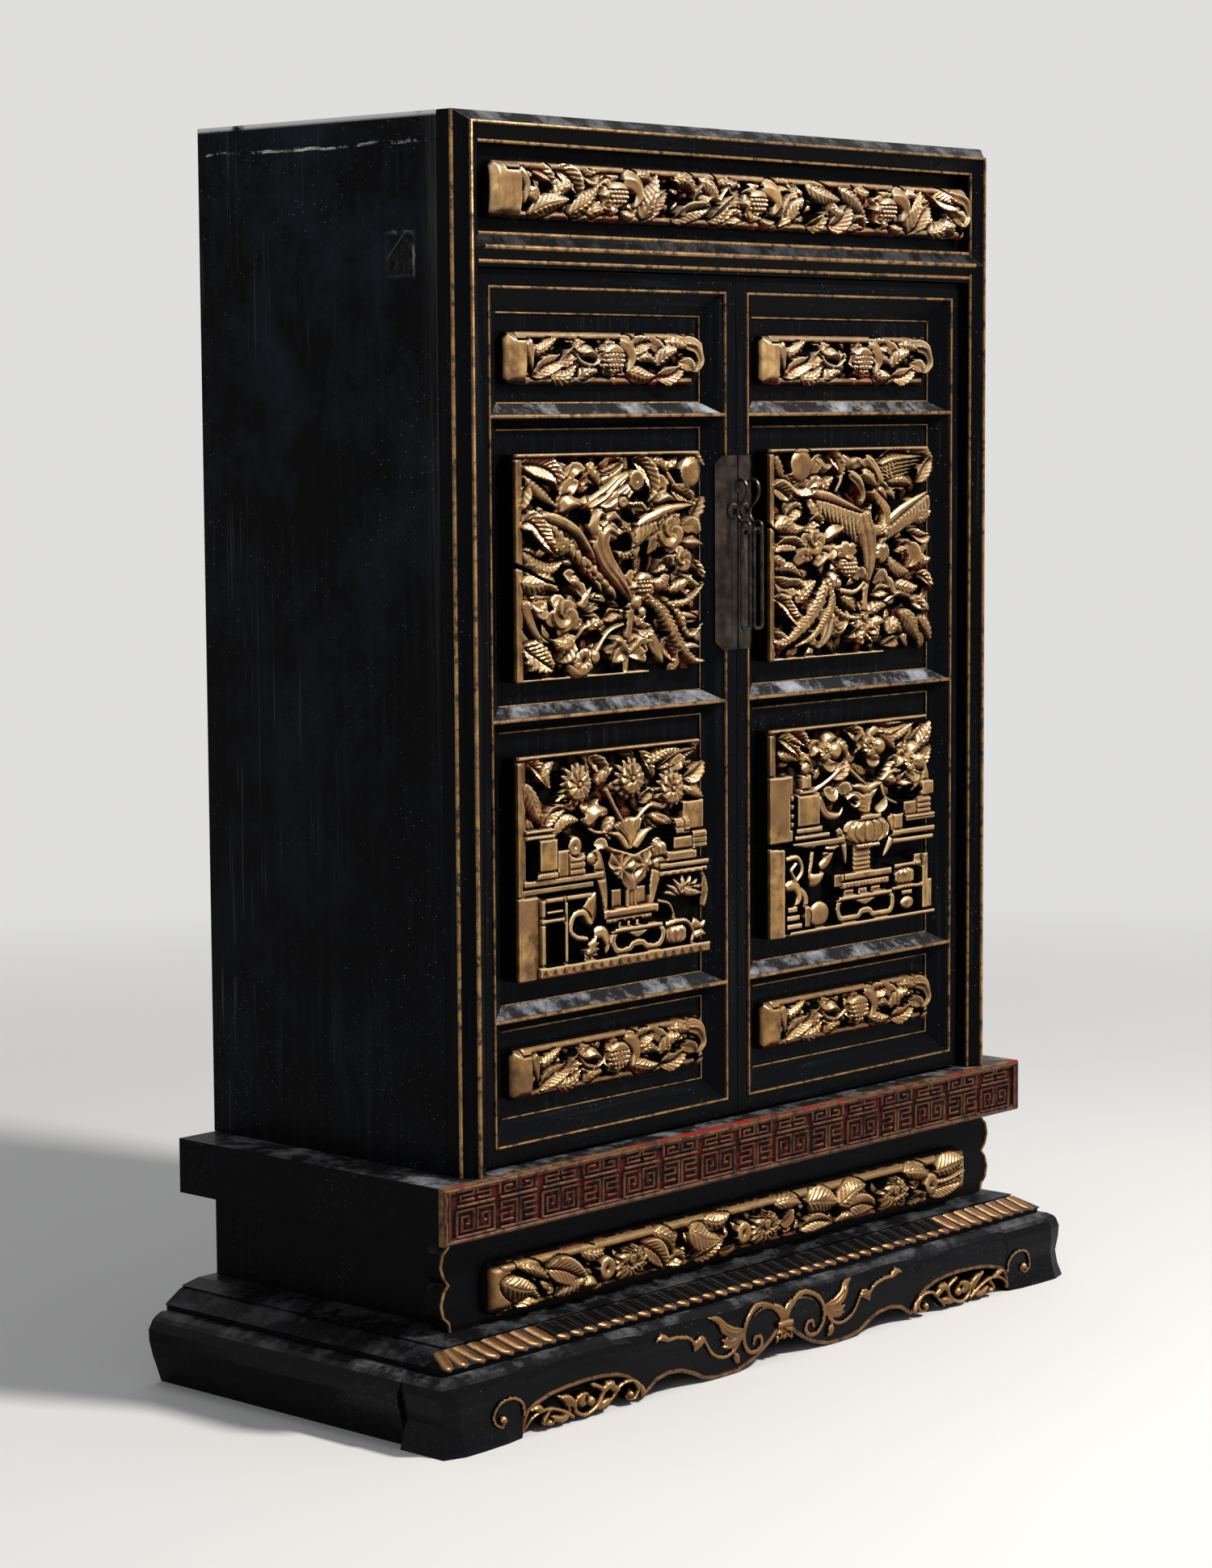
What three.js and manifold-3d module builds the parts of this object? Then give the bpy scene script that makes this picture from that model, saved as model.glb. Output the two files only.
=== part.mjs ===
// Lacquered household shrine: a two-door cabinet on a waisted stand.
// Millimetres, +Z up, the doors face -Y, the floor is at zero.
import * as THREE from 'three';
import ManifoldModule from 'manifold-3d';

const wasm = await ManifoldModule();
wasm.setup();

// fits shared by every joint
const seatGap = 0.3;
const pinClearance = 0.08;

// cabinet body
const bodyWidth = 500;
const bodyDepth = 217;
const bodyHeight = 618;
const sideThick = 15;
const topThick = 16.5;
const backThick = 12;
const floorThick = 8;

// moulding on the front edges of the body
const ridgeInset = 7;
const ridgeReach = 9;
const innerLineInset = 17.2;
const innerLineReach = 3.4;
const postDepth = 11.7;

// rail and panel over the doors
const friezeDrop = 77.5;
const friezeRailHalf = 7.9;
const friezeRailFoot = 3.2;
const friezeRailDepth = 22;
const friezePanelSetback = 4;

// doors
const doorSideGap = 2.4;
const doorTopGap = 0.8;
const doorBottomGap = 2.4;
const meetingGap = 0.6;
const doorStopGap = 0.8;
const doorSetback = 1;
const doorThick = 14;
const flatWidth = 10.4;
const slopeWidth = 14.4;
const slopeDepth = 9;
const lipThick = 0.6;
const rabbetWidth = 7.2;
const panelThick = 3.8;
const midRailHalf = 7.7;
const tongueHalf = 4;
const tongueRoot = 1.2;
const shortBay = 85.2;
const pinRadius = 3.5;
const pinLength = 8;
const socketSpare = 0.3;
const edgeRound = 3.5;
const stileOverlap = 2.4;

// carved plaques
const tallPlaque = { marginX: 4.2, marginZ: 14.2, depth: 13.4 };
const shortPlaque = { marginX: 1.4, marginZ: 10.4, depth: 10.4 };
const friezePlaqueSize = { marginX: 2.4, marginZ: 8.7, depth: 11.5 };
const waistPlaqueSize = { marginX: 33, marginZ: 12.8, depth: 14 };
const waistPlaqueDrop = 7.5;
const plaqueChamfer = 6;
const plaqueBevel = 3;
const plaqueGround = 4.4;
const seedHeadRadius = 14;
const seedHeadRise = 2.4;
const seedHeadPitch = 129;

// stand
const slabThick = 34;
const slabReach = 14;
const sideExtraReach = 15;
const fretThick = 4;
const fretBorder = 4;
const fretRecess = 1.6;
const waistHeight = 57;
const waistReach = 16;
const waistSetback = 2.5;
const waistBoardThick = 14;
const waistSideThick = 12;
const ledgeReach = 11.6;
const ledgeFall = 2.8;
const grooveWidth = 1.6;
const grooveDepth = 1.2;
const petalReach = 25.2;
const petalFall = 7.8;
const mouldingHeight = 16;
const mouldingDepth = 52;
const apronHeight = 44;
const apronTopReach = 28.5;
const apronBulge = 8;
const sideBulge = 10.5;
const apronThick = 28.5;
const apronFootReach = 40;
const cornerEase = 5;
const sideApronThick = 32;
const standBackReach = 3;
const standBackThick = 11;

// lock metal
const lockHeight = 121;
const lockRise = 3.2;
const lockWing = 7;
const lockThick = 1;
const lockClip = 5;
const lockEdgeInset = 0.4;
const rosetteRadius = 4.6;
const rosetteRise = 3;
const rosetteDrop = 34;
const hookWire = 1.1;
const hookRingRadius = 3.6;
const hookRingReach = 11;
const hookRingDrop = 10.5;
const pullWire = 1.3;
const pullHalfWidth = 3.8;
const pullLength = 62;
const pullCorner = 2.6;
const pullClearance = 0.12;

// heights of the stand and planes of the body
const standHeight = apronHeight + mouldingHeight + waistHeight + slabThick;
const apronTop = apronHeight;
const ledgeTop = apronTop + mouldingHeight;
const slabBottom = ledgeTop + waistHeight;
const slabTop = slabBottom + slabThick;
const bodyTop = standHeight + bodyHeight;
const halfWidth = bodyWidth / 2;
const wholeDepth = apronFootReach + bodyDepth + standBackReach;
const front = apronFootReach - wholeDepth / 2;
const back = front + bodyDepth;
const standBack = back + standBackReach;
const backBoardFace = back - backThick;

// door planes
const doorFace = front + doorSetback;
const doorBack = doorFace + doorThick;
const doorOuter = halfWidth - innerLineInset - doorSideGap;
const doorInner = meetingGap / 2;
const doorLow = slabTop + doorBottomGap;
const friezeRailMid = bodyTop - friezeDrop;
const friezeRailLow = friezeRailMid - friezeRailHalf - friezeRailFoot;
const friezeRailTop = friezeRailMid + friezeRailHalf;
const doorTop = friezeRailLow - doorTopGap;
const slopeFace = doorFace + slopeDepth;
const lipBack = slopeFace + lipThick;
const lowRailMid = doorLow + shortBay;
const highRailMid = doorTop - shortBay;
const midRailHeights = {
  low: lowRailMid,
  middle: (lowRailMid + highRailMid) / 2,
  high: highRailMid,
};
const frameDepth = flatWidth + slopeWidth;
const panelFace = lipBack + seatGap;
const pivotInset = doorThick / 2;
const pivotX = doorOuter - pivotInset;
const pivotY = doorFace + pivotInset;

const { PI } = Math;
const slots = {
  lacquer: 0x15171c,
  gilt: 0xb08a45,
  red_gilt: 0x7a2a1e,
  lock_metal: 0x4a4038,
};

// A closed body from rings of points that all have the same count.
function loft(rings, capPolygons) {
  const count = rings[0].length;
  const points = rings.flat();
  const faces = [];
  for (let r = 0; r + 1 < rings.length; r += 1) {
    for (let i = 0; i < count; i += 1) {
      const a = r * count + i;
      const b = r * count + ((i + 1) % count);
      faces.push([a, b, b + count], [a, b + count, a + count]);
    }
  }
  const caps = capPolygons ?? [capTriangles(rings[0])];
  const last = (rings.length - 1) * count;
  for (const [a, b, c] of caps.flat()) {
    faces.push([c, b, a], [a + last, b + last, c + last]);
  }
  return outward({ points, faces });
}

// Triangles over one flat ring, as index triples.
function capTriangles(ring) {
  const spans = [0, 1, 2].map((k) => {
    const values = ring.map((p) => p[k]);
    return Math.max(...values) - Math.min(...values);
  });
  const flat = spans.indexOf(Math.min(...spans));
  const [u, v] = [0, 1, 2].filter((k) => k !== flat);
  const contour = ring.map((p) => new THREE.Vector2(p[u], p[v]));
  return triangulate(contour, ring.map((_, i) => i));
}

// Triangles over a polygon of numbered points, turned the way the numbers run.
function triangulate(contour, numbers) {
  const triangles = THREE.ShapeUtils.triangulateShape(contour, []);
  return triangles.map((t) => t.map((i) => numbers[i]).sort((p, q) => p - q));
}

// Turns every face of a closed body to look outward.
function outward(solid) {
  let volume = 0;
  for (const [a, b, c] of solid.faces) {
    const [p, q, r] = [a, b, c].map((i) => new THREE.Vector3(...solid.points[i]));
    volume += p.dot(q.cross(r));
  }
  if (volume < 0) {
    solid.faces = solid.faces.map(([a, b, c]) => [a, c, b]);
  }
  return solid;
}

// A box between two corners.
function box([x0, y0, z0], [x1, y1, z1]) {
  const ring = (z) => [[x0, y0, z], [x1, y0, z], [x1, y1, z], [x0, y1, z]];
  return loft([ring(z0), ring(z1)]);
}

// A body between two grids of points that share their size.
function shell(rows, columns, nearPoint, farPoint) {
  const points = [];
  const faces = [];
  for (const pick of [nearPoint, farPoint]) {
    for (let i = 0; i < rows; i += 1) {
      for (let j = 0; j < columns; j += 1) {
        points.push(pick(i, j));
      }
    }
  }
  const near = (i, j) => i * columns + j;
  const far = (i, j) => rows * columns + near(i, j);
  const quad = (a, b, c, d) => faces.push([a, b, c], [a, c, d]);
  for (let i = 0; i + 1 < rows; i += 1) {
    for (let j = 0; j + 1 < columns; j += 1) {
      quad(near(i, j), near(i, j + 1), near(i + 1, j + 1), near(i + 1, j));
      quad(far(i, j), far(i + 1, j), far(i + 1, j + 1), far(i, j + 1));
    }
    quad(near(i, 0), near(i + 1, 0), far(i + 1, 0), far(i, 0));
    const j = columns - 1;
    quad(near(i + 1, j), near(i, j), far(i, j), far(i + 1, j));
  }
  for (let j = 0; j + 1 < columns; j += 1) {
    quad(near(0, j + 1), near(0, j), far(0, j), far(0, j + 1));
    const i = rows - 1;
    quad(near(i, j), near(i, j + 1), far(i, j + 1), far(i, j));
  }
  return outward({ points, faces });
}

// A round wire that follows a flat path; side is the path's own normal.
function wire(path, side, radius, closed) {
  const sides = 8;
  const normal = new THREE.Vector3(...side);
  const spots = path.map((p) => new THREE.Vector3(...p));
  const rings = spots.map((spot, i) => {
    const before = spots[closed ? (i + spots.length - 1) % spots.length : Math.max(i - 1, 0)];
    const after = spots[closed ? (i + 1) % spots.length : Math.min(i + 1, spots.length - 1)];
    const along = after.clone().sub(before).normalize();
    const across = along.cross(normal);
    return Array.from({ length: sides }, (_, k) => {
      const turn = (2 * PI * k) / sides;
      const point = spot.clone();
      point.addScaledVector(normal, radius * Math.cos(turn));
      point.addScaledVector(across, radius * Math.sin(turn));
      return point.toArray();
    });
  });
  if (!closed) {
    const fan = Array.from({ length: sides - 2 }, (_, k) => [0, k + 1, k + 2]);
    return loft(rings, [fan]);
  }
  const points = rings.flat();
  const faces = [];
  for (let r = 0; r < rings.length; r += 1) {
    const next = (r + 1) % rings.length;
    for (let k = 0; k < sides; k += 1) {
      const a = r * sides + k;
      const b = r * sides + ((k + 1) % sides);
      const c = next * sides + ((k + 1) % sides);
      const d = next * sides + k;
      faces.push([a, b, c], [a, c, d]);
    }
  }
  return outward({ points, faces });
}

// A turned body: the profile lists radius and height along the axis from its foot.
function turned(centre, axis, profile, sides) {
  const turn = new THREE.Quaternion();
  turn.setFromUnitVectors(new THREE.Vector3(0, 0, 1), new THREE.Vector3(...axis));
  const rings = profile.map(([radius, height]) => Array.from({ length: sides }, (_, k) => {
    const angle = (2 * PI * k) / sides;
    const point = new THREE.Vector3(radius * Math.cos(angle), radius * Math.sin(angle), height);
    return point.applyQuaternion(turn).add(new THREE.Vector3(...centre)).toArray();
  }));
  const fan = Array.from({ length: sides - 2 }, (_, k) => [0, k + 1, k + 2]);
  return loft(rings, [fan]);
}

function toManifold(solid) {
  return new wasm.Manifold(new wasm.Mesh({
    numProp: 3,
    vertProperties: new Float32Array(solid.points.flat()),
    triVerts: new Uint32Array(solid.faces.flat()),
  }));
}

function fromManifold(manifold) {
  const { vertProperties, triVerts, numProp } = manifold.getMesh();
  const points = [];
  for (let i = 0; i < vertProperties.length; i += numProp) {
    points.push([vertProperties[i], vertProperties[i + 1], vertProperties[i + 2]]);
  }
  const faces = [];
  for (let i = 0; i < triVerts.length; i += 3) {
    faces.push([triVerts[i], triVerts[i + 1], triVerts[i + 2]]);
  }
  return { points, faces };
}

function joined(...solids) {
  return fromManifold(solids.map(toManifold).reduce((a, b) => a.add(b)));
}

function cutFrom(solid, ...cutters) {
  return fromManifold(cutters.map(toManifold).reduce((a, b) => a.subtract(b), toManifold(solid)));
}

function mirrored(solid) {
  return outward({
    points: solid.points.map(([x, y, z]) => [-x, y, z]),
    faces: solid.faces.map((face) => [...face]),
  });
}

// Profiles below are lists of [inset from the outer edge, place in depth].
// A bar runs along one direction; each end is cut by its own rule.
function bar(profile, groups, place, lowEnd, highEnd) {
  const ring = (end) => profile.map(([inset, depth]) => place(inset, depth, end(inset, depth)));
  const caps = groups.map((numbers) => {
    const contour = numbers.map((n) => new THREE.Vector2(...profile[n]));
    return triangulate(contour, numbers);
  });
  return loft([ring(lowEnd), ring(highEnd)], caps);
}

// Moulding on the body's front edges, mitred where two meet.
const edgeProfile = [
  [0, front],
  [ridgeInset, front - ridgeReach],
  [innerLineInset, front - innerLineReach],
  [innerLineInset, front + postDepth],
  [0, front + postDepth],
];
const whole = [[0, 1, 2, 3, 4]];
const leftPost = bar(
  edgeProfile,
  whole,
  (inset, depth, along) => [inset - halfWidth, depth, along],
  () => slabTop + seatGap,
  (inset) => bodyTop - inset - seatGap,
);
const topRail = bar(
  edgeProfile,
  whole,
  (inset, depth, along) => [along, depth, bodyTop - inset],
  (inset) => inset - halfWidth,
  (inset) => halfWidth - inset,
);

// Rail over the doors, its ridge cut to lie on the slopes of the posts.
const postSlope = (innerLineInset - ridgeInset) / (ridgeReach - innerLineReach);
function friezeRailEnd(depth) {
  const past = Math.min(depth - (front - ridgeReach), ridgeReach - innerLineReach);
  return halfWidth - ridgeInset - past * postSlope - seatGap;
}
const friezeRailProfile = [
  [friezeRailLow, front - innerLineReach],
  [friezeRailMid - friezeRailHalf, front - innerLineReach],
  [friezeRailMid, front - ridgeReach],
  [friezeRailTop, front - innerLineReach],
  [friezeRailTop, front + friezeRailDepth],
  [friezeRailLow, front + friezeRailDepth],
];
const friezeRailBar = bar(
  friezeRailProfile,
  [[1, 2, 3], [0, 1, 3, 4, 5]],
  (height, depth, along) => [along, depth, height],
  (height, depth) => -friezeRailEnd(depth),
  (height, depth) => friezeRailEnd(depth),
);

// A pin or the socket round it, at one end of a door's pivot line.
function pivotPeg(side, low, high, radius) {
  return turned([side * pivotX, pivotY, low], [0, 0, 1], [[radius, 0], [radius, high - low]], 32);
}
const socketRadius = pinRadius + pinClearance;
const pinTop = doorTop + pinLength;
const pinFoot = doorLow - pinLength;
const socketTop = pinTop + socketSpare;
const socketFoot = pinFoot - socketSpare;
const overreach = 5;
const friezeRail = cutFrom(
  friezeRailBar,
  pivotPeg(-1, friezeRailLow - overreach, socketTop, socketRadius),
  pivotPeg(1, friezeRailLow - overreach, socketTop, socketRadius),
);

// One door member: flat outside, a slope down to the panel, a rabbet behind.
const slopeProfile = [
  [flatWidth - stileOverlap, doorFace],
  [flatWidth, doorFace],
  [frameDepth, slopeFace],
  [frameDepth, lipBack],
  [frameDepth - rabbetWidth, lipBack],
  [frameDepth - rabbetWidth, doorBack],
  [flatWidth - stileOverlap, doorBack],
];
function stileSlope(place) {
  return bar(
    slopeProfile,
    [[0, 1, 2, 3, 4, 5, 6]],
    place,
    (inset) => doorLow + inset,
    (inset) => doorTop - inset,
  );
}

// Plan of the hinge stile's flat part: both outer corners rounded about the pivot side.
function hingePlan() {
  const steps = 6;
  const plan = [];
  const arc = (cx, cy, radius, from) => {
    for (let k = 0; k <= steps; k += 1) {
      const angle = from + (PI / 2) * (k / steps);
      plan.push([cx + radius * Math.cos(angle), cy + radius * Math.sin(angle)]);
    }
  };
  plan.push([-doorOuter + flatWidth, doorFace], [-doorOuter + flatWidth, doorBack]);
  arc(-pivotX, pivotY, pivotInset, PI / 2);
  arc(-doorOuter + edgeRound, doorFace + edgeRound, edgeRound, PI);
  return plan;
}

function hingeStile() {
  const plan = hingePlan();
  const ring = (z) => plan.map(([x, y]) => [x, y, z]);
  return joined(
    loft([ring(doorLow), ring(doorTop)]),
    stileSlope((inset, depth, along) => [-doorOuter + inset, depth, along]),
    pivotPeg(-1, pinFoot, doorLow + overreach, pinRadius),
    pivotPeg(-1, doorTop - overreach, pinTop, pinRadius),
  );
}

function meetingStile() {
  return joined(
    box([-doorInner - flatWidth, doorFace, doorLow], [-doorInner, doorBack, doorTop]),
    stileSlope((inset, depth, along) => [-doorInner - inset, depth, along]),
  );
}

// Top and bottom rails of a door: butted at the flats, mitred at the slopes.
const railProfile = [
  [0, doorFace],
  [flatWidth, doorFace],
  [frameDepth, slopeFace],
  [frameDepth, lipBack],
  [frameDepth - rabbetWidth, lipBack],
  [frameDepth - rabbetWidth, doorBack],
  [flatWidth, doorBack],
  [0, doorBack],
];
function doorRail(heightOf) {
  const inset = (given) => Math.max(given, flatWidth) + seatGap;
  return bar(
    railProfile,
    [[0, 1, 6, 7], [1, 2, 3, 4, 5, 6]],
    (given, depth, along) => [along, depth, heightOf(given)],
    (given) => -doorOuter + inset(given),
    (given) => -doorInner - inset(given),
  );
}

// Middle rail: a ridge whose ends lie on the stiles' slopes, with a tongue behind.
function midRail(middle) {
  const ridge = bar(
    [
      [-midRailHalf, slopeFace],
      [0, doorFace],
      [midRailHalf, slopeFace],
      [midRailHalf, lipBack],
      [-midRailHalf, lipBack],
    ],
    [[0, 1, 2], [0, 2, 3, 4]],
    (rise, depth, along) => [along, depth, middle + rise],
    (rise, depth) => -doorOuter + midRailInset(depth),
    (rise, depth) => -doorInner - midRailInset(depth),
  );
  const neck = frameDepth + seatGap;
  const tenon = frameDepth - rabbetWidth + seatGap;
  const tongue = (inset, near) => box(
    [-doorOuter + inset, near, middle - tongueHalf],
    [-doorInner - inset, doorBack, middle + tongueHalf],
  );
  return joined(ridge, tongue(neck, lipBack - tongueRoot), tongue(tenon, panelFace));
}

function midRailInset(depth) {
  const fall = Math.min(depth - doorFace, slopeDepth);
  return flatWidth + (fall / slopeDepth) * slopeWidth + seatGap;
}

// Openings of a door, bottom to top, between the edges of its rails.
const railSeats = [
  { upper: doorLow + frameDepth, tongue: doorLow + frameDepth - rabbetWidth },
  ...Object.values(midRailHeights).map((height) => ({
    lower: height - midRailHalf,
    upper: height + midRailHalf,
    under: height - tongueHalf,
    tongue: height + tongueHalf,
  })),
  { lower: doorTop - frameDepth, under: doorTop - frameDepth + rabbetWidth },
];
const openings = railSeats.slice(0, -1).map((seat, i) => ({
  middle: (seat.upper + railSeats[i + 1].lower) / 2,
  height: railSeats[i + 1].lower - seat.upper,
  panelLow: seat.tongue + seatGap,
  panelTop: railSeats[i + 1].under - seatGap,
}));
const doorMiddle = -(doorOuter + doorInner) / 2;
const openingWidth = doorOuter - doorInner - 2 * frameDepth;

function doorPanel({ panelLow, panelTop }) {
  const inset = frameDepth - rabbetWidth + seatGap;
  return box(
    [-doorOuter + inset, panelFace, panelLow],
    [-doorInner - inset, panelFace + panelThick, panelTop],
  );
}

// A carved plaque's block in an opening: clipped corners, and a bevel round its front.
function plaque([middleX, seat, middleZ], [openWidth, openHeight], { marginX, marginZ, depth }) {
  const width = openWidth / 2 - marginX;
  const height = openHeight / 2 - marginZ;
  const ring = (shrink, y) => {
    const w = width - shrink;
    const h = height - shrink;
    const c = plaqueChamfer;
    const outline = [
      [w, c - h], [w, h - c], [w - c, h], [c - w, h],
      [-w, h - c], [-w, c - h], [c - w, -h], [w - c, -h],
    ];
    return outline.map(([x, z]) => [middleX + x, y, middleZ + z]);
  };
  return loft([
    ring(0, seat),
    ring(0, seat - depth + plaqueBevel),
    ring(plaqueBevel, seat - depth),
  ]);
}

// Carved relief: forms that stand on a plaque's thin ground. Each is drawn in shares of the
// plaque's width and height and rises to a share of its depth. A profile gives the form's
// size at shares of its rise.
const domeSides = 10;
const domeProfile = [[1, 0], [1, 0.75], [0.6, 1]];
const leafProfile = [[1, 0], [0.72, 1]];
const leafTip = 0.3;
const blockProfile = [[1, 0], [1, 1]];
function leafForm(path, half, rise) {
  const outline = (place, height, size) => {
    const line = path.map(([u, v]) => place(u, v));
    const edge = (sign) => line.map(([x, z], i) => {
      const before = line[Math.max(i - 1, 0)];
      const after = line[Math.min(i + 1, line.length - 1)];
      const end = i === 0 || i === line.length - 1;
      const wide = sign * half * height * size * (end ? leafTip : 1);
      const along = Math.atan2(after[1] - before[1], after[0] - before[0]);
      return [x - Math.sin(along) * wide, z + Math.cos(along) * wide];
    });
    return [...edge(1), ...edge(-1).reverse()];
  };
  return { rise, profile: leafProfile, outline };
}
function domeForm([u, v], [radiusU, radiusV], rise) {
  const turns = Array.from({ length: domeSides }, (_, i) => (2 * PI * i) / domeSides);
  const outline = (place, height, size) => turns.map((turn) => (
    place(u + radiusU * size * Math.cos(turn), v + radiusV * size * Math.sin(turn))
  ));
  return { rise, profile: domeProfile, outline };
}
function blockForm([lowU, lowV], [highU, highV], rise) {
  const corners = [[lowU, lowV], [highU, lowV], [highU, highV], [lowU, highV]];
  return { rise, profile: blockProfile, outline: (place) => corners.map(([u, v]) => place(u, v)) };
}
function carvedPlaque([middleX, seat, middleZ], open, size, forms) {
  const width = open[0] - 2 * size.marginX;
  const height = open[1] - 2 * size.marginZ;
  const place = (u, v) => [middleX + (u - 1 / 2) * width, middleZ + (v - 1 / 2) * height];
  const foot = seat - plaqueGround / 2;
  const raised = forms.map(({ rise, profile, outline }) => loft(profile.map(([shrink, share]) => {
    const y = foot + (seat - rise * size.depth - foot) * share;
    return outline(place, height, shrink).map(([x, z]) => [x, y, z]);
  })));
  return joined(plaque([middleX, seat, middleZ], open, { ...size, depth: plaqueGround }), ...raised);
}
const leftBirdForms = [
  blockForm([0, 0.045], [0.024, 0.955], 0.94),
  blockForm([0.035, 0.976], [0.965, 1], 0.896),
  leafForm([[0.058, 0.947], [0.151, 0.94], [0.221, 0.887], [0.244, 0.805]], 0.048, 0.821),
  leafForm([[0.07, 0.887], [0.139, 0.828], [0.221, 0.768]], 0.027, 0.821),
  leafForm([[0.267, 0.88], [0.314, 0.925], [0.372, 0.925]], 0.03, 0.784),
  leafForm([[0.256, 0.776], [0.302, 0.798], [0.36, 0.79]], 0.052, 0.784),
  leafForm([[0.395, 0.753], [0.488, 0.798], [0.569, 0.88]], 0.067, 0.881),
  domeForm([0.616, 0.872], [0.04, 0.051], 0.925),
  leafForm([[0.43, 0.925], [0.5, 0.947], [0.569, 0.969]], 0.03, 0.746),
  leafForm([[0.628, 0.962], [0.691, 0.91], [0.703, 0.79]], 0.045, 0.821),
  domeForm([0.912, 0.902], [0.052, 0.067], 0.94),
  leafForm([[0.744, 0.925], [0.802, 0.85], [0.872, 0.805], [0.953, 0.783]], 0.034, 0.776),
  leafForm([[0.651, 0.679], [0.755, 0.708], [0.906, 0.753]], 0.03, 0.896),
  leafForm([[0.651, 0.611], [0.755, 0.641], [0.837, 0.686]], 0.052, 0.821),
  leafForm([[0.163, 0.723], [0.267, 0.671], [0.36, 0.582], [0.407, 0.492]], 0.027, 0.91),
  leafForm([[0.198, 0.656], [0.291, 0.567], [0.383, 0.477], [0.488, 0.403]], 0.048, 0.791),
  leafForm([[0.453, 0.716], [0.453, 0.611], [0.511, 0.492], [0.587, 0.358]], 0.052, 0.896),
  domeForm([0.569, 0.597], [0.058, 0.067], 0.791),
  leafForm([[0.598, 0.388], [0.598, 0.224], [0.587, 0.045]], 0.024, 0.716),
  domeForm([0.808, 0.626], [0.084, 0.097], 0.866),
  domeForm([0.877, 0.492], [0.055, 0.063], 0.821),
  leafForm([[0.872, 0.656], [0.93, 0.656], [0.976, 0.619]], 0.037, 0.821),
  leafForm([[0.86, 0.425], [0.918, 0.38], [0.982, 0.373]], 0.037, 0.806),
  leafForm([[0.697, 0.447], [0.755, 0.477], [0.813, 0.462]], 0.045, 0.746),
  leafForm([[0.709, 0.403], [0.767, 0.403], [0.825, 0.418]], 0.037, 0.746),
  domeForm([0.66, 0.403], [0.046, 0.057], 0.896),
  domeForm([0.639, 0.306], [0.032, 0.041], 0.821),
  leafForm([[0.697, 0.321], [0.779, 0.239], [0.86, 0.112], [0.965, 0.037]], 0.045, 0.896),
  leafForm([[0.79, 0.313], [0.872, 0.216], [0.93, 0.172], [0.982, 0.216]], 0.03, 0.866),
  leafForm([[0.813, 0.306], [0.906, 0.328], [0.982, 0.38]], 0.027, 0.836),
  domeForm([0.256, 0.291], [0.084, 0.097], 0.866),
  leafForm([[0.337, 0.313], [0.395, 0.343], [0.453, 0.328]], 0.048, 0.806),
  leafForm([[0.035, 0.686], [0.105, 0.686], [0.174, 0.611], [0.232, 0.544]], 0.052, 0.866),
  leafForm([[0.046, 0.552], [0.139, 0.5], [0.244, 0.515]], 0.037, 0.806),
  leafForm([[0.041, 0.433], [0.128, 0.425], [0.221, 0.403]], 0.045, 0.866),
  leafForm([[0.07, 0.373], [0.099, 0.254], [0.174, 0.172]], 0.034, 0.821),
  leafForm([[0.052, 0.149], [0.116, 0.104], [0.198, 0.052]], 0.067, 0.881),
  leafForm([[0.302, 0.179], [0.256, 0.134], [0.209, 0.149]], 0.045, 0.806),
  domeForm([0.349, 0.075], [0.049, 0.06], 0.821),
  leafForm([[0.407, 0.089], [0.488, 0.127], [0.569, 0.097]], 0.048, 0.806),
  leafForm([[0.604, 0.097], [0.662, 0.149], [0.721, 0.164]], 0.048, 0.806),
  leafForm([[0.691, 0.164], [0.732, 0.104], [0.767, 0.037]], 0.041, 0.821),
  leafForm([[0.256, 0.462], [0.302, 0.433], [0.337, 0.373]], 0.048, 0.821),
  leafForm([[0.383, 0.216], [0.465, 0.239], [0.558, 0.268]], 0.03, 0.746),
];
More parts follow.
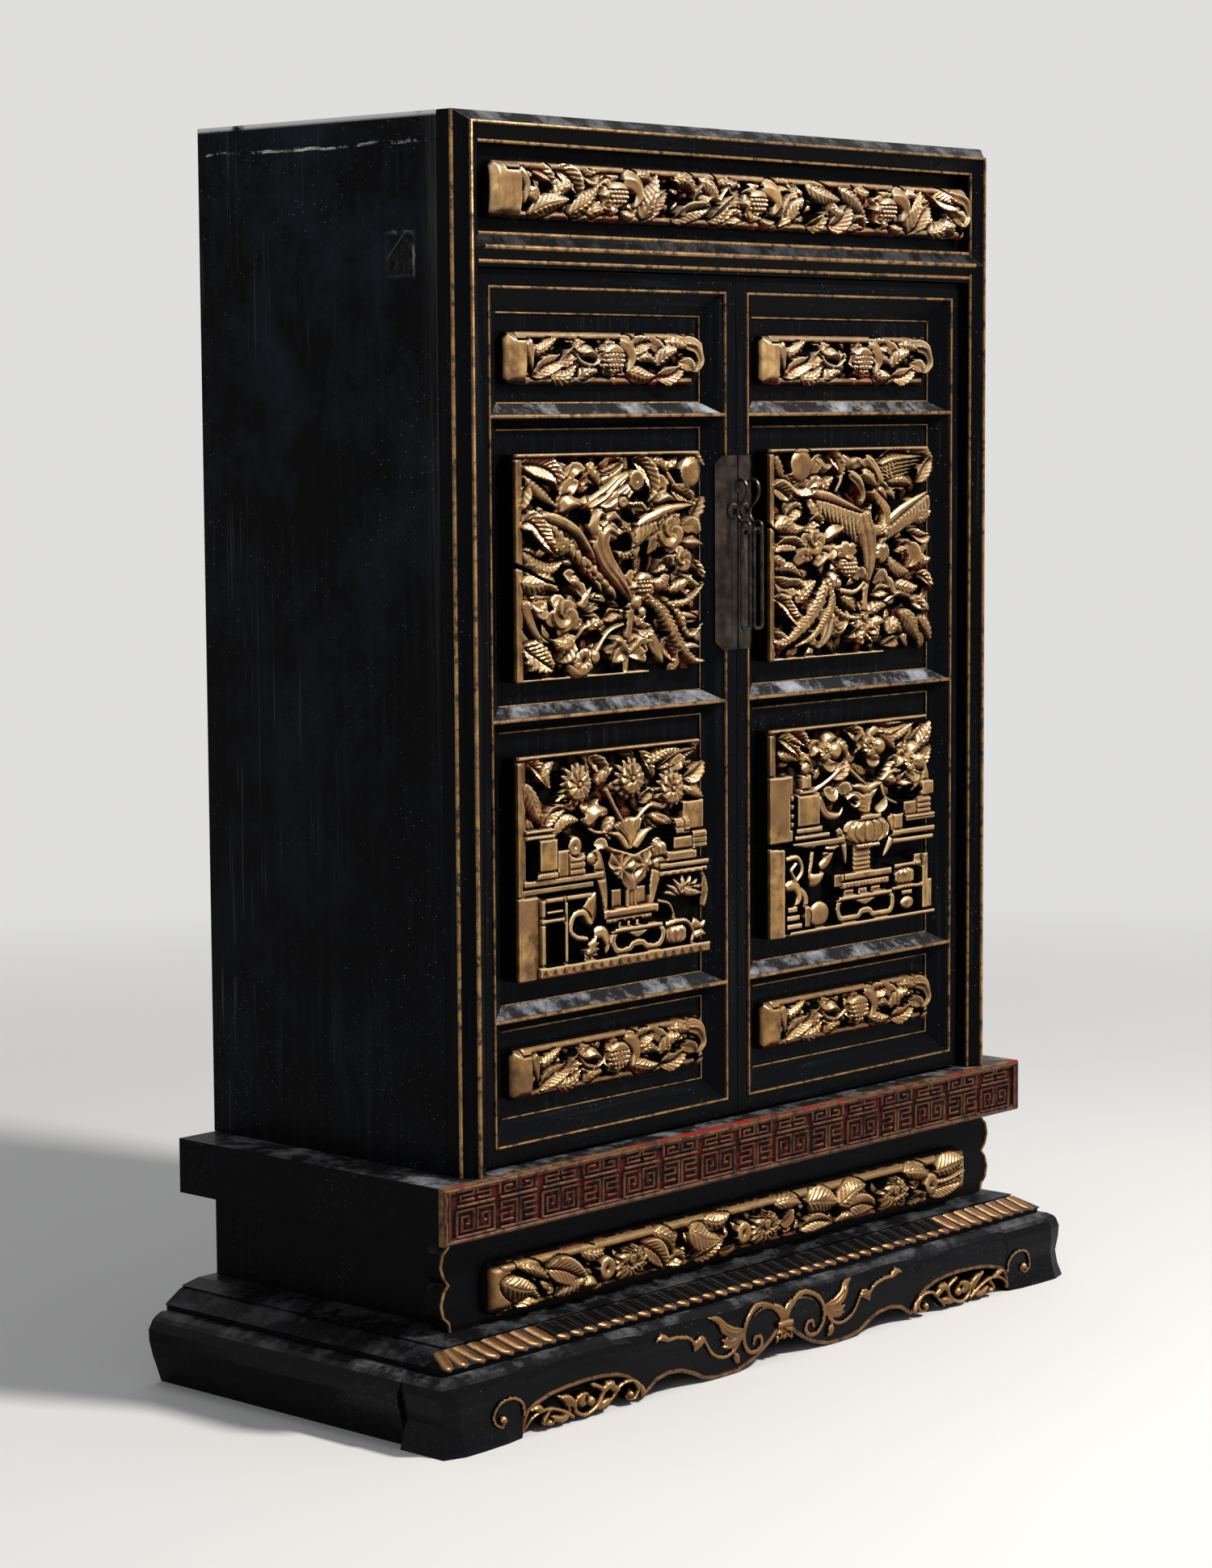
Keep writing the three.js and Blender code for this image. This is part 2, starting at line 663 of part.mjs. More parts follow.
const rightBirdForms = [
  blockForm([0, 0.045], [0.023, 0.955], 0.94),
  blockForm([0.035, 0.981], [0.965, 1], 0.896),
  domeForm([0.192, 0.917], [0.061, 0.071], 0.925),
  leafForm([[0.128, 0.872], [0.186, 0.813], [0.267, 0.828], [0.314, 0.872]], 0.04, 0.821),
  leafForm([[0.052, 0.955], [0.081, 0.902], [0.11, 0.843]], 0.034, 0.821),
  leafForm([[0.035, 0.82], [0.087, 0.805], [0.145, 0.768]], 0.045, 0.851),
  leafForm([[0.256, 0.88], [0.302, 0.925], [0.36, 0.925]], 0.045, 0.791),
  leafForm([[0.372, 0.969], [0.43, 0.91], [0.453, 0.835]], 0.034, 0.791),
  leafForm([[0.465, 0.925], [0.511, 0.932], [0.569, 0.925]], 0.045, 0.791),
  leafForm([[0.581, 0.94], [0.628, 0.88], [0.709, 0.805]], 0.045, 0.881),
  domeForm([0.628, 0.805], [0.023, 0.03], 0.91),
  leafForm([[0.662, 0.887], [0.779, 0.895], [0.93, 0.925]], 0.052, 0.821),
  leafForm([[0.918, 0.835], [0.953, 0.895], [0.982, 0.955]], 0.034, 0.791),
  leafForm([[0.5, 0.872], [0.546, 0.82], [0.558, 0.731]], 0.03, 0.851),
  leafForm([[0.628, 0.783], [0.691, 0.701], [0.686, 0.619], [0.628, 0.597]], 0.034, 0.91),
  leafForm([[0.267, 0.783], [0.383, 0.761], [0.558, 0.694]], 0.025, 0.896),
  leafForm([[0.349, 0.716], [0.442, 0.656], [0.546, 0.582]], 0.06, 0.806),
  leafForm([[0.709, 0.641], [0.825, 0.716], [0.959, 0.783]], 0.027, 0.896),
  leafForm([[0.732, 0.597], [0.825, 0.641], [0.93, 0.701]], 0.052, 0.806),
  leafForm([[0.564, 0.671], [0.593, 0.567], [0.604, 0.373]], 0.067, 0.896),
  leafForm([[0.604, 0.358], [0.593, 0.224], [0.581, 0.075]], 0.021, 0.701),
  domeForm([0.68, 0.485], [0.049, 0.052], 0.821),
  leafForm([[0.366, 0.365], [0.302, 0.268], [0.209, 0.164], [0.046, 0.089]], 0.052, 0.896),
  leafForm([[0.36, 0.343], [0.349, 0.224], [0.256, 0.104], [0.163, 0.067]], 0.03, 0.896),
  leafForm([[0.383, 0.239], [0.465, 0.194], [0.581, 0.201]], 0.03, 0.821),
  leafForm([[0.383, 0.209], [0.43, 0.149], [0.476, 0.179]], 0.045, 0.746),
  domeForm([0.476, 0.433], [0.052, 0.06], 0.896),
  domeForm([0.459, 0.515], [0.064, 0.045], 0.791),
  domeForm([0.279, 0.552], [0.076, 0.086], 0.866),
  leafForm([[0.337, 0.567], [0.395, 0.589], [0.447, 0.611]], 0.037, 0.806),
  leafForm([[0.046, 0.626], [0.116, 0.634], [0.221, 0.626]], 0.048, 0.851),
  leafForm([[0.041, 0.515], [0.116, 0.544], [0.232, 0.477]], 0.042, 0.836),
  leafForm([[0.163, 0.455], [0.221, 0.477], [0.279, 0.462]], 0.037, 0.776),
  leafForm([[0.046, 0.388], [0.128, 0.35], [0.238, 0.306]], 0.052, 0.851),
  leafForm([[0.041, 0.298], [0.128, 0.254], [0.256, 0.157]], 0.048, 0.851),
  leafForm([[0.186, 0.283], [0.244, 0.336], [0.296, 0.365]], 0.037, 0.791),
  leafForm([[0.046, 0.127], [0.087, 0.097], [0.134, 0.089]], 0.04, 0.836),
  leafForm([[0.581, 0.119], [0.535, 0.134], [0.488, 0.142]], 0.045, 0.806),
  leafForm([[0.593, 0.119], [0.651, 0.149], [0.703, 0.142]], 0.045, 0.806),
  leafForm([[0.628, 0.343], [0.686, 0.358], [0.755, 0.313]], 0.048, 0.806),
  leafForm([[0.732, 0.447], [0.79, 0.403], [0.854, 0.395]], 0.042, 0.821),
  leafForm([[0.837, 0.522], [0.872, 0.477], [0.854, 0.418]], 0.045, 0.836),
  leafForm([[0.883, 0.47], [0.936, 0.44], [0.982, 0.447]], 0.045, 0.821),
  leafForm([[0.872, 0.582], [0.93, 0.567], [0.982, 0.574]], 0.037, 0.791),
  leafForm([[0.779, 0.328], [0.848, 0.306], [0.912, 0.313]], 0.045, 0.806),
  leafForm([[0.732, 0.089], [0.767, 0.112], [0.808, 0.089]], 0.052, 0.806),
  leafForm([[0.808, 0.186], [0.86, 0.134], [0.912, 0.052]], 0.049, 0.836),
  leafForm([[0.93, 0.179], [0.965, 0.104], [0.982, 0.045]], 0.04, 0.806),
];
const leftVaseForms = [
  blockForm([0, 0.045], [0.031, 0.955], 0.94),
  blockForm([0.035, 0.979], [0.965, 1], 0.896),
  domeForm([0.314, 0.85], [0.07, 0.082], 0.896),
  domeForm([0.593, 0.85], [0.07, 0.082], 0.896),
  domeForm([0.808, 0.783], [0.07, 0.082], 0.896),
  leafForm([[0.052, 0.872], [0.093, 0.783], [0.145, 0.671]], 0.042, 0.821),
  leafForm([[0.081, 0.955], [0.139, 0.91], [0.18, 0.85]], 0.052, 0.806),
  leafForm([[0.139, 0.671], [0.209, 0.723], [0.302, 0.701]], 0.06, 0.821),
  leafForm([[0.36, 0.671], [0.407, 0.701], [0.459, 0.723]], 0.042, 0.836),
  leafForm([[0.395, 0.955], [0.442, 0.902], [0.488, 0.895]], 0.045, 0.791),
  leafForm([[0.488, 0.79], [0.523, 0.708], [0.581, 0.611]], 0.018, 0.716),
  leafForm([[0.755, 0.708], [0.674, 0.694], [0.616, 0.611]], 0.018, 0.731),
  leafForm([[0.674, 0.94], [0.767, 0.947], [0.93, 0.962]], 0.037, 0.806),
  leafForm([[0.662, 0.925], [0.691, 0.88], [0.715, 0.843]], 0.037, 0.806),
  leafForm([[0.883, 0.813], [0.936, 0.828], [0.982, 0.88]], 0.045, 0.821),
  leafForm([[0.883, 0.761], [0.936, 0.753], [0.982, 0.723]], 0.037, 0.821),
  leafForm([[0.686, 0.619], [0.755, 0.641], [0.825, 0.656]], 0.037, 0.761),
  domeForm([0.593, 0.455], [0.125, 0.108], 0.91),
  blockForm([0.567, 0.268], [0.625, 0.373], 0.716),
  leafForm([[0.511, 0.567], [0.593, 0.589], [0.674, 0.567]], 0.052, 0.806),
  leafForm([[0.407, 0.544], [0.436, 0.418], [0.453, 0.268]], 0.03, 0.791),
  leafForm([[0.726, 0.552], [0.721, 0.418], [0.691, 0.268]], 0.034, 0.821),
  domeForm([0.383, 0.507], [0.024, 0.031], 0.761),
  blockForm([0.43, 0.209], [0.721, 0.265], 0.91),
  blockForm([0.035, 0.38], [0.442, 0.447], 0.776),
  blockForm([0.099, 0.451], [0.198, 0.626], 0.91),
  blockForm([0.046, 0.626], [0.186, 0.679], 0.866),
  blockForm([0.203, 0.451], [0.337, 0.559], 0.866),
  domeForm([0.302, 0.574], [0.035, 0.045], 0.701),
  blockForm([0.732, 0.384], [0.988, 0.444], 0.866),
  blockForm([0.773, 0.447], [0.93, 0.496], 0.896),
  blockForm([0.802, 0.5], [0.906, 0.626], 0.851),
  blockForm([0.883, 0.582], [0.982, 0.716], 0.701),
  blockForm([0.918, 0.492], [0.988, 0.574], 0.776),
  blockForm([0.116, 0.336], [0.366, 0.362], 0.881),
  blockForm([0.116, 0.06], [0.137, 0.336], 0.881),
  blockForm([0.23, 0.06], [0.25, 0.336], 0.881),
  blockForm([0.137, 0.246], [0.23, 0.268], 0.866),
  blockForm([0.046, 0.06], [0.115, 0.373], 0.791),
  leafForm([[0.291, 0.254], [0.267, 0.201], [0.302, 0.157], [0.349, 0.149]], 0.019, 0.851),
  leafForm([[0.302, 0.261], [0.349, 0.254], [0.395, 0.298]], 0.025, 0.776),
  domeForm([0.366, 0.104], [0.052, 0.049], 0.836),
  blockForm([0.488, 0.146], [0.744, 0.176], 0.896),
  blockForm([0.488, 0.058], [0.744, 0.082], 0.866),
  blockForm([0.465, 0.067], [0.488, 0.164], 0.866),
  blockForm([0.744, 0.067], [0.767, 0.164], 0.866),
  domeForm([0.831, 0.101], [0.055, 0.043], 0.866),
  leafForm([[0.767, 0.313], [0.872, 0.328], [0.976, 0.313]], 0.045, 0.791),
  leafForm([[0.93, 0.134], [0.965, 0.104], [0.988, 0.097]], 0.037, 0.776),
  blockForm([0.105, 0.004], [0.988, 0.052], 0.91),
];
const rightVaseForms = [
  blockForm([0, 0.045], [0.042, 0.955], 0.94),
  blockForm([0.035, 0.982], [0.965, 1], 0.896),
  domeForm([0.349, 0.865], [0.081, 0.067], 0.881),
  domeForm([0.616, 0.865], [0.081, 0.067], 0.881),
  domeForm([0.866, 0.768], [0.081, 0.067], 0.881),
  leafForm([[0.064, 0.91], [0.128, 0.902], [0.198, 0.843]], 0.06, 0.821),
  leafForm([[0.221, 0.872], [0.256, 0.813], [0.291, 0.768]], 0.037, 0.791),
  leafForm([[0.291, 0.694], [0.383, 0.738], [0.465, 0.79]], 0.037, 0.821),
  leafForm([[0.488, 0.94], [0.535, 0.895], [0.558, 0.835]], 0.037, 0.806),
  leafForm([[0.651, 0.947], [0.732, 0.94], [0.86, 0.969]], 0.037, 0.806),
  leafForm([[0.674, 0.925], [0.721, 0.895], [0.767, 0.843]], 0.037, 0.821),
  leafForm([[0.918, 0.85], [0.953, 0.895], [0.982, 0.955]], 0.045, 0.821),
  leafForm([[0.697, 0.746], [0.744, 0.761], [0.79, 0.731]], 0.052, 0.821),
  leafForm([[0.796, 0.671], [0.86, 0.679], [0.883, 0.626]], 0.037, 0.791),
  leafForm([[0.488, 0.768], [0.558, 0.716], [0.628, 0.649]], 0.019, 0.731),
  leafForm([[0.633, 0.634], [0.709, 0.708], [0.79, 0.731]], 0.019, 0.746),
  leafForm([[0.325, 0.649], [0.372, 0.574], [0.442, 0.582]], 0.034, 0.791),
  leafForm([[0.337, 0.679], [0.395, 0.679], [0.476, 0.649]], 0.045, 0.806),
  leafForm([[0.947, 0.597], [0.965, 0.679], [0.953, 0.768]], 0.033, 0.761),
  blockForm([0.511, 0.268], [0.616, 0.403], 0.716),
  leafForm([[0.523, 0.656], [0.587, 0.597], [0.651, 0.656]], 0.06, 0.806),
  domeForm([0.593, 0.455], [0.131, 0.066], 0.925),
  blockForm([0.535, 0.515], [0.662, 0.541], 0.896),
  blockForm([0.523, 0.377], [0.662, 0.395], 0.836),
  leafForm([[0.43, 0.485], [0.453, 0.403], [0.465, 0.313]], 0.03, 0.776),
  leafForm([[0.744, 0.515], [0.75, 0.433], [0.697, 0.328]], 0.037, 0.791),
  leafForm([[0.325, 0.321], [0.372, 0.365], [0.424, 0.395]], 0.042, 0.806),
  blockForm([0.383, 0.186], [0.726, 0.265], 0.881),
  blockForm([0.453, 0.154], [0.686, 0.183], 0.687),
  blockForm([0.407, 0.124], [0.732, 0.154], 0.896),
  blockForm([0.407, 0.031], [0.732, 0.055], 0.866),
  blockForm([0.383, 0.04], [0.407, 0.145], 0.866),
  blockForm([0.732, 0.04], [0.755, 0.145], 0.866),
  blockForm([0.139, 0.415], [0.453, 0.482], 0.806),
  blockForm([0.163, 0.485], [0.314, 0.519], 0.851),
  blockForm([0.157, 0.522], [0.291, 0.679], 0.91),
  blockForm([0.174, 0.679], [0.273, 0.701], 0.881),
  blockForm([0.198, 0.701], [0.25, 0.776], 0.821),
  domeForm([0.224, 0.798], [0.024, 0.031], 0.791),
  blockForm([0.732, 0.376], [0.988, 0.447], 0.821),
  blockForm([0.813, 0.45], [0.988, 0.515], 0.881),
  blockForm([0.802, 0.515], [0.976, 0.589], 0.851),
  blockForm([0.93, 0.589], [0.988, 0.671], 0.791),
  blockForm([0.755, 0.447], [0.808, 0.522], 0.791),
  leafForm([[0.122, 0.365], [0.186, 0.35], [0.192, 0.291], [0.151, 0.283]], 0.022, 0.821),
  leafForm([[0.261, 0.395], [0.25, 0.336], [0.25, 0.254]], 0.019, 0.791),
  leafForm([[0.11, 0.231], [0.163, 0.216], [0.169, 0.134]], 0.034, 0.821),
  leafForm([[0.198, 0.216], [0.227, 0.157], [0.215, 0.089]], 0.025, 0.746),
  blockForm([0.11, 0.033], [0.192, 0.067], 0.791),
  leafForm([[0.25, 0.254], [0.291, 0.261], [0.331, 0.276]], 0.04, 0.791),
  domeForm([0.296, 0.087], [0.058, 0.06], 0.896),
  blockForm([0.744, 0.251], [0.912, 0.274], 0.881),
  domeForm([0.825, 0.205], [0.061, 0.045], 0.851),
  blockForm([0.732, 0.142], [0.916, 0.166], 0.866),
  domeForm([0.837, 0.073], [0.043, 0.037], 0.836),
  blockForm([0.918, 0.037], [0.956, 0.313], 0.881),
  blockForm([0.877, 0.275], [0.917, 0.313], 0.791),
  blockForm([0.116, 0.004], [0.988, 0.028], 0.896),
];

// Lock plate: flat on the meeting stile, folded over its slope, outer corners clipped.
const slopeLength = Math.hypot(slopeWidth, slopeDepth);
const slopeAlong = [-slopeWidth / slopeLength, slopeDepth / slopeLength];
const slopeOut = [-slopeAlong[1], slopeAlong[0]];
const foldX = -doorInner - flatWidth;
const lockEdgeX = -doorInner - lockEdgeInset;
const lockMiddleX = (foldX + lockEdgeX) / 2;
const lockMiddleZ = openings[2].middle + lockRise;
const lockFace = doorFace - seatGap - lockThick;
function lockPlate() {
  const low = lockMiddleZ - lockHeight / 2;
  const heights = [0, lockClip, lockHeight - lockClip, lockHeight];
  const wings = [lockWing - lockClip, lockWing, lockWing, lockWing - lockClip];
  const across = (lift, wing) => {
    const flatY = doorFace - lift;
    const bend = lift * Math.tan(Math.atan2(slopeDepth, slopeWidth) / 2);
    const tip = [
      foldX + slopeAlong[0] * wing + slopeOut[0] * lift,
      doorFace + slopeAlong[1] * wing + slopeOut[1] * lift,
    ];
    return [[lockEdgeX, flatY], [foldX - bend, flatY], tip];
  };
  const point = (lift) => (i, j) => {
    const [x, y] = across(lift, wings[i])[j];
    return [x, y, low + heights[i]];
  };
  return shell(heights.length, 3, point(seatGap + lockThick), point(seatGap));
}

// Hook: a rosette on the plate, an S of wire standing forward, a ring at its foot.
const hookPathShares = [
  [0.35, 0.62], [0.28, 0.9], [0.6, 1.06], [0.98, 0.95], [1.08, 0.62],
  [0.84, 0.3], [0.46, 0.1], [0.4, -0.12], [0.52, -0.3], [0.77, -0.44],
];
const hookScale = { reach: 11, rise: 18 };
const rosetteFoot = lockFace - seatGap;
const rosetteZ = lockMiddleZ + lockHeight / 2 - rosetteDrop;
const ringY = rosetteFoot - hookRingReach;
const ringZ = rosetteZ - hookRingDrop;
const pullPivotZ = ringZ - hookRingRadius + hookWire + pullWire + pullClearance;
function lockHook() {
  const sCurve = new THREE.CatmullRomCurve3(hookPathShares.map(([reach, rise]) => (
    new THREE.Vector3(
      lockMiddleX,
      rosetteFoot - reach * hookScale.reach,
      rosetteZ + rise * hookScale.rise,
    )
  )));
  const steps = 22;
  const sPath = sCurve.getPoints(steps).map((p) => p.toArray());
  const ringSteps = 16;
  const ringPath = Array.from({ length: ringSteps }, (_, k) => {
    const angle = (2 * PI * k) / ringSteps;
    return [
      lockMiddleX,
      ringY + hookRingRadius * Math.cos(angle),
      ringZ + hookRingRadius * Math.sin(angle),
    ];
  });
  const stem = [[lockMiddleX, rosetteFoot - hookWire, rosetteZ]];
  stem.push([lockMiddleX, rosetteFoot - hookScale.reach * 0.45, rosetteZ]);
  const rosette = turned(
    [lockMiddleX, rosetteFoot, rosetteZ],
    [0, -1, 0],
    [[rosetteRadius, 0], [rosetteRadius, rosetteRise * 0.35], [rosetteRadius * 0.7, rosetteRise * 0.85],
      [rosetteRadius * 0.25, rosetteRise]],
    16,
  );
  const side = [1, 0, 0];
  return joined(
    rosette,
    wire(stem, side, hookWire, false),
    wire(sPath, side, hookWire, false),
    wire(ringPath, side, hookWire, true),
  );
}

// Pull: a long narrow loop that hangs in the hook's ring.
function lockPull() {
  const steps = 4;
  const quarters = [[1, 1], [-1, 1], [-1, -1], [1, -1]];
  const path = quarters.flatMap(([toSide, up], quarter) => {
    const centreX = lockMiddleX + toSide * (pullHalfWidth - pullCorner);
    const centreZ = up > 0 ? pullPivotZ - pullCorner : pullPivotZ - pullLength + pullCorner;
    return Array.from({ length: steps }, (_, k) => {
      const angle = (PI / 2) * (quarter + k / (steps - 1));
      return [
        centreX + pullCorner * Math.cos(angle),
        ringY,
        centreZ + pullCorner * Math.sin(angle),
      ];
    });
  });
  return wire(path, [0, 1, 0], pullWire, true);
}

// Scalloped end of the waist board, as shares of its reach and height.
const scallopShares = [
  [0.55, 0], [0.62, 0.1], [0.9, 0.17], [1, 0.3], [0.86, 0.42], [0.62, 0.5],
  [0.86, 0.58], [1, 0.7], [0.9, 0.83], [0.62, 0.9], [0.55, 1],
];
function waistFront() {
  const board = scallopShares.map(([reach, rise]) => [
    halfWidth + reach * waistReach,
    ledgeTop + seatGap + rise * (waistHeight - 2 * seatGap),
  ]);
  const outline = [...board, ...board.map(([x, z]) => [-x, z]).reverse()];
  const ring = (y) => outline.map(([x, z]) => [x, y, z]);
  return loft([ring(front + waistSetback), ring(front + waistSetback + waistBoardThick)]);
}

// Ledge, groove and slope under the waist: the same moulding in front and at the sides.
const slopeTop = ledgeTop - ledgeFall - grooveWidth;
const slopeFoot = slopeTop - petalFall;
const mouldingFoot = apronTop + seatGap;
const mouldingProfile = [
  [petalReach - mouldingDepth, mouldingFoot],
  [petalReach - mouldingDepth, ledgeTop],
  [-waistSetback, ledgeTop],
  [ledgeReach, ledgeTop - ledgeFall],
  [ledgeReach - grooveDepth, slopeTop + grooveDepth / 2],
  [ledgeReach + grooveDepth, slopeTop],
  [petalReach, slopeFoot],
  [petalReach - grooveDepth, slopeFoot - grooveDepth],
  [petalReach - grooveDepth, mouldingFoot],
];
const mouldingGroup = [mouldingProfile.map((_, i) => i)];
const petalMoulding = bar(
  mouldingProfile,
  mouldingGroup,
  (reach, height, along) => [along, front - reach, height],
  (reach) => seatGap - halfWidth - sideExtraReach - reach,
  (reach) => halfWidth + sideExtraReach + reach - seatGap,
);
const leftMoulding = bar(
  mouldingProfile,
  mouldingGroup,
  (reach, height, along) => [-halfWidth - sideExtraReach - reach, along, height],
  (reach) => front - reach,
  () => standBack,
);

// Swelling faces of the apron: shares down from its top, and shares of how far each swells.
const frontSwellShares = [
  [0, 0], [0.05, 0.4], [0.1, 0.65], [0.22, 0.95], [0.38, 1], [0.6, 0.96], [0.8, 0.92], [1, 0.92],
];
const footSwellShares = [
  [0, 0], [0.05, 0.28], [0.1, 0.45], [0.22, 0.66], [0.38, 0.68], [0.6, 0.6], [0.8, 0.76], [1, 1],
];
const sideSwellShares = [
  [0, 0], [0.05, 0.45], [0.1, 0.7], [0.22, 1], [0.38, 0.97], [0.6, 0.72], [0.8, 0.4], [1, 0.1],
];
const footSideShares = [
  [0, 0], [0.05, 0.45], [0.1, 0.66], [0.22, 0.8], [0.38, 0.7], [0.6, 0.45], [0.8, 0.55], [1, 0.86],
];
function swell(shares, drop) {
  const next = Math.max(1, shares.findIndex(([share]) => share >= drop));
  const [[s0, r0], [s1, r1]] = [shares[next - 1], shares[next]];
  return r0 + ((r1 - r0) * (drop - s0)) / (s1 - s0);
}

// Lower edge of the front apron, half of it: shares of the half length and of the height.
const apronEdgeShares = [
  [0, 0.43], [0.017, 0.52], [0.04, 0.66], [0.07, 0.78], [0.1, 0.88], [0.15, 0.99], [0.19, 1],
  [0.23, 0.99], [0.26, 0.94], [0.29, 0.84], [0.33, 0.74], [0.37, 0.715], [0.41, 0.76],
  [0.435, 0.86], [0.448, 0.91], [0.46, 0.8], [0.477, 0.7], [0.5, 0.6], [0.53, 0.53],
  [0.57, 0.49], [0.62, 0.475], [0.68, 0.49], [0.73, 0.525], [0.775, 0.6], [0.8, 0.68],
  [0.812, 1], [0.86, 1], [0.93, 1], [1, 1],
];
function apronStations() {
  const half = halfWidth + sideExtraReach + apronTopReach;
  const footStart = 0.78;
  const footFull = 0.9;
  const right = apronEdgeShares.map(([along, drop]) => ({ along, drop }));
  right.splice(-1, 0, { along: 1 - cornerEase / half, drop: 1 });
  const left = right.slice(1).reverse().map(({ along, drop }) => ({ along: -along, drop }));
  return [...left, ...right].map(({ along, drop }) => ({
    x: along * half,
    drop,
    foot: THREE.MathUtils.smoothstep(Math.abs(along), footStart, footFull),
    end: Math.abs(along) === 1 ? Math.sign(along) : 0,
  }));
}
function frontApron() {
  const cornerShare = 0.6;
  const stations = apronStations();
  const rowsDown = frontSwellShares.map(([share]) => share);
  const point = (isBack) => (i, j) => {
    const { x, drop, foot, end } = stations[i];
    const fall = drop * rowsDown[j];
    const bulge = swell(frontSwellShares, fall) * apronBulge;
    const kick = swell(footSwellShares, fall) * (apronFootReach - apronTopReach);
    const eased = end === 0 ? 1 : cornerShare;
    const reach = THREE.MathUtils.lerp(bulge, kick, foot) * eased;
    return [
      x + end * swell(footSideShares, fall) * sideBulge,
      isBack ? front - apronTopReach + apronThick : front - apronTopReach - reach,
      apronTop * (1 - fall),
    ];
  };
  return shell(stations.length, rowsDown.length, point(false), point(true));
}
function sideApron() {
  const start = front - apronTopReach + apronThick + seatGap;
  const outer = halfWidth + sideExtraReach + apronTopReach;
  const rows = sideSwellShares.map(([share, reach]) => ({ share, reach }));
  const point = (isInner) => (i, j) => [
    -(isInner ? outer - sideApronThick : outer + rows[j].reach * sideBulge),
    [start, standBack][i],
    apronTop * (1 - rows[j].share),
  ];
  return shell(2, rows.length, point(false), point(true));
}

// Fret board on the slab's front: a raised border round a sunk field.
function fretFrieze() {
  const half = halfWidth + sideExtraReach + slabReach;
  const faceY = front - slabReach;
  const board = box([-half, faceY, slabBottom], [half, faceY + fretThick, slabTop]);
  const field = box(
    [-half + fretBorder, faceY - overreach, slabBottom + fretBorder],
    [half - fretBorder, faceY + fretRecess, slabTop - fretBorder],
  );
  return cutFrom(board, field);
}

function slab() {
  const half = halfWidth + sideExtraReach + slabReach;
  const board = box([-half, front - slabReach + fretThick + seatGap, slabBottom], [half, back, slabTop]);
  return cutFrom(
    board,
    pivotPeg(-1, socketFoot, slabTop + overreach, socketRadius),
    pivotPeg(1, socketFoot, slabTop + overreach, socketRadius),
  );
}

// Side board: its top edge is let down to take the end of the top board.
function sideBoard() {
  const near = front + postDepth + seatGap;
  const notch = bodyTop - topThick - seatGap;
  const outline = [
    [near, slabTop + seatGap], [back, slabTop + seatGap], [back, bodyTop],
    [backBoardFace, bodyTop], [backBoardFace, notch], [near, notch],
  ];
  const ring = (x) => outline.map(([y, z]) => [x, y, z]);
  return loft([ring(-halfWidth), ring(-halfWidth + sideThick)]);
}

const insideX = halfWidth - sideThick - seatGap;
const cabinetFloorFront = doorBack + doorStopGap;

// Bosses of the long plaque over the doors: one seed head in the middle, one to each side.
function friezePlaque() {
  const seat = front + friezePanelSetback - seatGap;
  const middle = (friezeRailTop + bodyTop - innerLineInset) / 2;
  const open = [2 * (halfWidth - innerLineInset), bodyTop - innerLineInset - friezeRailTop];
  const block = plaque([0, seat, middle], open, friezePlaqueSize);
  const face = seat - friezePlaqueSize.depth;
  const heads = [-seedHeadPitch, 0, seedHeadPitch].map((x) => turned(
    [x, face + seedHeadRise, middle],
    [0, -1, 0],
    [[seedHeadRadius, 0], [seedHeadRadius * 0.86, seedHeadRise * 1.2], [seedHeadRadius * 0.5, seedHeadRise * 1.8]],
    24,
  ));
  return joined(block, ...heads);
}

const pieces = [];
function add(name, slot, solid) {
  pieces.push({ name, slot, solid });
}
function addPair(name, slot, leftSolid) {
  add(`left_${name}`, slot, leftSolid);
  add(`right_${name}`, slot, mirrored(leftSolid));
}

addPair('side_board', 'lacquer', sideBoard());
addPair('front_post', 'lacquer', leftPost);
add('top_rail', 'lacquer', topRail);
add('frieze_rail', 'lacquer', friezeRail);
add('frieze_panel', 'lacquer', box(
  [-halfWidth + innerLineInset + seatGap, front + friezePanelSetback, friezeRailTop + seatGap],
  [halfWidth - innerLineInset - seatGap, front + postDepth, bodyTop - innerLineInset - seatGap],
));
add('frieze_plaque', 'gilt', friezePlaque());
add('top_board', 'lacquer', box(
  [-halfWidth, front + postDepth + seatGap, bodyTop - topThick],
  [halfWidth, backBoardFace - seatGap, bodyTop],
));
add('back_board', 'lacquer', box([-insideX, backBoardFace, slabTop + seatGap], [insideX, back, bodyTop]));
add('floor_board', 'lacquer', box(
  [-insideX, cabinetFloorFront, slabTop + seatGap],
  [insideX, backBoardFace - seatGap, slabTop + seatGap + floorThick],
));

addPair('hinge_stile', 'lacquer', hingeStile());
addPair('meeting_stile', 'lacquer', meetingStile());
addPair('door_bottom_rail', 'lacquer', doorRail((given) => doorLow + given));
addPair('door_top_rail', 'lacquer', doorRail((given) => doorTop - given));
for (const [name, height] of Object.entries(midRailHeights)) {
  addPair(`door_${name}_rail`, 'lacquer', midRail(height));
}
const tallForms = { vase: [leftVaseForms, rightVaseForms], bird: [leftBirdForms, rightBirdForms] };
['bottom', 'vase', 'bird', 'top'].forEach((name, i) => {
  const tall = name in tallForms;
  const place = [doorMiddle, lipBack, openings[i].middle];
  const open = [openingWidth, openings[i].height];
  addPair(`${name}_panel`, 'lacquer', doorPanel(openings[i]));
  if (tall) {
    const [leftForms, rightForms] = tallForms[name];
    const rightPlace = [-place[0], place[1], place[2]];
    add(`left_${name}_plaque`, 'gilt', carvedPlaque(place, open, tallPlaque, leftForms));
    add(`right_${name}_plaque`, 'gilt', carvedPlaque(rightPlace, open, tallPlaque, rightForms));
  } else {
    addPair(`${name}_plaque`, 'gilt', plaque(place, open, shortPlaque));
  }
});
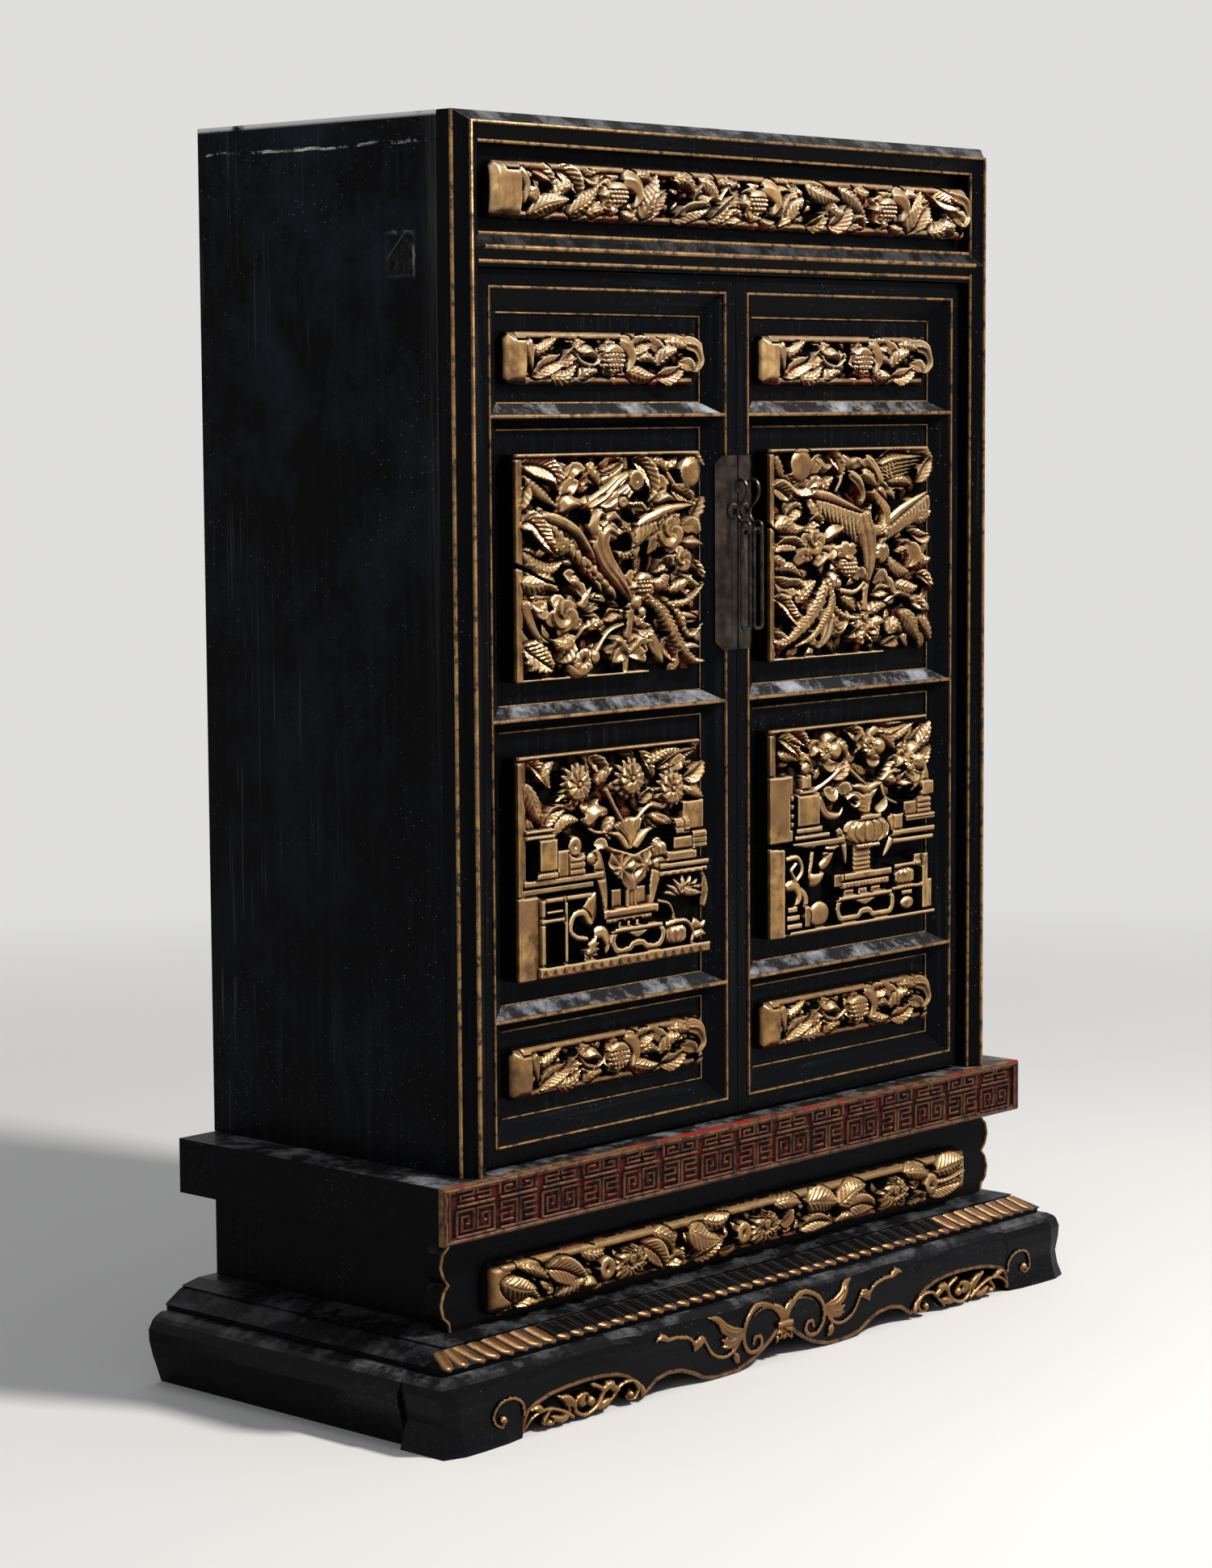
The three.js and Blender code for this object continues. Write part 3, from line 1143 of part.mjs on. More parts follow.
addPair('lock_plate', 'lock_metal', lockPlate());
addPair('lock_hook', 'lock_metal', lockHook());
addPair('lock_pull', 'lock_metal', lockPull());

add('slab', 'lacquer', slab());
add('fret_frieze', 'red_gilt', fretFrieze());
add('waist_front', 'lacquer', waistFront());
addPair('waist_side', 'lacquer', box(
  [-halfWidth, front + waistSetback + waistBoardThick + seatGap, ledgeTop + seatGap],
  [-halfWidth + waistSideThick, back, slabBottom - seatGap],
));
add('waist_plaque', 'gilt', plaque(
  [0, front + waistSetback - seatGap, ledgeTop + waistHeight / 2 - waistPlaqueDrop],
  [2 * (halfWidth + waistReach), waistHeight],
  waistPlaqueSize,
));
add('petal_moulding', 'lacquer', petalMoulding);
addPair('side_moulding', 'lacquer', leftMoulding);
add('front_apron', 'lacquer', frontApron());
addPair('side_apron', 'lacquer', sideApron());
const standBackHalf = halfWidth - waistSideThick - seatGap;
add('stand_back', 'lacquer', box(
  [-standBackHalf, back - standBackThick, 0],
  [standBackHalf, back, slabBottom - seatGap],
));

const part = new THREE.Group();
part.name = 'shrine';
for (const { name, slot, solid } of pieces) {
  const geometry = new THREE.BufferGeometry();
  const corners = solid.faces.flat().flatMap((i) => solid.points[i]);
  geometry.setAttribute('position', new THREE.Float32BufferAttribute(corners, 3));
  geometry.computeVertexNormals();
  const mesh = new THREE.Mesh(geometry, new THREE.MeshStandardMaterial({ color: slots[slot] }));
  mesh.name = name;
  part.add(mesh);
}
export default part;
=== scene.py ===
"""Looks for the two-door household shrine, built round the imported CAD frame."""
import itertools
import math
from functools import partialmethod

import bpy
import numpy as np
from mathutils import Matrix, Vector
from mathutils.bvhtree import BVHTree


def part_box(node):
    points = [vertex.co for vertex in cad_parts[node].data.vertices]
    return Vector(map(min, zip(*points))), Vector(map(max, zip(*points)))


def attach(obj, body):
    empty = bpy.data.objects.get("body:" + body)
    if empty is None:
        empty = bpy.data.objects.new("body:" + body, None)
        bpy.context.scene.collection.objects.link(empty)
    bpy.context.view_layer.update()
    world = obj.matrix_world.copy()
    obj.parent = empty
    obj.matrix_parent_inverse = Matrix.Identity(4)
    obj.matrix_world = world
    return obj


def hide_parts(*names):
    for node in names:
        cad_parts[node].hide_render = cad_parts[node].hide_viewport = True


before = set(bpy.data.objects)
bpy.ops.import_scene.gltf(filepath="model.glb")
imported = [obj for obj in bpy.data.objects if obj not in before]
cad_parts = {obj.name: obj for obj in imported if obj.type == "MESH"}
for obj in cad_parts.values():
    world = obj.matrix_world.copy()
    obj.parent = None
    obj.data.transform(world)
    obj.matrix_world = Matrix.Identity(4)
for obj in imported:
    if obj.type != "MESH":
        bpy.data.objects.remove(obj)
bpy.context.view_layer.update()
MM = 0.001

# Lines of the joinery, in millimetres, where the gilding runs, and the radii of its mouldings.
POST_EDGE = (250.0, -90.0)
POST_RIDGE = (243.0, -99.0)
POST_INNER = (232.8, -93.4)
RIGHT_INNER = (234.0, -94.1)        # kept clear of the door's lines when it stands open
BODY_LOW, TOP_RIDGE, TOP_INNER, BODY_TOP = 151.4, 762.0, 751.8, 768.5
FRIEZE_LINES = (683.6, 691.5, 699.4)
DOOR_FACE, DOOR_FLOOR = -89.0, -80.0
ARRIS_OUT, ARRIS_MEET, ARRIS_LOW, ARRIS_HIGH = 220.0, 10.7, 163.8, 669.2
INNER_OUT, INNER_MEET = 205.6, 25.1
OPENINGS = ((178.2, 230.9), (246.3, 408.8), (424.2, 586.7), (602.1, 654.8))
RAIL_RIDGES = (238.6, 416.5, 594.4)
RIDGE_LINE, INNER_LINE, ARRIS_LINE, PANEL_LINE, SCALLOP_LINE = 1.35, 1.15, 1.2, 0.6, 0.9

GOLD_LIGHT = (0.50, 0.285, 0.090, 1)
GOLD_DARK = (0.12, 0.058, 0.019, 1)
GOLD_BROWN = (0.20, 0.095, 0.037, 1)
# Pale worn gold, which on the carving is also a painted highlight on the high edges and upward slopes.
GOLD_RUBBED_AND_LIT = (0.90, 0.66, 0.37, 1)
BOLE_RED = (0.13, 0.012, 0.008, 1)
# Near-black soot; on the carving's bare and low ground it is painted shade as well.
SOOT_AND_SHADE = (0.003, 0.0024, 0.002, 1)
# Painted shade: the near-black laid into the carving's recesses and under its forms.
GOLD_PAINTED_SHADE = (0.010, 0.0045, 0.0025, 1)
LACQUER_BLACK = (0.0016, 0.0018, 0.0024, 1)
# Blue-grey for streaks in the lacquer: worn places and a painted sheen.
LACQUER_RUBBED_AND_SHEEN = (0.009, 0.011, 0.015, 1)
# Blue-grey clouds on the side boards: clouding and a painted sheen.
LACQUER_CLOUD_AND_SHEEN = (0.011, 0.013, 0.020, 1)
LACQUER_BRUSHED = (0.045, 0.044, 0.043, 1)
LACQUER_SPECK = (0.11, 0.115, 0.125, 1)
LACQUER_SPOT = (0.36, 0.37, 0.40, 1)
SCRATCH = (0.06, 0.06, 0.066, 1)
BARE_GROUND = (0.80, 0.79, 0.76, 1)
DUST = (0.20, 0.20, 0.21, 1)
# Pale blue-grey on the rails' upward slopes: dust and a painted sheen.
LEDGE_DUST_AND_SHEEN = (0.38, 0.39, 0.43, 1)
PATCH_DARK, PATCH_LIGHT = (0.003, 0.003, 0.003, 1), (0.024, 0.022, 0.021, 1)
PATCH_GASH, PATCH_EDGE = (0.08, 0.085, 0.10, 1), (0.22, 0.215, 0.205, 1)
CRACK_DARK, CRACK_LIP = (0.001, 0.001, 0.001, 1), (0.10, 0.07, 0.05, 1)
FRET_RED, FRET_SOIL = (0.075, 0.008, 0.006, 1), (0.014, 0.004, 0.003, 1)
FRET_BRIGHT = (0.26, 0.020, 0.011, 1)
FRET_BROWN, FRET_BROWN_DARK = (0.19, 0.105, 0.042, 1), (0.05, 0.02, 0.012, 1)
BRONZE_DARK, BRONZE_LIGHT = (0.017, 0.012, 0.010, 1), (0.062, 0.044, 0.033, 1)
BRONZE_WORN = (0.12, 0.098, 0.082, 1)
IRON_DARK, IRON_LIGHT = (0.006, 0.005, 0.0045, 1), (0.035, 0.030, 0.027, 1)
FLOOR_PALE = (0.72, 0.715, 0.70, 1)

# Places in metres that the finishes need.
SIDE_TOP = 0.7688
PATCH_AT, PATCH_HALF = (-0.0475, 0.688), (0.0115, 0.0125)
FRET_FIELD = (0.1198, 0.1478, 0.2738)     # foot, top and half width of the sunk red field

# How the brush marks are stretched: small along the grain, large across it.
GRAIN_UP, GRAIN_ACROSS, GRAIN_SIDE = (260, 260, 9), (9, 260, 260), (260, 120, 7)
GRAIN_APRON, GRAIN_BRUSHED, GRAIN_SCRATCH = (12, 200, 200), (260, 420, 9), (1, 420, 9)


# Finishes

class Finish:
    """A material, with short words for the nodes that its pattern needs."""

    def __init__(self, name):
        self.material = bpy.data.materials.new(name)
        self.material.use_nodes = True
        self.tree = self.material.node_tree
        self.shader = self.tree.nodes["Principled BSDF"]
        self.where = self.add("ShaderNodeTexCoord").outputs["Object"]

    def add(self, kind, **sets):
        node = self.tree.nodes.new(kind)
        for key, value in sets.items():
            setattr(node, key, value)
        return node

    def join(self, source, socket):
        if hasattr(source, "is_output"):
            self.tree.links.new(source, socket)
        else:
            socket.default_value = source

    def stretched(self, scale):
        node = self.add("ShaderNodeMapping")
        self.join(self.where, node.inputs["Vector"])
        node.inputs["Scale"].default_value = scale
        return node.outputs["Vector"]

    def noise(self, scale, detail=4.0, rough=0.55, stretch=None):
        node = self.add("ShaderNodeTexNoise")
        self.join(self.stretched(stretch) if stretch else self.where, node.inputs["Vector"])
        node.inputs["Scale"].default_value = scale
        node.inputs["Detail"].default_value = detail
        node.inputs["Roughness"].default_value = rough
        return node.outputs["Fac"]

    def cloudy(self, low, high, *noise):
        """Noise that is 0 under the low value and 1 over the high one."""
        return self.ramp(self.noise(*noise), low, high)

    def specks(self, scale):
        node = self.add("ShaderNodeTexVoronoi")
        self.join(self.where, node.inputs["Vector"])
        node.inputs["Scale"].default_value = scale
        return node.outputs["Distance"]

    def ramp(self, value, low, high, at_low=0.0, at_high=1.0):
        node = self.add("ShaderNodeMapRange", clamp=True)
        self.join(value, node.inputs["Value"])
        keys = ("From Min", "From Max", "To Min", "To Max")
        for key, number in zip(keys, (low, high, at_low, at_high)):
            node.inputs[key].default_value = number
        return node.outputs["Result"]

    def sum(self, kind, a, b=0.0):
        node = self.add("ShaderNodeMath", operation=kind)
        self.join(a, node.inputs[0])
        self.join(b, node.inputs[1])
        return node.outputs[0]

    times = partialmethod(sum, "MULTIPLY")
    plus = partialmethod(sum, "ADD")
    less = partialmethod(sum, "SUBTRACT")
    most = partialmethod(sum, "MAXIMUM")
    size = partialmethod(sum, "ABSOLUTE")

    def mix(self, share, a, b):
        node = self.add("ShaderNodeMix", data_type="RGBA")
        self.join(share, node.inputs["Factor"])
        self.join(a, node.inputs["A"])
        self.join(b, node.inputs["B"])
        return node.outputs["Result"]

    def painted(self, name):
        """A value kept on the mesh, point by point."""
        return self.add("ShaderNodeAttribute", attribute_name=name).outputs["Fac"]

    def height_of(self, axis):
        node = self.add("ShaderNodeSeparateXYZ")
        self.join(self.where, node.inputs[0])
        return node.outputs[axis]

    def facing(self, axis):
        node = self.add("ShaderNodeSeparateXYZ")
        self.join(self.add("ShaderNodeNewGeometry").outputs["Normal"], node.inputs[0])
        return node.outputs[axis]

    def bumped(self, *layers):
        """Bumps laid over each other: (height, depth in metres, strength)."""
        under = None
        for height, depth, strength in layers:
            node = self.add("ShaderNodeBump")
            node.inputs["Strength"].default_value = strength
            node.inputs["Distance"].default_value = depth
            self.join(height, node.inputs["Height"])
            if under is not None:
                self.join(under, node.inputs["Normal"])
            under = node.outputs["Normal"]
        self.join(under, self.shader.inputs["Normal"])

    def done(self, colour, metal, rough, coat=0.0):
        self.join(colour, self.shader.inputs["Base Color"])
        self.join(metal, self.shader.inputs["Metallic"])
        self.join(rough, self.shader.inputs["Roughness"])
        self.shader.inputs["Coat Weight"].default_value = coat
        self.shader.inputs["Coat Roughness"].default_value = 0.16
        return self.material


def side_marks(f, colour):
    """What time left on the side boards: blue-grey clouds, stronger towards the top, which are also a
    painted sheen, scratches, chips under the top and a mended patch.
    """
    level, deep = f.height_of("Z"), f.height_of("Y")
    # Painted sheen with clouding: blue-grey clouds that grow stronger towards the top.
    clouds = f.times(f.cloudy(0.46, 0.62, 12.0, 9.0, 0.76), f.ramp(level, 0.3, 0.72, 0.3, 1.0))
    colour = f.mix(clouds, colour, LACQUER_CLOUD_AND_SHEEN)
    spots = f.times(f.ramp(f.specks(230.0), 0.13, 0.03), f.cloudy(0.47, 0.62, 9.0, 6.0))
    colour = f.mix(f.times(spots, 0.5), colour, LACQUER_SPOT)
    brushed = f.times(f.ramp(deep, -0.064, -0.078), f.ramp(level, 0.34, 0.70, 0.0, 0.9))
    brushed = f.times(brushed, f.cloudy(0.40, 0.62, 1.0, 5.0, 0.62, GRAIN_BRUSHED))
    colour = f.mix(brushed, colour, LACQUER_BRUSHED)
    scratch = f.cloudy(0.62, 0.70, 1.0, 2.0, 0.5, GRAIN_SCRATCH)
    scratch = f.times(scratch, f.cloudy(0.46, 0.58, 11.0, 3.0))
    colour = f.mix(f.times(scratch, f.ramp(deep, 0.0, 0.12, 0.12, 0.6)), colour, SCRATCH)
    worn = f.times(f.ramp(level, SIDE_TOP - 0.0030, SIDE_TOP - 0.0012), f.cloudy(0.36, 0.46, 40.0, 6.0))
    worn = f.times(worn, f.ramp(f.facing("Z"), 0.4, 0.7, 1.0, 0.0))
    wander = f.times(f.less(f.noise(30.0, 5.0), 0.5), 0.007)
    chips = f.ramp(f.size(f.less(f.plus(level, wander), SIDE_TOP - 0.0165)), 0.0010, 0.0005)
    chips = f.times(chips, f.cloudy(0.50, 0.60, 22.0, 7.0, 0.75))
    colour = f.mix(f.most(worn, chips), colour, BARE_GROUND)
    across, along = (f.size(f.less(place, at)) for place, at in zip((deep, level), PATCH_AT))
    rim = f.most(f.less(across, PATCH_HALF[0]), f.less(along, PATCH_HALF[1]))
    rim = f.plus(rim, f.times(f.less(f.noise(170.0, 4.0), 0.5), 0.003))
    patch, slope = f.ramp(rim, 0.0003, -0.0003), f.plus(deep, f.less(level, 0.645))
    grain = f.cloudy(0.42, 0.62, 260.0, 6.0, 0.7)
    wood = f.mix(grain, PATCH_DARK, PATCH_LIGHT)
    colour = f.mix(f.times(patch, f.ramp(slope, 0.002, -0.001)), colour, wood)
    gash = f.times(patch, f.ramp(f.size(f.plus(slope, -0.004)), 0.0012, 0.0006))
    colour = f.mix(f.times(gash, 0.5), colour, PATCH_GASH)
    edge = f.times(f.ramp(f.size(rim), 0.0013, 0.0005), f.cloudy(0.40, 0.56, 95.0, 5.0, 0.7))
    edge = f.times(edge, f.ramp(f.plus(deep, f.times(level, -0.7)), -0.525, -0.540, 0.12, 0.9))
    return f.mix(edge, colour, PATCH_EDGE)


def lacquer_finish(name="black_lacquer", grain=GRAIN_UP, marked=False, crack=None, sheen=0.0,
                   dusty=1.0, dust_and_sheen_colour=DUST):
    """Black lacquer, brushed along the board, with lighter blue-grey streaks that are wear and a painted
    sheen, and dusty where it looks up; on the ledges that dust is paler and bluer, a painted sheen as
    well.
    """
    f = Finish(name)
    streaks = f.noise(1.0, 5.0, 0.62, grain)
    clouds = f.noise(14.0, 4.0)
    grit = f.specks(240.0)
    fleck = f.noise(900.0, 2.0)
    speck = f.times(f.ramp(grit, 0.13, 0.06), f.ramp(clouds, 0.44, 0.6))
    # Lighter streaks along the grain: wear and a painted sheen.
    rubbed_and_lit = f.times(f.ramp(streaks, 0.52, 0.78), f.ramp(clouds, 0.40, 0.62, 0.15, 1.0))
    colour = f.mix(rubbed_and_lit, LACQUER_BLACK, LACQUER_RUBBED_AND_SHEEN)
    colour = f.mix(f.times(speck, 0.6), colour, LACQUER_SPECK)
    # Dust where the surface looks up; with the paler ledge colour it is a painted sheen as well.
    dust = f.ramp(f.facing("Z"), 0.55, 0.95)
    dust = f.times(dust, f.ramp(f.noise(34.0, 8.0, 0.74), 0.47, 0.66, 0.05 * dusty, dusty))
    colour = f.mix(dust, colour, dust_and_sheen_colour)
    if marked:
        colour = side_marks(f, colour)
    rough = f.ramp(streaks, 0.3, 0.75, 0.26, 0.46)
    rough = f.plus(rough, f.times(dust, 0.45))
    layers = [(streaks, 0.0006, 0.35), (fleck, 0.0002, 0.30)]
    if crack:
        level, start, end = crack
        path = f.times(f.less(f.noise(38.0, 3.0), 0.5), 0.012)
        gap = f.size(f.less(f.plus(f.height_of("Z"), path), level))
        line = f.times(f.ramp(gap, 0.0010, 0.0005), f.ramp(f.height_of("X"), start, end))
        colour = f.mix(f.times(f.ramp(gap, 0.0018, 0.0011), 0.22), colour, CRACK_LIP)
        colour = f.mix(line, colour, CRACK_DARK)
        layers.append((f.times(line, -1.0), 0.002, 1.0))
    f.bumped(*layers)
    f.shader.inputs["Specular IOR Level"].default_value = 0.03
    return f.done(colour, 0.0, rough, sheen)


def gilt_finish(name, light=GOLD_LIGHT, dark=GOLD_DARK, red=0.5, carved=True, rubbed_and_lit=GOLD_RUBBED_AND_LIT):
    """Old leaf over red bole. Carved, it turns pale on its high edges and upward slopes, worn there and
    given a painted highlight, and goes dark brown to black in its low parts and under its forms, which is
    painted shade with some soot.
    """
    f = Finish(name)
    patches = f.noise(95.0, 5.0, 0.62)
    grain = f.noise(1500.0, 3.0)
    broad = f.noise(26.0, 3.0)
    colour = f.mix(f.ramp(patches, 0.36, 0.66), dark, light)
    colour = f.mix(f.ramp(broad, 0.42, 0.60, 0.0, 0.75 if carved else 0.3), colour, GOLD_BROWN)
    chips = f.times(f.cloudy(0.56, 0.66, 210.0, 6.0, 0.7), red)
    if carved:
        hollow, leaf_laid = f.painted("hollow"), f.ramp(f.painted("gilt"), 0.80, 0.92)
        arris, deep = f.painted("arris"), f.ramp(hollow, 0.02, 0.72)
        # Painted highlight: pale gold where the arris value is high, on convex edges and upward slopes,
        # worn there as well.
        colour = f.mix(f.times(arris, 0.9), colour, rubbed_and_lit)
        # Painted shade: near-black where the hollow value is high, in recesses, on low parts and under
        # forms.
        colour = f.mix(f.times(deep, 0.98), colour, GOLD_PAINTED_SHADE)
        stain = f.times(f.cloudy(0.49, 0.60, 48.0, 4.0), f.ramp(hollow, 0.10, 0.45))
        chips = f.most(f.times(chips, 0.5), f.times(stain, 0.4))
        colour = f.mix(chips, colour, BOLE_RED)
        # Near-black where no leaf was laid and on the low ground near the back: soot and painted shade.
        colour = f.mix(leaf_laid, SOOT_AND_SHADE, colour)
        shown = f.times(leaf_laid, f.ramp(deep, 0.0, 0.9, 1.0, 0.0))
        metal = f.times(f.times(shown, 0.7), f.ramp(chips, 0.2, 0.7, 1.0, 0.1))
        f.join(f.plus(f.times(shown, 0.45), 0.03), f.shader.inputs["Specular IOR Level"])
        rough = f.plus(f.ramp(patches, 0.3, 0.7, 0.36, 0.21), f.times(hollow, 0.30))
    else:
        colour = f.mix(chips, colour, BOLE_RED)
        colour = f.mix(f.ramp(f.noise(150.0, 6.0, 0.7), 0.50, 0.60, 0.0, 0.85), colour, SOOT_AND_SHADE)
        metal = f.ramp(chips, 0.2, 0.6, 0.6, 0.05)
        rough = f.ramp(patches, 0.3, 0.7, 0.50, 0.34)
    f.bumped((patches, 0.0007, 0.35), (grain, 0.0002, 0.35))
    return f.done(colour, metal, rough)


def red_ground_finish():
    """The sunk red ground of the fret, soiled along its lines."""
    f = Finish("red_fret_ground")
    soil = f.noise(120.0, 5.0, 0.65)
    colour = f.mix(f.ramp(soil, 0.35, 0.60), FRET_RED, FRET_SOIL)
    level, across = f.height_of("Z"), f.size(f.height_of("X"))
    foot, top, half = FRET_FIELD
    rim = f.most(f.ramp(level, foot + 0.001, foot), f.ramp(level, top - 0.001, top))
    rim = f.most(rim, f.ramp(across, half, half + 0.001))
    brown = f.mix(f.ramp(soil, 0.40, 0.60), FRET_BROWN, FRET_BROWN_DARK)
    colour = f.mix(rim, colour, brown)
    bright = f.times(f.ramp(level, top, top + 0.0012), f.cloudy(0.50, 0.56, 24.0, 6.0, 0.65))
    colour = f.mix(bright, colour, FRET_BRIGHT)
    f.bumped((soil, 0.0006, 0.4))
    f.shader.inputs["Specular IOR Level"].default_value = 0.08
    return f.done(colour, 0.0, f.ramp(soil, 0.3, 0.7, 0.45, 0.66))


def bronze_finish():
    """Dark brown lock metal, handled bright on its high spots."""
    f = Finish("lock_bronze")
    age = f.noise(130.0, 6.0, 0.65)
    wear = f.noise(34.0, 4.0)
    colour = f.mix(f.ramp(age, 0.34, 0.68), BRONZE_DARK, BRONZE_LIGHT)
    colour = f.mix(f.ramp(wear, 0.54, 0.70, 0.0, 0.5), colour, BRONZE_WORN)
    f.bumped((age, 0.0005, 0.5), (f.noise(900.0, 2.0), 0.0002, 0.4))
    return f.done(colour, 0.85, f.ramp(age, 0.3, 0.7, 0.36, 0.58))


def iron_finish():
    """Hooks and pulls, black and smooth from handling."""
    f = Finish("black_lock_iron")
    age = f.noise(160.0, 5.0, 0.6)
    colour = f.mix(f.ramp(age, 0.40, 0.66), IRON_DARK, IRON_LIGHT)
    f.bumped((age, 0.0004, 0.4))
    return f.done(colour, 0.55, f.ramp(age, 0.3, 0.7, 0.20, 0.36))

class Relief:
    """A board carved in relief, kept as a height map in millimetres above its back."""

    def __init__(self, width, height, cell, floor):
        self.width, self.height, self.cell, self.floor = width, height, cell, floor
        self.u = np.linspace(0, width, int(round(width / cell)) + 1)
        self.v = np.linspace(0, height, int(round(height / cell)) + 1)
        self.h = np.full((len(self.v), len(self.u)), float(floor))
        self.gilt = np.zeros_like(self.h)

    def window(self, low_u, low_v, high_u, high_v):
        """The part of the board inside a box, and how far across and up its cells lie."""
        a, b = np.searchsorted(self.u, (low_u, high_u))
        c, d = np.searchsorted(self.v, (low_v, high_v))
        spot = slice(c, max(d, c)), slice(a, max(b, a))
        return spot, *np.meshgrid(self.u[spot[1]], self.v[spot[0]])

    def lay(self, spot, height, inside):
        """Lays a shape over what is there. The higher surface stays."""
        old = self.h[spot]
        over = inside & (height > old)
        old[over] = height[over]
        self.gilt[spot][over] = 1

    def undercut(self, spot, rim, level):
        """Cuts the ground away beside a shape, so that its outline reads."""
        old = self.h[spot]
        cut = rim & (old > level) & (old < level + CUT_REACH)
        old[cut] = np.maximum(level, self.floor)[cut]

    def follow(self, points, reach):
        """For each cell near a smooth path: its share along, its signed distance aside, the length."""
        path = smooth_path(points)
        steps = np.hypot(*np.diff(path, axis=0).T)
        run = np.concatenate([[0], np.cumsum(steps)])
        spot, u, v = self.window(*(path.min(0) - reach), *(path.max(0) + reach))
        if u.size == 0:
            return spot, u, u, run[-1]
        gap = (u[..., None] - path[:, 0]) ** 2 + (v[..., None] - path[:, 1]) ** 2
        near = gap.argmin(-1)
        tangent = np.gradient(path, axis=0)
        tangent /= np.hypot(*tangent.T)[:, None] + 1e-9
        du, dv = u - path[near, 0], v - path[near, 1]
        tu, tv = tangent[near, 0], tangent[near, 1]
        ahead = du * tu + dv * tv
        aside = dv * tu - du * tv
        return spot, (run[near] + ahead) / run[-1], aside, run[-1]

    def ribbon(self, points, width, rise, outline="leaf", crown=1.5, groove=0.0, vein=0.0,
               pitch=2.4, slant=0.9, teeth=0, ribs=0, twist=0.0, fold=False, cut=True):
        """A leaf, stem, blade or plume along a path. rise is its height at start, middle and end."""
        spot, share, aside, length = self.follow(points, width + 2)
        if share.size == 0:
            return
        along = np.clip(share, 0, 1)
        half = width * OUTLINES[outline](along)
        if teeth:
            half = half * (1 - 0.3 * np.mod(along * teeth, 1))
        across = np.clip(np.abs(aside) / np.maximum(half, 0.05), 0, 2)
        start, middle, end = rise
        base = start * (1 - along) * (1 - 2 * along) + middle * 4 * along * (1 - along)
        base = base + end * along * (2 * along - 1)
        if fold:
            body = base - crown * (1 - across)
        else:
            body = base - crown * (0.8 * across + 0.2 * across ** 4)
        body = body + twist * aside / max(width, 0.1)
        if groove:
            body = body - groove * np.exp(-(aside / 0.6) ** 2)
        if vein:
            wave = np.mod((along * length - slant * np.abs(aside)) / pitch, 1)
            body = body + vein * (np.abs(wave * 2 - 1) - 0.5) * np.clip(across * 4, 0, 1)
        if ribs:
            body = body + 0.7 * np.cos(across * np.sign(aside) * np.pi * ribs)
        inside = (across < 1) & (share > -0.004) & (share < 1.004)
        if outline in ("stem", "band"):
            inside = across < 1
            inside &= (share > -width / length) & (share < 1 + width / length)
            past = np.maximum(np.maximum(-share, share - 1), 0) * length
            inside &= np.hypot(past, aside) < np.maximum(half, 0.3)
        if cut:
            near = (np.abs(aside) < half + OUTLINE_WIDTH) & (share > -0.02) & (share < 1.02)
            self.undercut(spot, near & ~inside, base - crown - OUTLINE_CUT)
        self.lay(spot, body, inside)

    def disc(self, u, v, ru, rv, top, surface, edge=None):
        """A round shape; surface and edge give height and outline from polar coordinates."""
        reach = max(ru, rv) * 1.25 + 2
        spot, gu, gv = self.window(u - reach, v - reach, u + reach, v + reach)
        if gu.size == 0:
            return
        a, b = (gu - u) / ru, (gv - v) / rv
        rho, angle = np.hypot(a, b), np.arctan2(b, a)
        limit = edge(angle) if edge else np.ones_like(rho)
        inside = rho < limit
        near = rho < limit + OUTLINE_WIDTH / min(ru, rv)
        self.undercut(spot, near & ~inside, np.full_like(rho, top - 3.0))
        self.lay(spot, top + surface(rho / limit, angle, a, b), inside)

    def ball(self, u, v, r, top, drop=2.5, squash=1.0):
        """A smooth dome."""
        self.disc(u, v, r, r * squash, top, lambda p, t, a, b: -drop * p ** 2.5)

    def seeds(self, u, v, ru, rv, top, pitch=2.9):
        """A seed head: a low dome whose lower part is set with rows of beads."""
        def surface(p, t, a, b):
            row = b * rv / pitch
            column = a * ru / pitch + 0.5 * np.mod(np.floor(row), 2)
            off = np.hypot(np.mod(column, 1) - 0.5, np.mod(row, 1) - 0.5)
            bead = 1.7 * np.sqrt(np.maximum(1 - (off / 0.48) ** 2, 0))
            return -2.4 * p ** 3 + np.where(b < 0.4, bead - 1.7, 0)
        self.disc(u, v, ru, rv, top, surface)

    def hole(self, u, v, ru, rv):
        """A deep hollow cut through to the back."""
        gu, gv = np.meshgrid(self.u, self.v)
        inside = np.hypot((gu - u) / ru, (gv - v) / rv) < 1
        self.h[inside] = self.floor
        self.gilt[inside] = 0

    def petals(self, u, v, ru, rv, top, count, turn, cup=1.2, drop=2.2, notch=0.28, part=1.4):
        """A ring of petals, each hollow along its middle and divided from the next."""
        def lobe(t):
            return np.mod((t - turn) / (2 * np.pi) * count, 1) * 2 - 1
        def surface(p, t, a, b):
            side = np.abs(lobe(t))
            return cup * (side ** 2 - 0.5) * p - part * side ** 8 - drop * (1 - p) * 0.4 - drop * p ** 4
        self.disc(u, v, ru, rv, top, surface, edge=lambda t: 1 - notch * np.abs(lobe(t)) ** 2.2)

    def peony(self, u, v, r, top, turn):
        """Lobed outer petals round a heart whose petals turn in a whirl."""
        r = r * 1.2
        self.petals(u, v, r, r * 0.94, top - 2.6, 5, turn, 2.6, 1.4, 0.34, 2.4)
        def whirl(p, t, a, b):
            turns = np.mod((t - turn) / (2 * np.pi) * 3 + p * 1.2, 1)
            return 2.6 * turns ** 1.5 * np.clip(p * 2, 0.4, 1) - 2.2 - 1.4 * p ** 4
        self.disc(u, v, r * 0.68, r * 0.66, top, whirl)

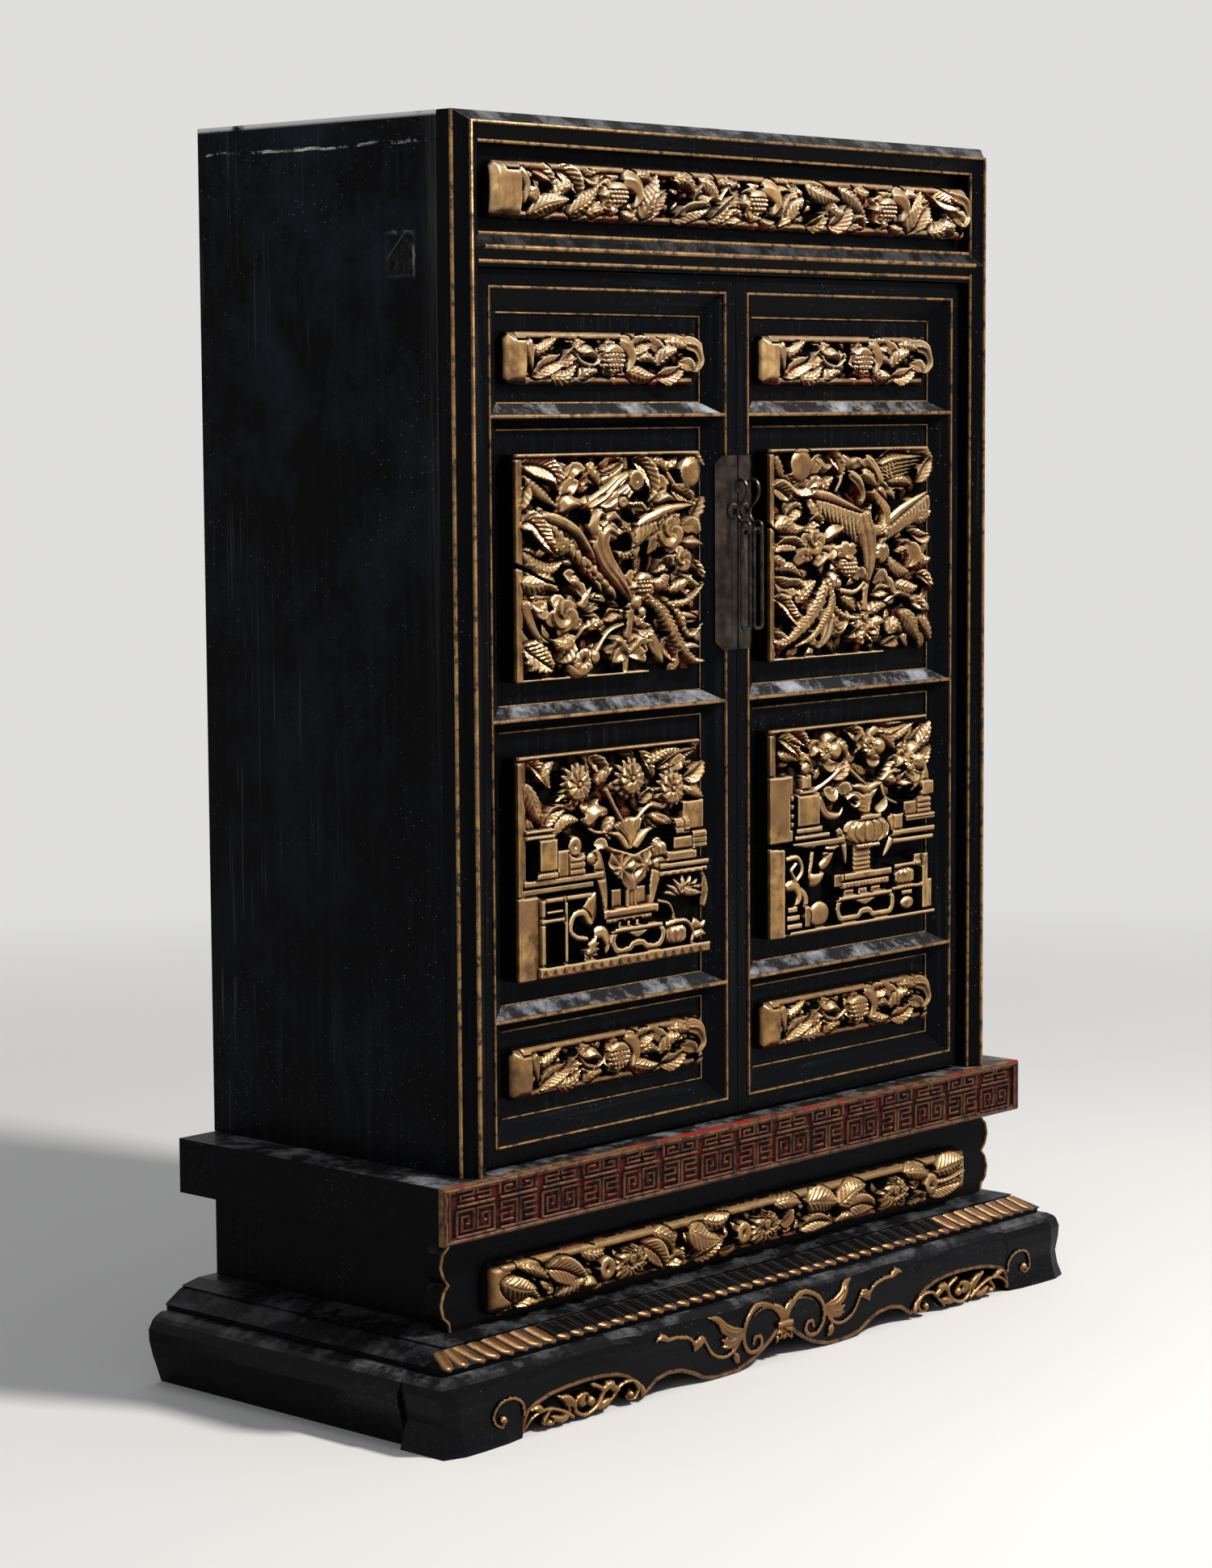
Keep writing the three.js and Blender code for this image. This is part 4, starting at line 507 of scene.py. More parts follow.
    def wheel(self, u, v, r, top, count, turn):
        """A round boss of sharp blades that all lean the same way."""
        def blades(p, t, a, b):
            lean = np.mod((t - turn) / (2 * np.pi) * count + 0.35 * p, 1)
            return 2.2 * lean * np.clip(p * 1.6, 0.2, 1) - 1.6 - 1.4 * p ** 3
        self.disc(u, v, r, r * 0.96, top, blades)
        self.ball(u, v, r * 0.16, top + 0.3, 0.8)

    def daisy(self, u, v, r, top, turn):
        """A round flower: a bladed wheel inside a ring of short rays."""
        self.petals(u, v, r * 1.22, r * 1.12, top - 3.4, 15, turn, 1.4, 1.0, 0.4, 2.4)
        self.wheel(u, v, r * 0.84, top, 10, turn)

    def block(self, low_u, low_v, high_u, high_v, top, edge=0.6, slope=0.0, pattern=None, ease=0.9):
        """A plain block with eased edges: a box, book, shelf or table."""
        spot, gu, gv = self.window(low_u - 1.5, low_v - 1.5, high_u + 1.5, high_v + 1.5)
        if gu.size == 0:
            return
        inset = np.minimum(np.minimum(gu - low_u, high_u - gu), np.minimum(gv - low_v, high_v - gv))
        level = top + slope * (gu - low_u) - edge * np.clip(1 - inset / ease, 0, 1) ** 2
        if pattern:
            level = level + pattern(gu - low_u, gv - low_v)
        self.undercut(spot, (inset < 0) & (inset > -OUTLINE_WIDTH), np.full_like(level, top - 2.5))
        self.lay(spot, level, inset >= 0)

    def crack(self, points, width):
        """A split in the wood that narrows towards its end."""
        spot, share, aside, _ = self.follow(points, width + 1)
        hit = (np.abs(aside) < width * (1 - 0.7 * np.clip(share, 0, 1))) & (share > -0.02) & (share < 1)
        self.h[spot][hit] = self.floor
        self.gilt[spot][hit] = 0

    def pillow(self, fall, end_fall, end_reach):
        """Rounds the whole board over: towards its long edges and towards its ends."""
        up = np.abs(self.v * 2 / self.height - 1)[:, None]
        end = np.clip(1 - np.minimum(self.u, self.width - self.u) / end_reach, 0, 1)[None, :]
        keep = (1 - fall * up ** 3) * (1 - end_fall * end ** 2)
        self.h = self.floor + (self.h - self.floor) * keep

    def worn(self):
        """Softens the arrises and adds the small unevenness of hand carving."""
        dice = np.random.default_rng(len(self.u) * 7 + len(self.v))
        noise = blurred(dice.standard_normal(self.h.shape), 3) * 3.0
        raised = np.clip((self.h - self.floor) / 2, 0, 1)
        self.h = blurred(self.h, 0.3) + UNEVENNESS * noise * raised
        self.h = np.maximum(self.h, self.floor)


def blurred(field, spread):
    """A plain Gaussian blur, in cells."""
    reach = max(1, int(math.ceil(spread * 3)))
    weights = np.exp(-0.5 * (np.arange(-reach, reach + 1) / spread) ** 2)
    weights /= weights.sum()
    for axis in (0, 1):
        wide = np.pad(field, [(reach, reach) if axis == k else (0, 0) for k in (0, 1)], mode="edge")
        size = field.shape[axis]
        field = sum(w * np.take(wide, np.arange(k, k + size), axis) for k, w in enumerate(weights))
    return field


def smooth_path(points):
    """A Catmull-Rom curve through points (across, up, across, up, ...), about every millimetre."""
    p = np.array(points, float).reshape(-1, 2)
    if len(p) == 2:
        p = np.array([p[0], (p[0] + p[1]) / 2, p[1]])
    ends = np.vstack([2 * p[0] - p[1], p, 2 * p[-1] - p[-2]])
    out = []
    for a, b, c, d in zip(ends[:-3], ends[1:-2], ends[2:-1], ends[3:]):
        n = max(3, int(np.linalg.norm(c - b) / PATH_STEP))
        t = np.linspace(0, 1, n, endpoint=False)[:, None]
        out.append(0.5 * (2 * b + (c - a) * t + (2 * a - 5 * b + 4 * c - d) * t ** 2
                          + (3 * b - a - 3 * c + d) * t ** 3))
    return np.vstack(out + [p[-1:]])


PATH_STEP = 1.1
OUTLINE_WIDTH, OUTLINE_CUT, CUT_REACH = 1.0, 2.6, 4.8   # the cut beside a shape, in millimetres
UNEVENNESS = 0.175
OUTLINES = {    # half the width of a cut, from its start (0) to its end (1)
    "leaf": lambda t: np.sin(np.pi * t ** 0.72) ** 0.8,
    "blade": lambda t: np.sin(np.pi * t ** 0.5) ** 0.6,
    "tail": lambda t: (1 - t) ** 0.45 * np.clip(0.45 + t * 2.2, 0, 1),
    "fan": lambda t: np.clip(0.3 + 0.9 * t, 0, 1) * np.clip((1 - t) * 7, 0, 1) ** 0.5,
    "stem": lambda t: 1 - 0.25 * t,
    "band": lambda t: np.ones_like(t),
}


def tools(r, fullness=1.25, lower=0.0):
    """The carver's usual cuts, each a ribbon with its own section."""
    strokes = itertools.count(1)

    def cut(points, width, rise, outline, usual, more):
        r.ribbon(points, width, [k - lower for k in rise], outline, **{**usual, **more})

    def leaf(points, width, rise=(10, 12, 10), **more):
        """Alternately ridged and folded, and leaning to one side or the other."""
        k = next(strokes)
        usual = dict(crown=3.8, groove=1.1, vein=1.2, pitch=3.8, slant=1.2,
                     twist=1.5 * (-1) ** (k // 2), fold=k % 2 == 0)
        cut(points, width * fullness, rise, "leaf", usual, more)

    def petal(points, width, rise=(8, 11, 9), **more):
        k = next(strokes)
        usual = dict(crown=3.2, ribs=1, twist=1.2 * (-1) ** k, fold=k % 3 != 0)
        cut(points, width * fullness, rise, "leaf", usual, more)

    def stem(points, width, rise, **more):
        cut(points, width * 1.15, rise, "stem", dict(crown=1.8), more)

    def plume(points, width, rise, **more):
        usual = dict(crown=2.6, groove=1.0, vein=2.0, pitch=3.6, slant=1.3)
        cut(points, width * 1.2, rise, "tail", usual, more)

    def blade(points, width, rise, **more):
        cut(points, width * 1.1, rise, "blade", dict(crown=2.6, groove=0.5), more)

    return leaf, petal, stem, plume, blade


def moved(path, start, flip=None):
    """The points of a path (across, up, across, up, ...), moved across and perhaps turned over."""
    return [(start + u, flip - v if flip else v) for u, v in zip(path[::2], path[1::2])]


def rays(cut, u, v, turns, reaches, width, rise, **more):
    """The same cut all round a centre: turns in degrees, reaches for its points across and up."""
    for turn in turns:
        way = np.array([np.cos(np.radians(turn)), np.sin(np.radians(turn))])
        cut([np.array([u, v]) + way * reach for reach in reaches], width, rise, **more)


def undergrowth(r, seed, spacing, rise, keep=lambda u, v: True):
    """Low leaves and stems behind the main shapes, with dark gaps between them."""
    dice = np.random.default_rng(seed)
    for v in np.arange(spacing * 0.5, r.height, spacing):
        for u in np.arange(spacing * 0.5, r.width, spacing):
            turn, jog = dice.uniform(0, 2 * np.pi), dice.uniform(-0.35, 0.35, 2) * spacing
            size = spacing * dice.uniform(1.0, 1.5)
            bend = dice.uniform(-0.3, 0.3) * size
            lean = np.array([np.cos(turn), np.sin(turn)])
            start = np.array([u, v]) + jog - lean * size * 0.5
            middle = start + lean * size * 0.5 + np.array([-lean[1], lean[0]]) * bend
            if keep(*middle):
                level = rise * dice.uniform(0.7, 1.3)
                r.ribbon([start, middle, start + lean * size], size * 0.24,
                         (level - 1, level + 1, level - 1), "leaf", crown=1.8, groove=1.0, vein=0.6)


def edge_strips(r, left=8.5):
    """The plain gilt margins along the left side, the top and part of the foot."""
    level = 12.8
    r.block(0, 0, r.width * 0.7, 1.5, level - 4)
    r.block(0, 0, left, r.height, level, slope=-0.4)
    r.block(0, r.height - 2.4, r.width - 9, r.height, level - 0.6, 0.9)


def carve_left_bird(r):
    leaf, petal, stem, plume, blade = tools(r)
    undergrowth(r, 11, 12, 6.2)
    edge_strips(r)
    leaf((148, 132, 160, 131, 172, 124), 4, (10, 12, 11))
    stem((40, 96, 41, 106, 46, 118, 54, 130), 1.8, (7, 9, 9))
    stem((103, 60, 104, 40, 102, 20, 100, 3), 3.2, (10, 9.5, 8), crown=1.5)
    stem((58, 24, 64, 30, 74, 32, 86, 34), 1.6, (7, 9, 8))
    # leaves in the upper left corner
    leaf((8, 128, 24, 127, 38, 121, 43, 107), 6.5, (11, 11.5, 9))
    leaf((9, 121, 22, 113, 34, 106, 42, 101), 3.6, (12, 11, 8.5))
    leaf((12, 116, 9, 108, 6, 100), 3.4, (11, 12, 12))
    petal((43, 107, 49, 114, 60, 117), 4)
    petal((42, 99, 50, 104, 60, 103), 4.6)
    petal((46, 118, 54, 125, 66, 124), 3.4)
    petal((60, 116, 68, 119, 76, 114), 3, (7, 9, 8))
    petal((70, 108, 62, 104, 54, 108), 3, (8, 9, 8))
    leaf((74, 122, 86, 127, 100, 130), 3.8, (8, 10, 9))
    leaf((66, 128, 74, 121, 78, 112), 3.8, (9, 10, 9))
    # lobed rock with a ring, over the head
    blade((66, 101, 80, 108, 92, 117, 104, 122), 5.5, (10, 12.5, 12), ribs=3, groove=0)
    blade((72, 100, 86, 103, 98, 110, 108, 120), 6.5, (10, 12.8, 12), ribs=3, groove=0)
    blade((78, 116, 88, 120, 98, 127), 3.4, (9, 11, 10))
    r.disc(106, 117, 6.5, 6.5, 12.8, lambda p, t, a, b: -1.2 * (p * 2.2 - 1.3) ** 2)
    r.disc(94, 104, 4.2, 3.6, 12.4, lambda p, t, a, b: -1.6 * (p * 2 - 1.1) ** 2)
    for k in range(6):
        blade([(100 + k * 2.2, 104), (104 + k * 2.6, 99), (106 + k * 3, 94 + k * 1.5)], 1.5,
              (11.5, 12, 11))
    leaf((106, 130, 117, 124, 123, 112, 119, 102), 5, (9, 11.5, 10), twist=1)
    leaf((119, 128, 130, 127, 139, 121), 3.4, (9, 11, 10))
    petal((124, 120, 132, 114, 129, 106), 3.2)
    petal((127, 103, 135, 107, 144, 104), 3.2)
    # peach and its leaves
    stem((139, 121, 146, 112, 156, 109), 1.6, (8, 10, 9))
    leaf((141, 112, 150, 108, 160, 104, 166, 108), 4.6, (9, 11, 9))
    leaf((148, 131, 140, 126, 134, 130), 3, (8, 10, 9))
    r.ball(157, 121, 9.5, 13, 3.2)
    leaf((160, 92, 165, 98, 170, 108), 3.4, (8, 10, 10))
    # wings
    blade((108, 89, 122, 94, 140, 99, 160, 101), 3.6, (11.5, 12.5, 11), groove=0.5)
    for k in range(11):
        u = 110 + k * 3.6
        blade([(u, 89 + k * 0.7), (u - 1, 82 + k * 1.1), (u - 5, 74 + k * 1.6)], 2.3,
              (12, 11.3 - k * 0.12, 9.5))
    for k in range(9):
        u, v = 30 + k * 5, 96 - k * 3.9
        blade([(u, v), (u + 3, v - 7), (u + 9, v - 12 - k * 0.4)], 2.6, (11.8, 11, 8.5))
    blade((24, 98, 38, 95, 54, 88, 66, 76, 72, 64), 3, (12.2, 12.6, 11.5), groove=0.5)
    for k in range(5):
        u, v = 62 + k * 5, 70 - k * 4.2
        blade([(u, v), (u + 5, v - 3), (u + 9, v - 8)], 2.4, (11, 11, 9))
    # breast, neck and head
    plume((92, 84, 82, 88, 76, 80, 82, 68, 92, 58, 104, 44), 7.6, (11.6, 12.8, 11),
          ribs=3, vein=0, groove=0, crown=3.4)
    r.hole(96, 80, 6.6, 5.6)
    rays(blade, 96, 79.5, range(-120, 123, 22), (6, 11), 1.9, (12.4, 12.2, 10.8), groove=0.3)
    blade((74, 83, 70, 91, 74, 98, 80, 96), 4, (11, 12.4, 11.5), ribs=1, groove=0)
    blade((80, 94, 88, 96, 96, 92), 2.6, (11.5, 12, 10.5))
    # peony and leaves on the right
    r.peony(139, 84, 12.5, 12.6, 0.4)
    petal((128, 80, 122, 77, 119, 71), 4.2, (10, 11, 9))
    petal((150, 88, 160, 88, 168, 82), 4.4, (10, 11.5, 9))
    petal((152, 78, 162, 78, 171, 76), 3.6, (9, 11, 9))
    r.peony(151, 67, 8.6, 12, 1.2)
    leaf((141, 62, 134, 66, 124, 60), 4.4, (9, 11, 8.5))
    leaf((140, 58, 130, 53, 120, 55), 4.2, (9, 11, 8.5))
    leaf((148, 58, 156, 50, 170, 49), 4.4, (9, 11, 10))
    leaf((140, 48, 150, 51, 162, 58), 3.6, (8, 10.5, 9))
    leaf((162, 66, 168, 60, 171, 52), 3.4, (9, 10, 9))
    # seed head and pods
    r.seeds(114, 54, 7.6, 7, 12.6)
    rays(petal, 114, 54, range(190, 327, 34), (6, (13, 12)), 3.2, (11, 11, 9))
    r.ball(108, 43, 4.4, 11.8)
    r.ball(113, 37, 3.6, 11.2)
    # tail
    plume((118, 45, 132, 35, 146, 17, 158, 6, 171, 4), 5.4, (11.5, 12.8, 11.5), teeth=16)
    plume((134, 44, 147, 33, 152, 23, 160, 21, 170, 29), 3.2, (11.5, 12.2, 11), teeth=10)
    plume((136, 41, 150, 41, 162, 46, 171, 53), 3, (11, 12, 10.5), teeth=10)
    blade((146, 34, 156, 33, 166, 31), 2.2, (9, 10.5, 9))
    blade((150, 12, 160, 14, 170, 12), 2.4, (8, 10, 9))
    # peony and folded leaves at the lower left
    r.peony(44, 38, 12.5, 12.8, 0.2)
    rays(blade, 57, 42, range(-22, 51, 18), (0, 9, (19, 16)), 2.8, (11.5, 11.5, 9.5))
    petal((31, 42, 24, 42, 16, 46), 5, (10, 11.5, 9))
    leaf((6, 59, 18, 57, 30, 58, 41, 52), 5.2, (12, 12.2, 10))
    leaf((12, 52, 20, 46, 32, 49), 4.2, (9, 10.5, 9))
    for k in range(3):
        petal([(43 + k * 5, 63 - k * 4), (50 + k * 4, 60 - k * 4), (55 + k * 3, 54 - k * 4)], 3.8,
              (11, 12, 10), ribs=1)
    leaf((5, 92, 16, 94, 28, 84, 40, 72), 6, (12.4, 12, 10))
    leaf((8, 76, 20, 68, 34, 66, 45, 70), 4.2, (11.5, 11, 9.5))
    leaf((8, 68, 22, 64, 36, 63), 2.8, (11, 10.5, 9))
    leaf((36, 84, 42, 78, 50, 74), 3.6, (9, 10.5, 9))
    blade((9, 48, 14, 36, 22, 26, 32, 22), 3.4, (12, 11.5, 9.5))
    blade((5, 30, 12, 24, 24, 20), 2.6, (11, 10, 9))
    # leaves along the bottom
    leaf((8, 21, 20, 14, 36, 6), 8.4, (12, 12.4, 10.5), vein=1.6, pitch=4.2, teeth=6)
    leaf((54, 25, 44, 20, 34, 24), 5.4, (10.5, 12, 10), vein=1.2, pitch=3.2, teeth=6)
    leaf((52, 22, 46, 14, 40, 10), 4.2, (10, 11, 9))
    r.disc(60, 10, 8.5, 8, 11.6, lambda p, t, a, b: -1.8 * (p * 2.2 - 1.45) ** 2 + 0.4 * np.cos(t * 9))
    petal((49, 8, 56, 3, 66, 3), 3.4, (9, 11, 9))
    r.ball(70, 12, 4.6, 11.8)
    stem((72, 14, 84, 26, 98, 30), 1.6, (9, 9, 8))
    leaf((80, 33, 88, 38, 98, 36), 3.4, (9, 10.5, 9))
    leaf((66, 28, 72, 33, 80, 31), 3.8, (9, 11, 10))
    for k, (u, v) in enumerate([(84, 22), (80, 14), (86, 7), (120, 26), (126, 15), (118, 6)]):
        petal([(101, 12), ((101 + u) / 2, (12 + v) / 2 + 3), (u, v)], 4, (9, 12 - k % 2, 9.5))
    leaf((108, 28, 116, 26, 124, 28), 4, (10, 11.5, 10))
    leaf((119, 24, 126, 15, 133, 4), 5, (11, 12, 10), vein=0)
    leaf((134, 20, 140, 12, 147, 4), 4.6, (8, 9.5, 8.5))
    leaf((104, 34, 112, 31, 119, 35), 3, (9, 10, 9))
    r.crack((0, 69, 12, 66, 24, 60, 40, 56), 1.1)
    r.crack((64, 46, 76, 44, 88, 41, 102, 39), 0.6)


def carve_right_bird(r):
    leaf, petal, stem, plume, blade = tools(r)
    undergrowth(r, 23, 12, 6.2)
    edge_strips(r, 7)
    leaf((146, 132, 160, 131, 172, 125), 4, (10, 12, 11))
    stem((70, 130, 76, 118, 72, 106), 1.6, (9, 10, 8))
    stem((104, 50, 101, 36, 103, 20, 100, 8), 2.8, (9, 9.5, 8))
    stem((118, 30, 134, 38, 150, 34, 164, 22), 1.8, (8, 10, 8))
    # disc in the corner with leaves round it
    r.ball(33, 124, 10.5, 13, 3)
    leaf((20, 118, 30, 110, 44, 110, 54, 118), 5, (11, 11.5, 10))
    leaf((8, 130, 14, 122, 20, 112), 4.2, (12, 11, 9))
    leaf((5, 110, 14, 108, 26, 102), 5.4, (12, 12, 9.5))
    petal((44, 116, 50, 126, 58, 129), 4)
    petal((48, 128, 58, 121, 66, 124), 3.6)
    petal((40, 104, 48, 112, 60, 113), 3.8, (9, 11, 9))
    leaf((64, 131, 72, 124, 78, 116), 3.6, (9, 11, 9))
    petal((76, 130, 84, 125, 92, 128), 4)
    petal((82, 120, 90, 124, 99, 121), 3.4)
    leaf((56, 104, 62, 112, 70, 116), 3.2, (8, 10, 9))
    # crest and head
    blade((99, 128, 106, 120, 114, 112, 124, 106), 5.2, (10.5, 12.6, 11.5), ribs=2, groove=0)
    blade((96, 118, 104, 114, 110, 107), 3.6, (10, 12.4, 11.6), ribs=1, groove=0)
    blade((112, 107, 118, 103, 122, 97), 3, (11.5, 12, 10.5))
    blade((120, 106, 126, 104, 131, 99), 2.4, (10.5, 11.5, 10))
    for k in range(5):
        blade([(114, 114 + k * 2.2), (130, 116 + k * 2.6), (150 + k * 3, 118 + k * 2.4)], 1.8,
              (11, 11.8, 10), groove=0.3)
    leaf((112, 124, 128, 131, 150, 129), 3.2, (9, 11, 9))
    leaf((124, 112, 140, 112, 152, 108), 3.2, (9, 10.5, 9))
    leaf((156, 110, 163, 120, 171, 128), 4, (9, 11, 10))
    blade((84, 118, 92, 112, 96, 104, 94, 96), 3.4, (10, 12, 11), ribs=2, groove=0)
    # long neck curling round
    plume((106, 106, 112, 100, 120, 92, 118, 82, 108, 80, 102, 88, 104, 98), 4.2,
          (12, 12.8, 12), ribs=3, vein=0.5)
    r.hole(109.5, 91, 4.6, 5.4)
    # wings
    for k in range(12):
        share = k / 11
        u, v = 52 + share * 46, 104 - share * 12
        blade([(u, v), (u + 2, v - 9 - 4 * share), (u + 13 - 9 * share, v - 18 - 8 * share)], 2.3,
              (11.8, 11, 9))
    blade((44, 106, 62, 103, 82, 97, 98, 92), 2.8, (11.5, 12.4, 12), groove=0.4)
    for k in range(13):
        share = k / 12
        u, v = 124 + share * 40, 88 + share * 14
        blade([(u, v), (u - 2 + 4 * share, v - 8), (u - 8 + 6 * share, v - 19 + 4 * share)], 2.2,
              (12, 11.2, 9))
    blade((120, 84, 134, 92, 150, 99, 166, 105), 3, (11.5, 12.6, 11.5), groove=0.4)
    # body and tail
    plume((96, 92, 102, 78, 104, 62, 103, 46), 8.5, (11.5, 12.6, 10.5), ribs=3, vein=0.3, crown=3.4)
    blade((104, 76, 112, 80, 122, 76), 4, (10, 11.5, 10), ribs=2, groove=0)
    r.petals(117, 65, 8.5, 7, 11.8, 5, 0.3, 1.5)
    plume((64, 50, 58, 46, 50, 34, 36, 22, 18, 12, 5, 12), 6.2, (11.5, 12.8, 12), teeth=14, vein=1.6)
    plume((60, 50, 64, 36, 58, 26, 44, 14, 26, 8), 3.4, (11.8, 12.9, 12), vein=1.8, pitch=2.6)
    plume((64, 34, 76, 26, 90, 24, 102, 27), 3, (11, 12, 10.5), teeth=9)
    blade((62, 30, 70, 18, 80, 22, 82, 30), 5.6, (10, 11, 9), ribs=4, groove=0)
    blade((66, 28, 60, 14, 52, 5), 4.6, (10, 11, 9), ribs=3, groove=0)
    # seed head with its leaves
    r.seeds(82, 58, 9, 7.8, 12.7)
    r.petals(80, 68, 12, 6.5, 11.6, 6, 0.2, 1.3)
    petal((72, 52, 66, 48, 70, 42), 4, (10, 11, 9))
    petal((88, 50, 95, 53, 99, 48), 3.6, (10, 11.4, 9.5))
    stem((76, 42, 88, 41, 99, 46), 1.8, (9, 10.5, 9), crown=1)
    leaf((78, 38, 86, 33, 92, 27), 4, (8, 10, 8.5))
    r.ball(71, 47, 3.6, 11.4)
    # flower and leaves on the left
    r.peony(48, 74, 10.5, 12.6, 0.9)
    petal((58, 76, 68, 80, 78, 83), 4.4, (10, 11.5, 9.5))
    petal((56, 70, 64, 67, 72, 72), 4, (10, 11, 9))
    leaf((38, 82, 48, 88, 58, 84), 4, (10, 11.5, 9))
    leaf((6, 84, 16, 86, 26, 82, 40, 84), 5.2, (12, 12, 10))
    leaf((20, 90, 30, 96, 38, 94), 4.2, (9, 11, 9))
    leaf((44, 102, 50, 94, 58, 88), 4.2, (9, 11, 9))
    leaf((6, 70, 16, 74, 32, 72, 42, 62), 4.2, (12, 11.5, 10))
    leaf((6, 66, 14, 62, 22, 64), 3.6, (11, 11, 9))
    petal((26, 60, 36, 66, 48, 62), 4.2, (9, 11, 9))
    petal((50, 58, 58, 64, 66, 64), 3.4, (9, 11, 9))
    leaf((6, 52, 18, 46, 30, 46, 42, 40), 5.4, (12, 11.5, 9.5))
    leaf((10, 58, 24, 58, 38, 52), 3.6, (9, 10.5, 9))
    leaf((6, 40, 18, 36, 30, 26, 46, 20), 5, (12, 11, 9.5))
    leaf((30, 36, 40, 44, 52, 50), 4.6, (9, 11, 9))
    leaf((6, 18, 14, 12, 24, 12), 4.2, (12, 11.4, 10))
    # leaves at the lower right
    for u, v in ((84, 20), (82, 11), (92, 6), (110, 6), (122, 20), (116, 12)):
        leaf([(101, 16), ((101 + u) / 2, (16 + v) / 2 + 2), (u, v)], 3.8, (10, 12, 9.5))
    leaf((104, 26, 114, 31, 124, 30), 3.6, (9, 11, 9.5))
    petal((108, 46, 116, 50, 124, 46), 4.2, (10, 11.5, 9))
    petal((126, 50, 128, 42, 134, 38), 3.2, (9, 11, 9))
    leaf((108, 38, 118, 41, 128, 38), 3.4, (9, 11, 9))
    leaf((124, 62, 134, 54, 148, 52), 4.4, (10, 11.8, 9.5))
    petal((146, 72, 150, 62, 144, 54), 4.6, (10, 12, 10))
    leaf((150, 64, 160, 58, 171, 60), 4.8, (10, 11.5, 10))
    leaf((148, 78, 160, 74, 171, 76), 3.8, (9, 11, 9.5))
    leaf((150, 88, 162, 88, 171, 92), 4, (9, 11, 10))
    leaf((132, 66, 142, 70, 150, 68), 3.4, (9, 10.5, 9))
    leaf((132, 44, 146, 40, 158, 42), 4.6, (9, 11.5, 9.5))
    leaf((158, 50, 166, 46, 171, 38), 4, (9, 11, 10))
    leaf((124, 12, 132, 18, 140, 12), 4.6, (9, 11.5, 9.5))
    leaf((136, 8, 128, 6, 120, 4), 3, (8, 10, 9))
    leaf((138, 26, 148, 18, 158, 5), 5.2, (10, 11.8, 10))
    leaf((148, 32, 158, 30, 164, 22), 4, (10, 11.5, 10))
    leaf((160, 24, 167, 14, 170, 4), 4.2, (9, 11.4, 10))
    r.crack((0, 86, 9, 82, 20, 79), 0.7)


def zigzag(depth, pitch):
    """Each of these gives the pattern cut into a block, as a depth from (across, up)."""
    return lambda u, v: -depth * np.abs(np.mod(u / pitch + v / (pitch * 1.1), 1) * 2 - 1) \
        - depth * 0.6 * np.abs(np.mod(u / pitch - v / (pitch * 1.1), 1) * 2 - 1)


def rope(depth, pitch):
    return lambda u, v: -depth * np.abs(np.sin(np.pi * (u + v * 1.6) / pitch)) ** 0.6


def beads(depth, pitch):
    return lambda u, v: -depth * np.abs(np.sin(np.pi * u / pitch)) ** 4


def steps(depth, pitch):
    return lambda u, v: -depth * (np.mod(v / pitch, 1) > 0.72)


def flutes(depth, pitch):
    return lambda u, v: -depth * np.abs(np.cos(np.pi * u / pitch)) ** 3


def base_bar(r, left):
    """The foot rail with its row of triangular notches."""
    top, foot, pitch, half = 7.0, 1.2, 8.2, 3.7
    r.block(left, 0.4, r.width, top, 12.4, 0.5)
    for k in range(int((r.width - left) / pitch)):
        u = left + 1.2 + k * pitch
        spot, gu, gv = r.window(u, foot, u + 2 * half, top - 1.0)
        notch = 1 - np.abs((gu - u) / half - 1) - (gv - foot) / (top - 2.2)
        r.h[spot] -= 1.9 * np.clip(notch * 1.6, 0, 1)


def kidney_table(r, left, right, low, top, level):
    """A low table whose apron is cut in cusps."""
    mid, half = (left + right) / 2, (right - left) / 2
    loop = [(left + 3, (low + top) / 2), (left + 6, top - 2.5), (mid - half * 0.4, top - 1.6),
            (mid - 2.0, top - 4.8), (mid + 2.0, top - 4.8), (mid + half * 0.4, top - 1.6),
            (right - 6, top - 2.5), (right - 3, (low + top) / 2), (right - 7, low + 2.2),
            (mid + 9, low + 2.0), (mid + 4, low + 5.0), (mid - 4, low + 5.0), (mid - 9, low + 2.0),
            (left + 7, low + 2.2), (left + 3, (low + top) / 2)]
    r.ribbon(loop, 2.3, (level, level, level), "band", crown=1.0, groove=0.6)
    r.block(left + 4, top - 2.6, right - 4, top, level + 0.3, 0.8)


def boxed(r, low_u, low_v, high_u, high_v, level, lines=0):
    """A box, or a pile of books whose backs are that many millimetres high."""
    r.block(low_u, low_v, high_u, high_v, level, 0.7, pattern=steps(1.1, lines) if lines else None)


def gourd(r, u, v, ru, rv, top, count, part=2.4):
    """A body of upright lobes with deep furrows between them."""
    def surface(p, t, a, b):
        lean = np.clip(a / np.sqrt(np.maximum(1 - b ** 2, 0.05)), -1, 1)
        side = np.mod(np.arcsin(lean) / np.pi * count + 0.5, 1) * 2 - 1
        return -3.2 * p ** 3 - part * (1 - np.sqrt(np.maximum(1 - side ** 2, 0)))
    r.disc(u, v, ru, rv, top, surface, edge=lambda t: 1 / (np.cos(t) ** 4 + np.sin(t) ** 4) ** 0.25)


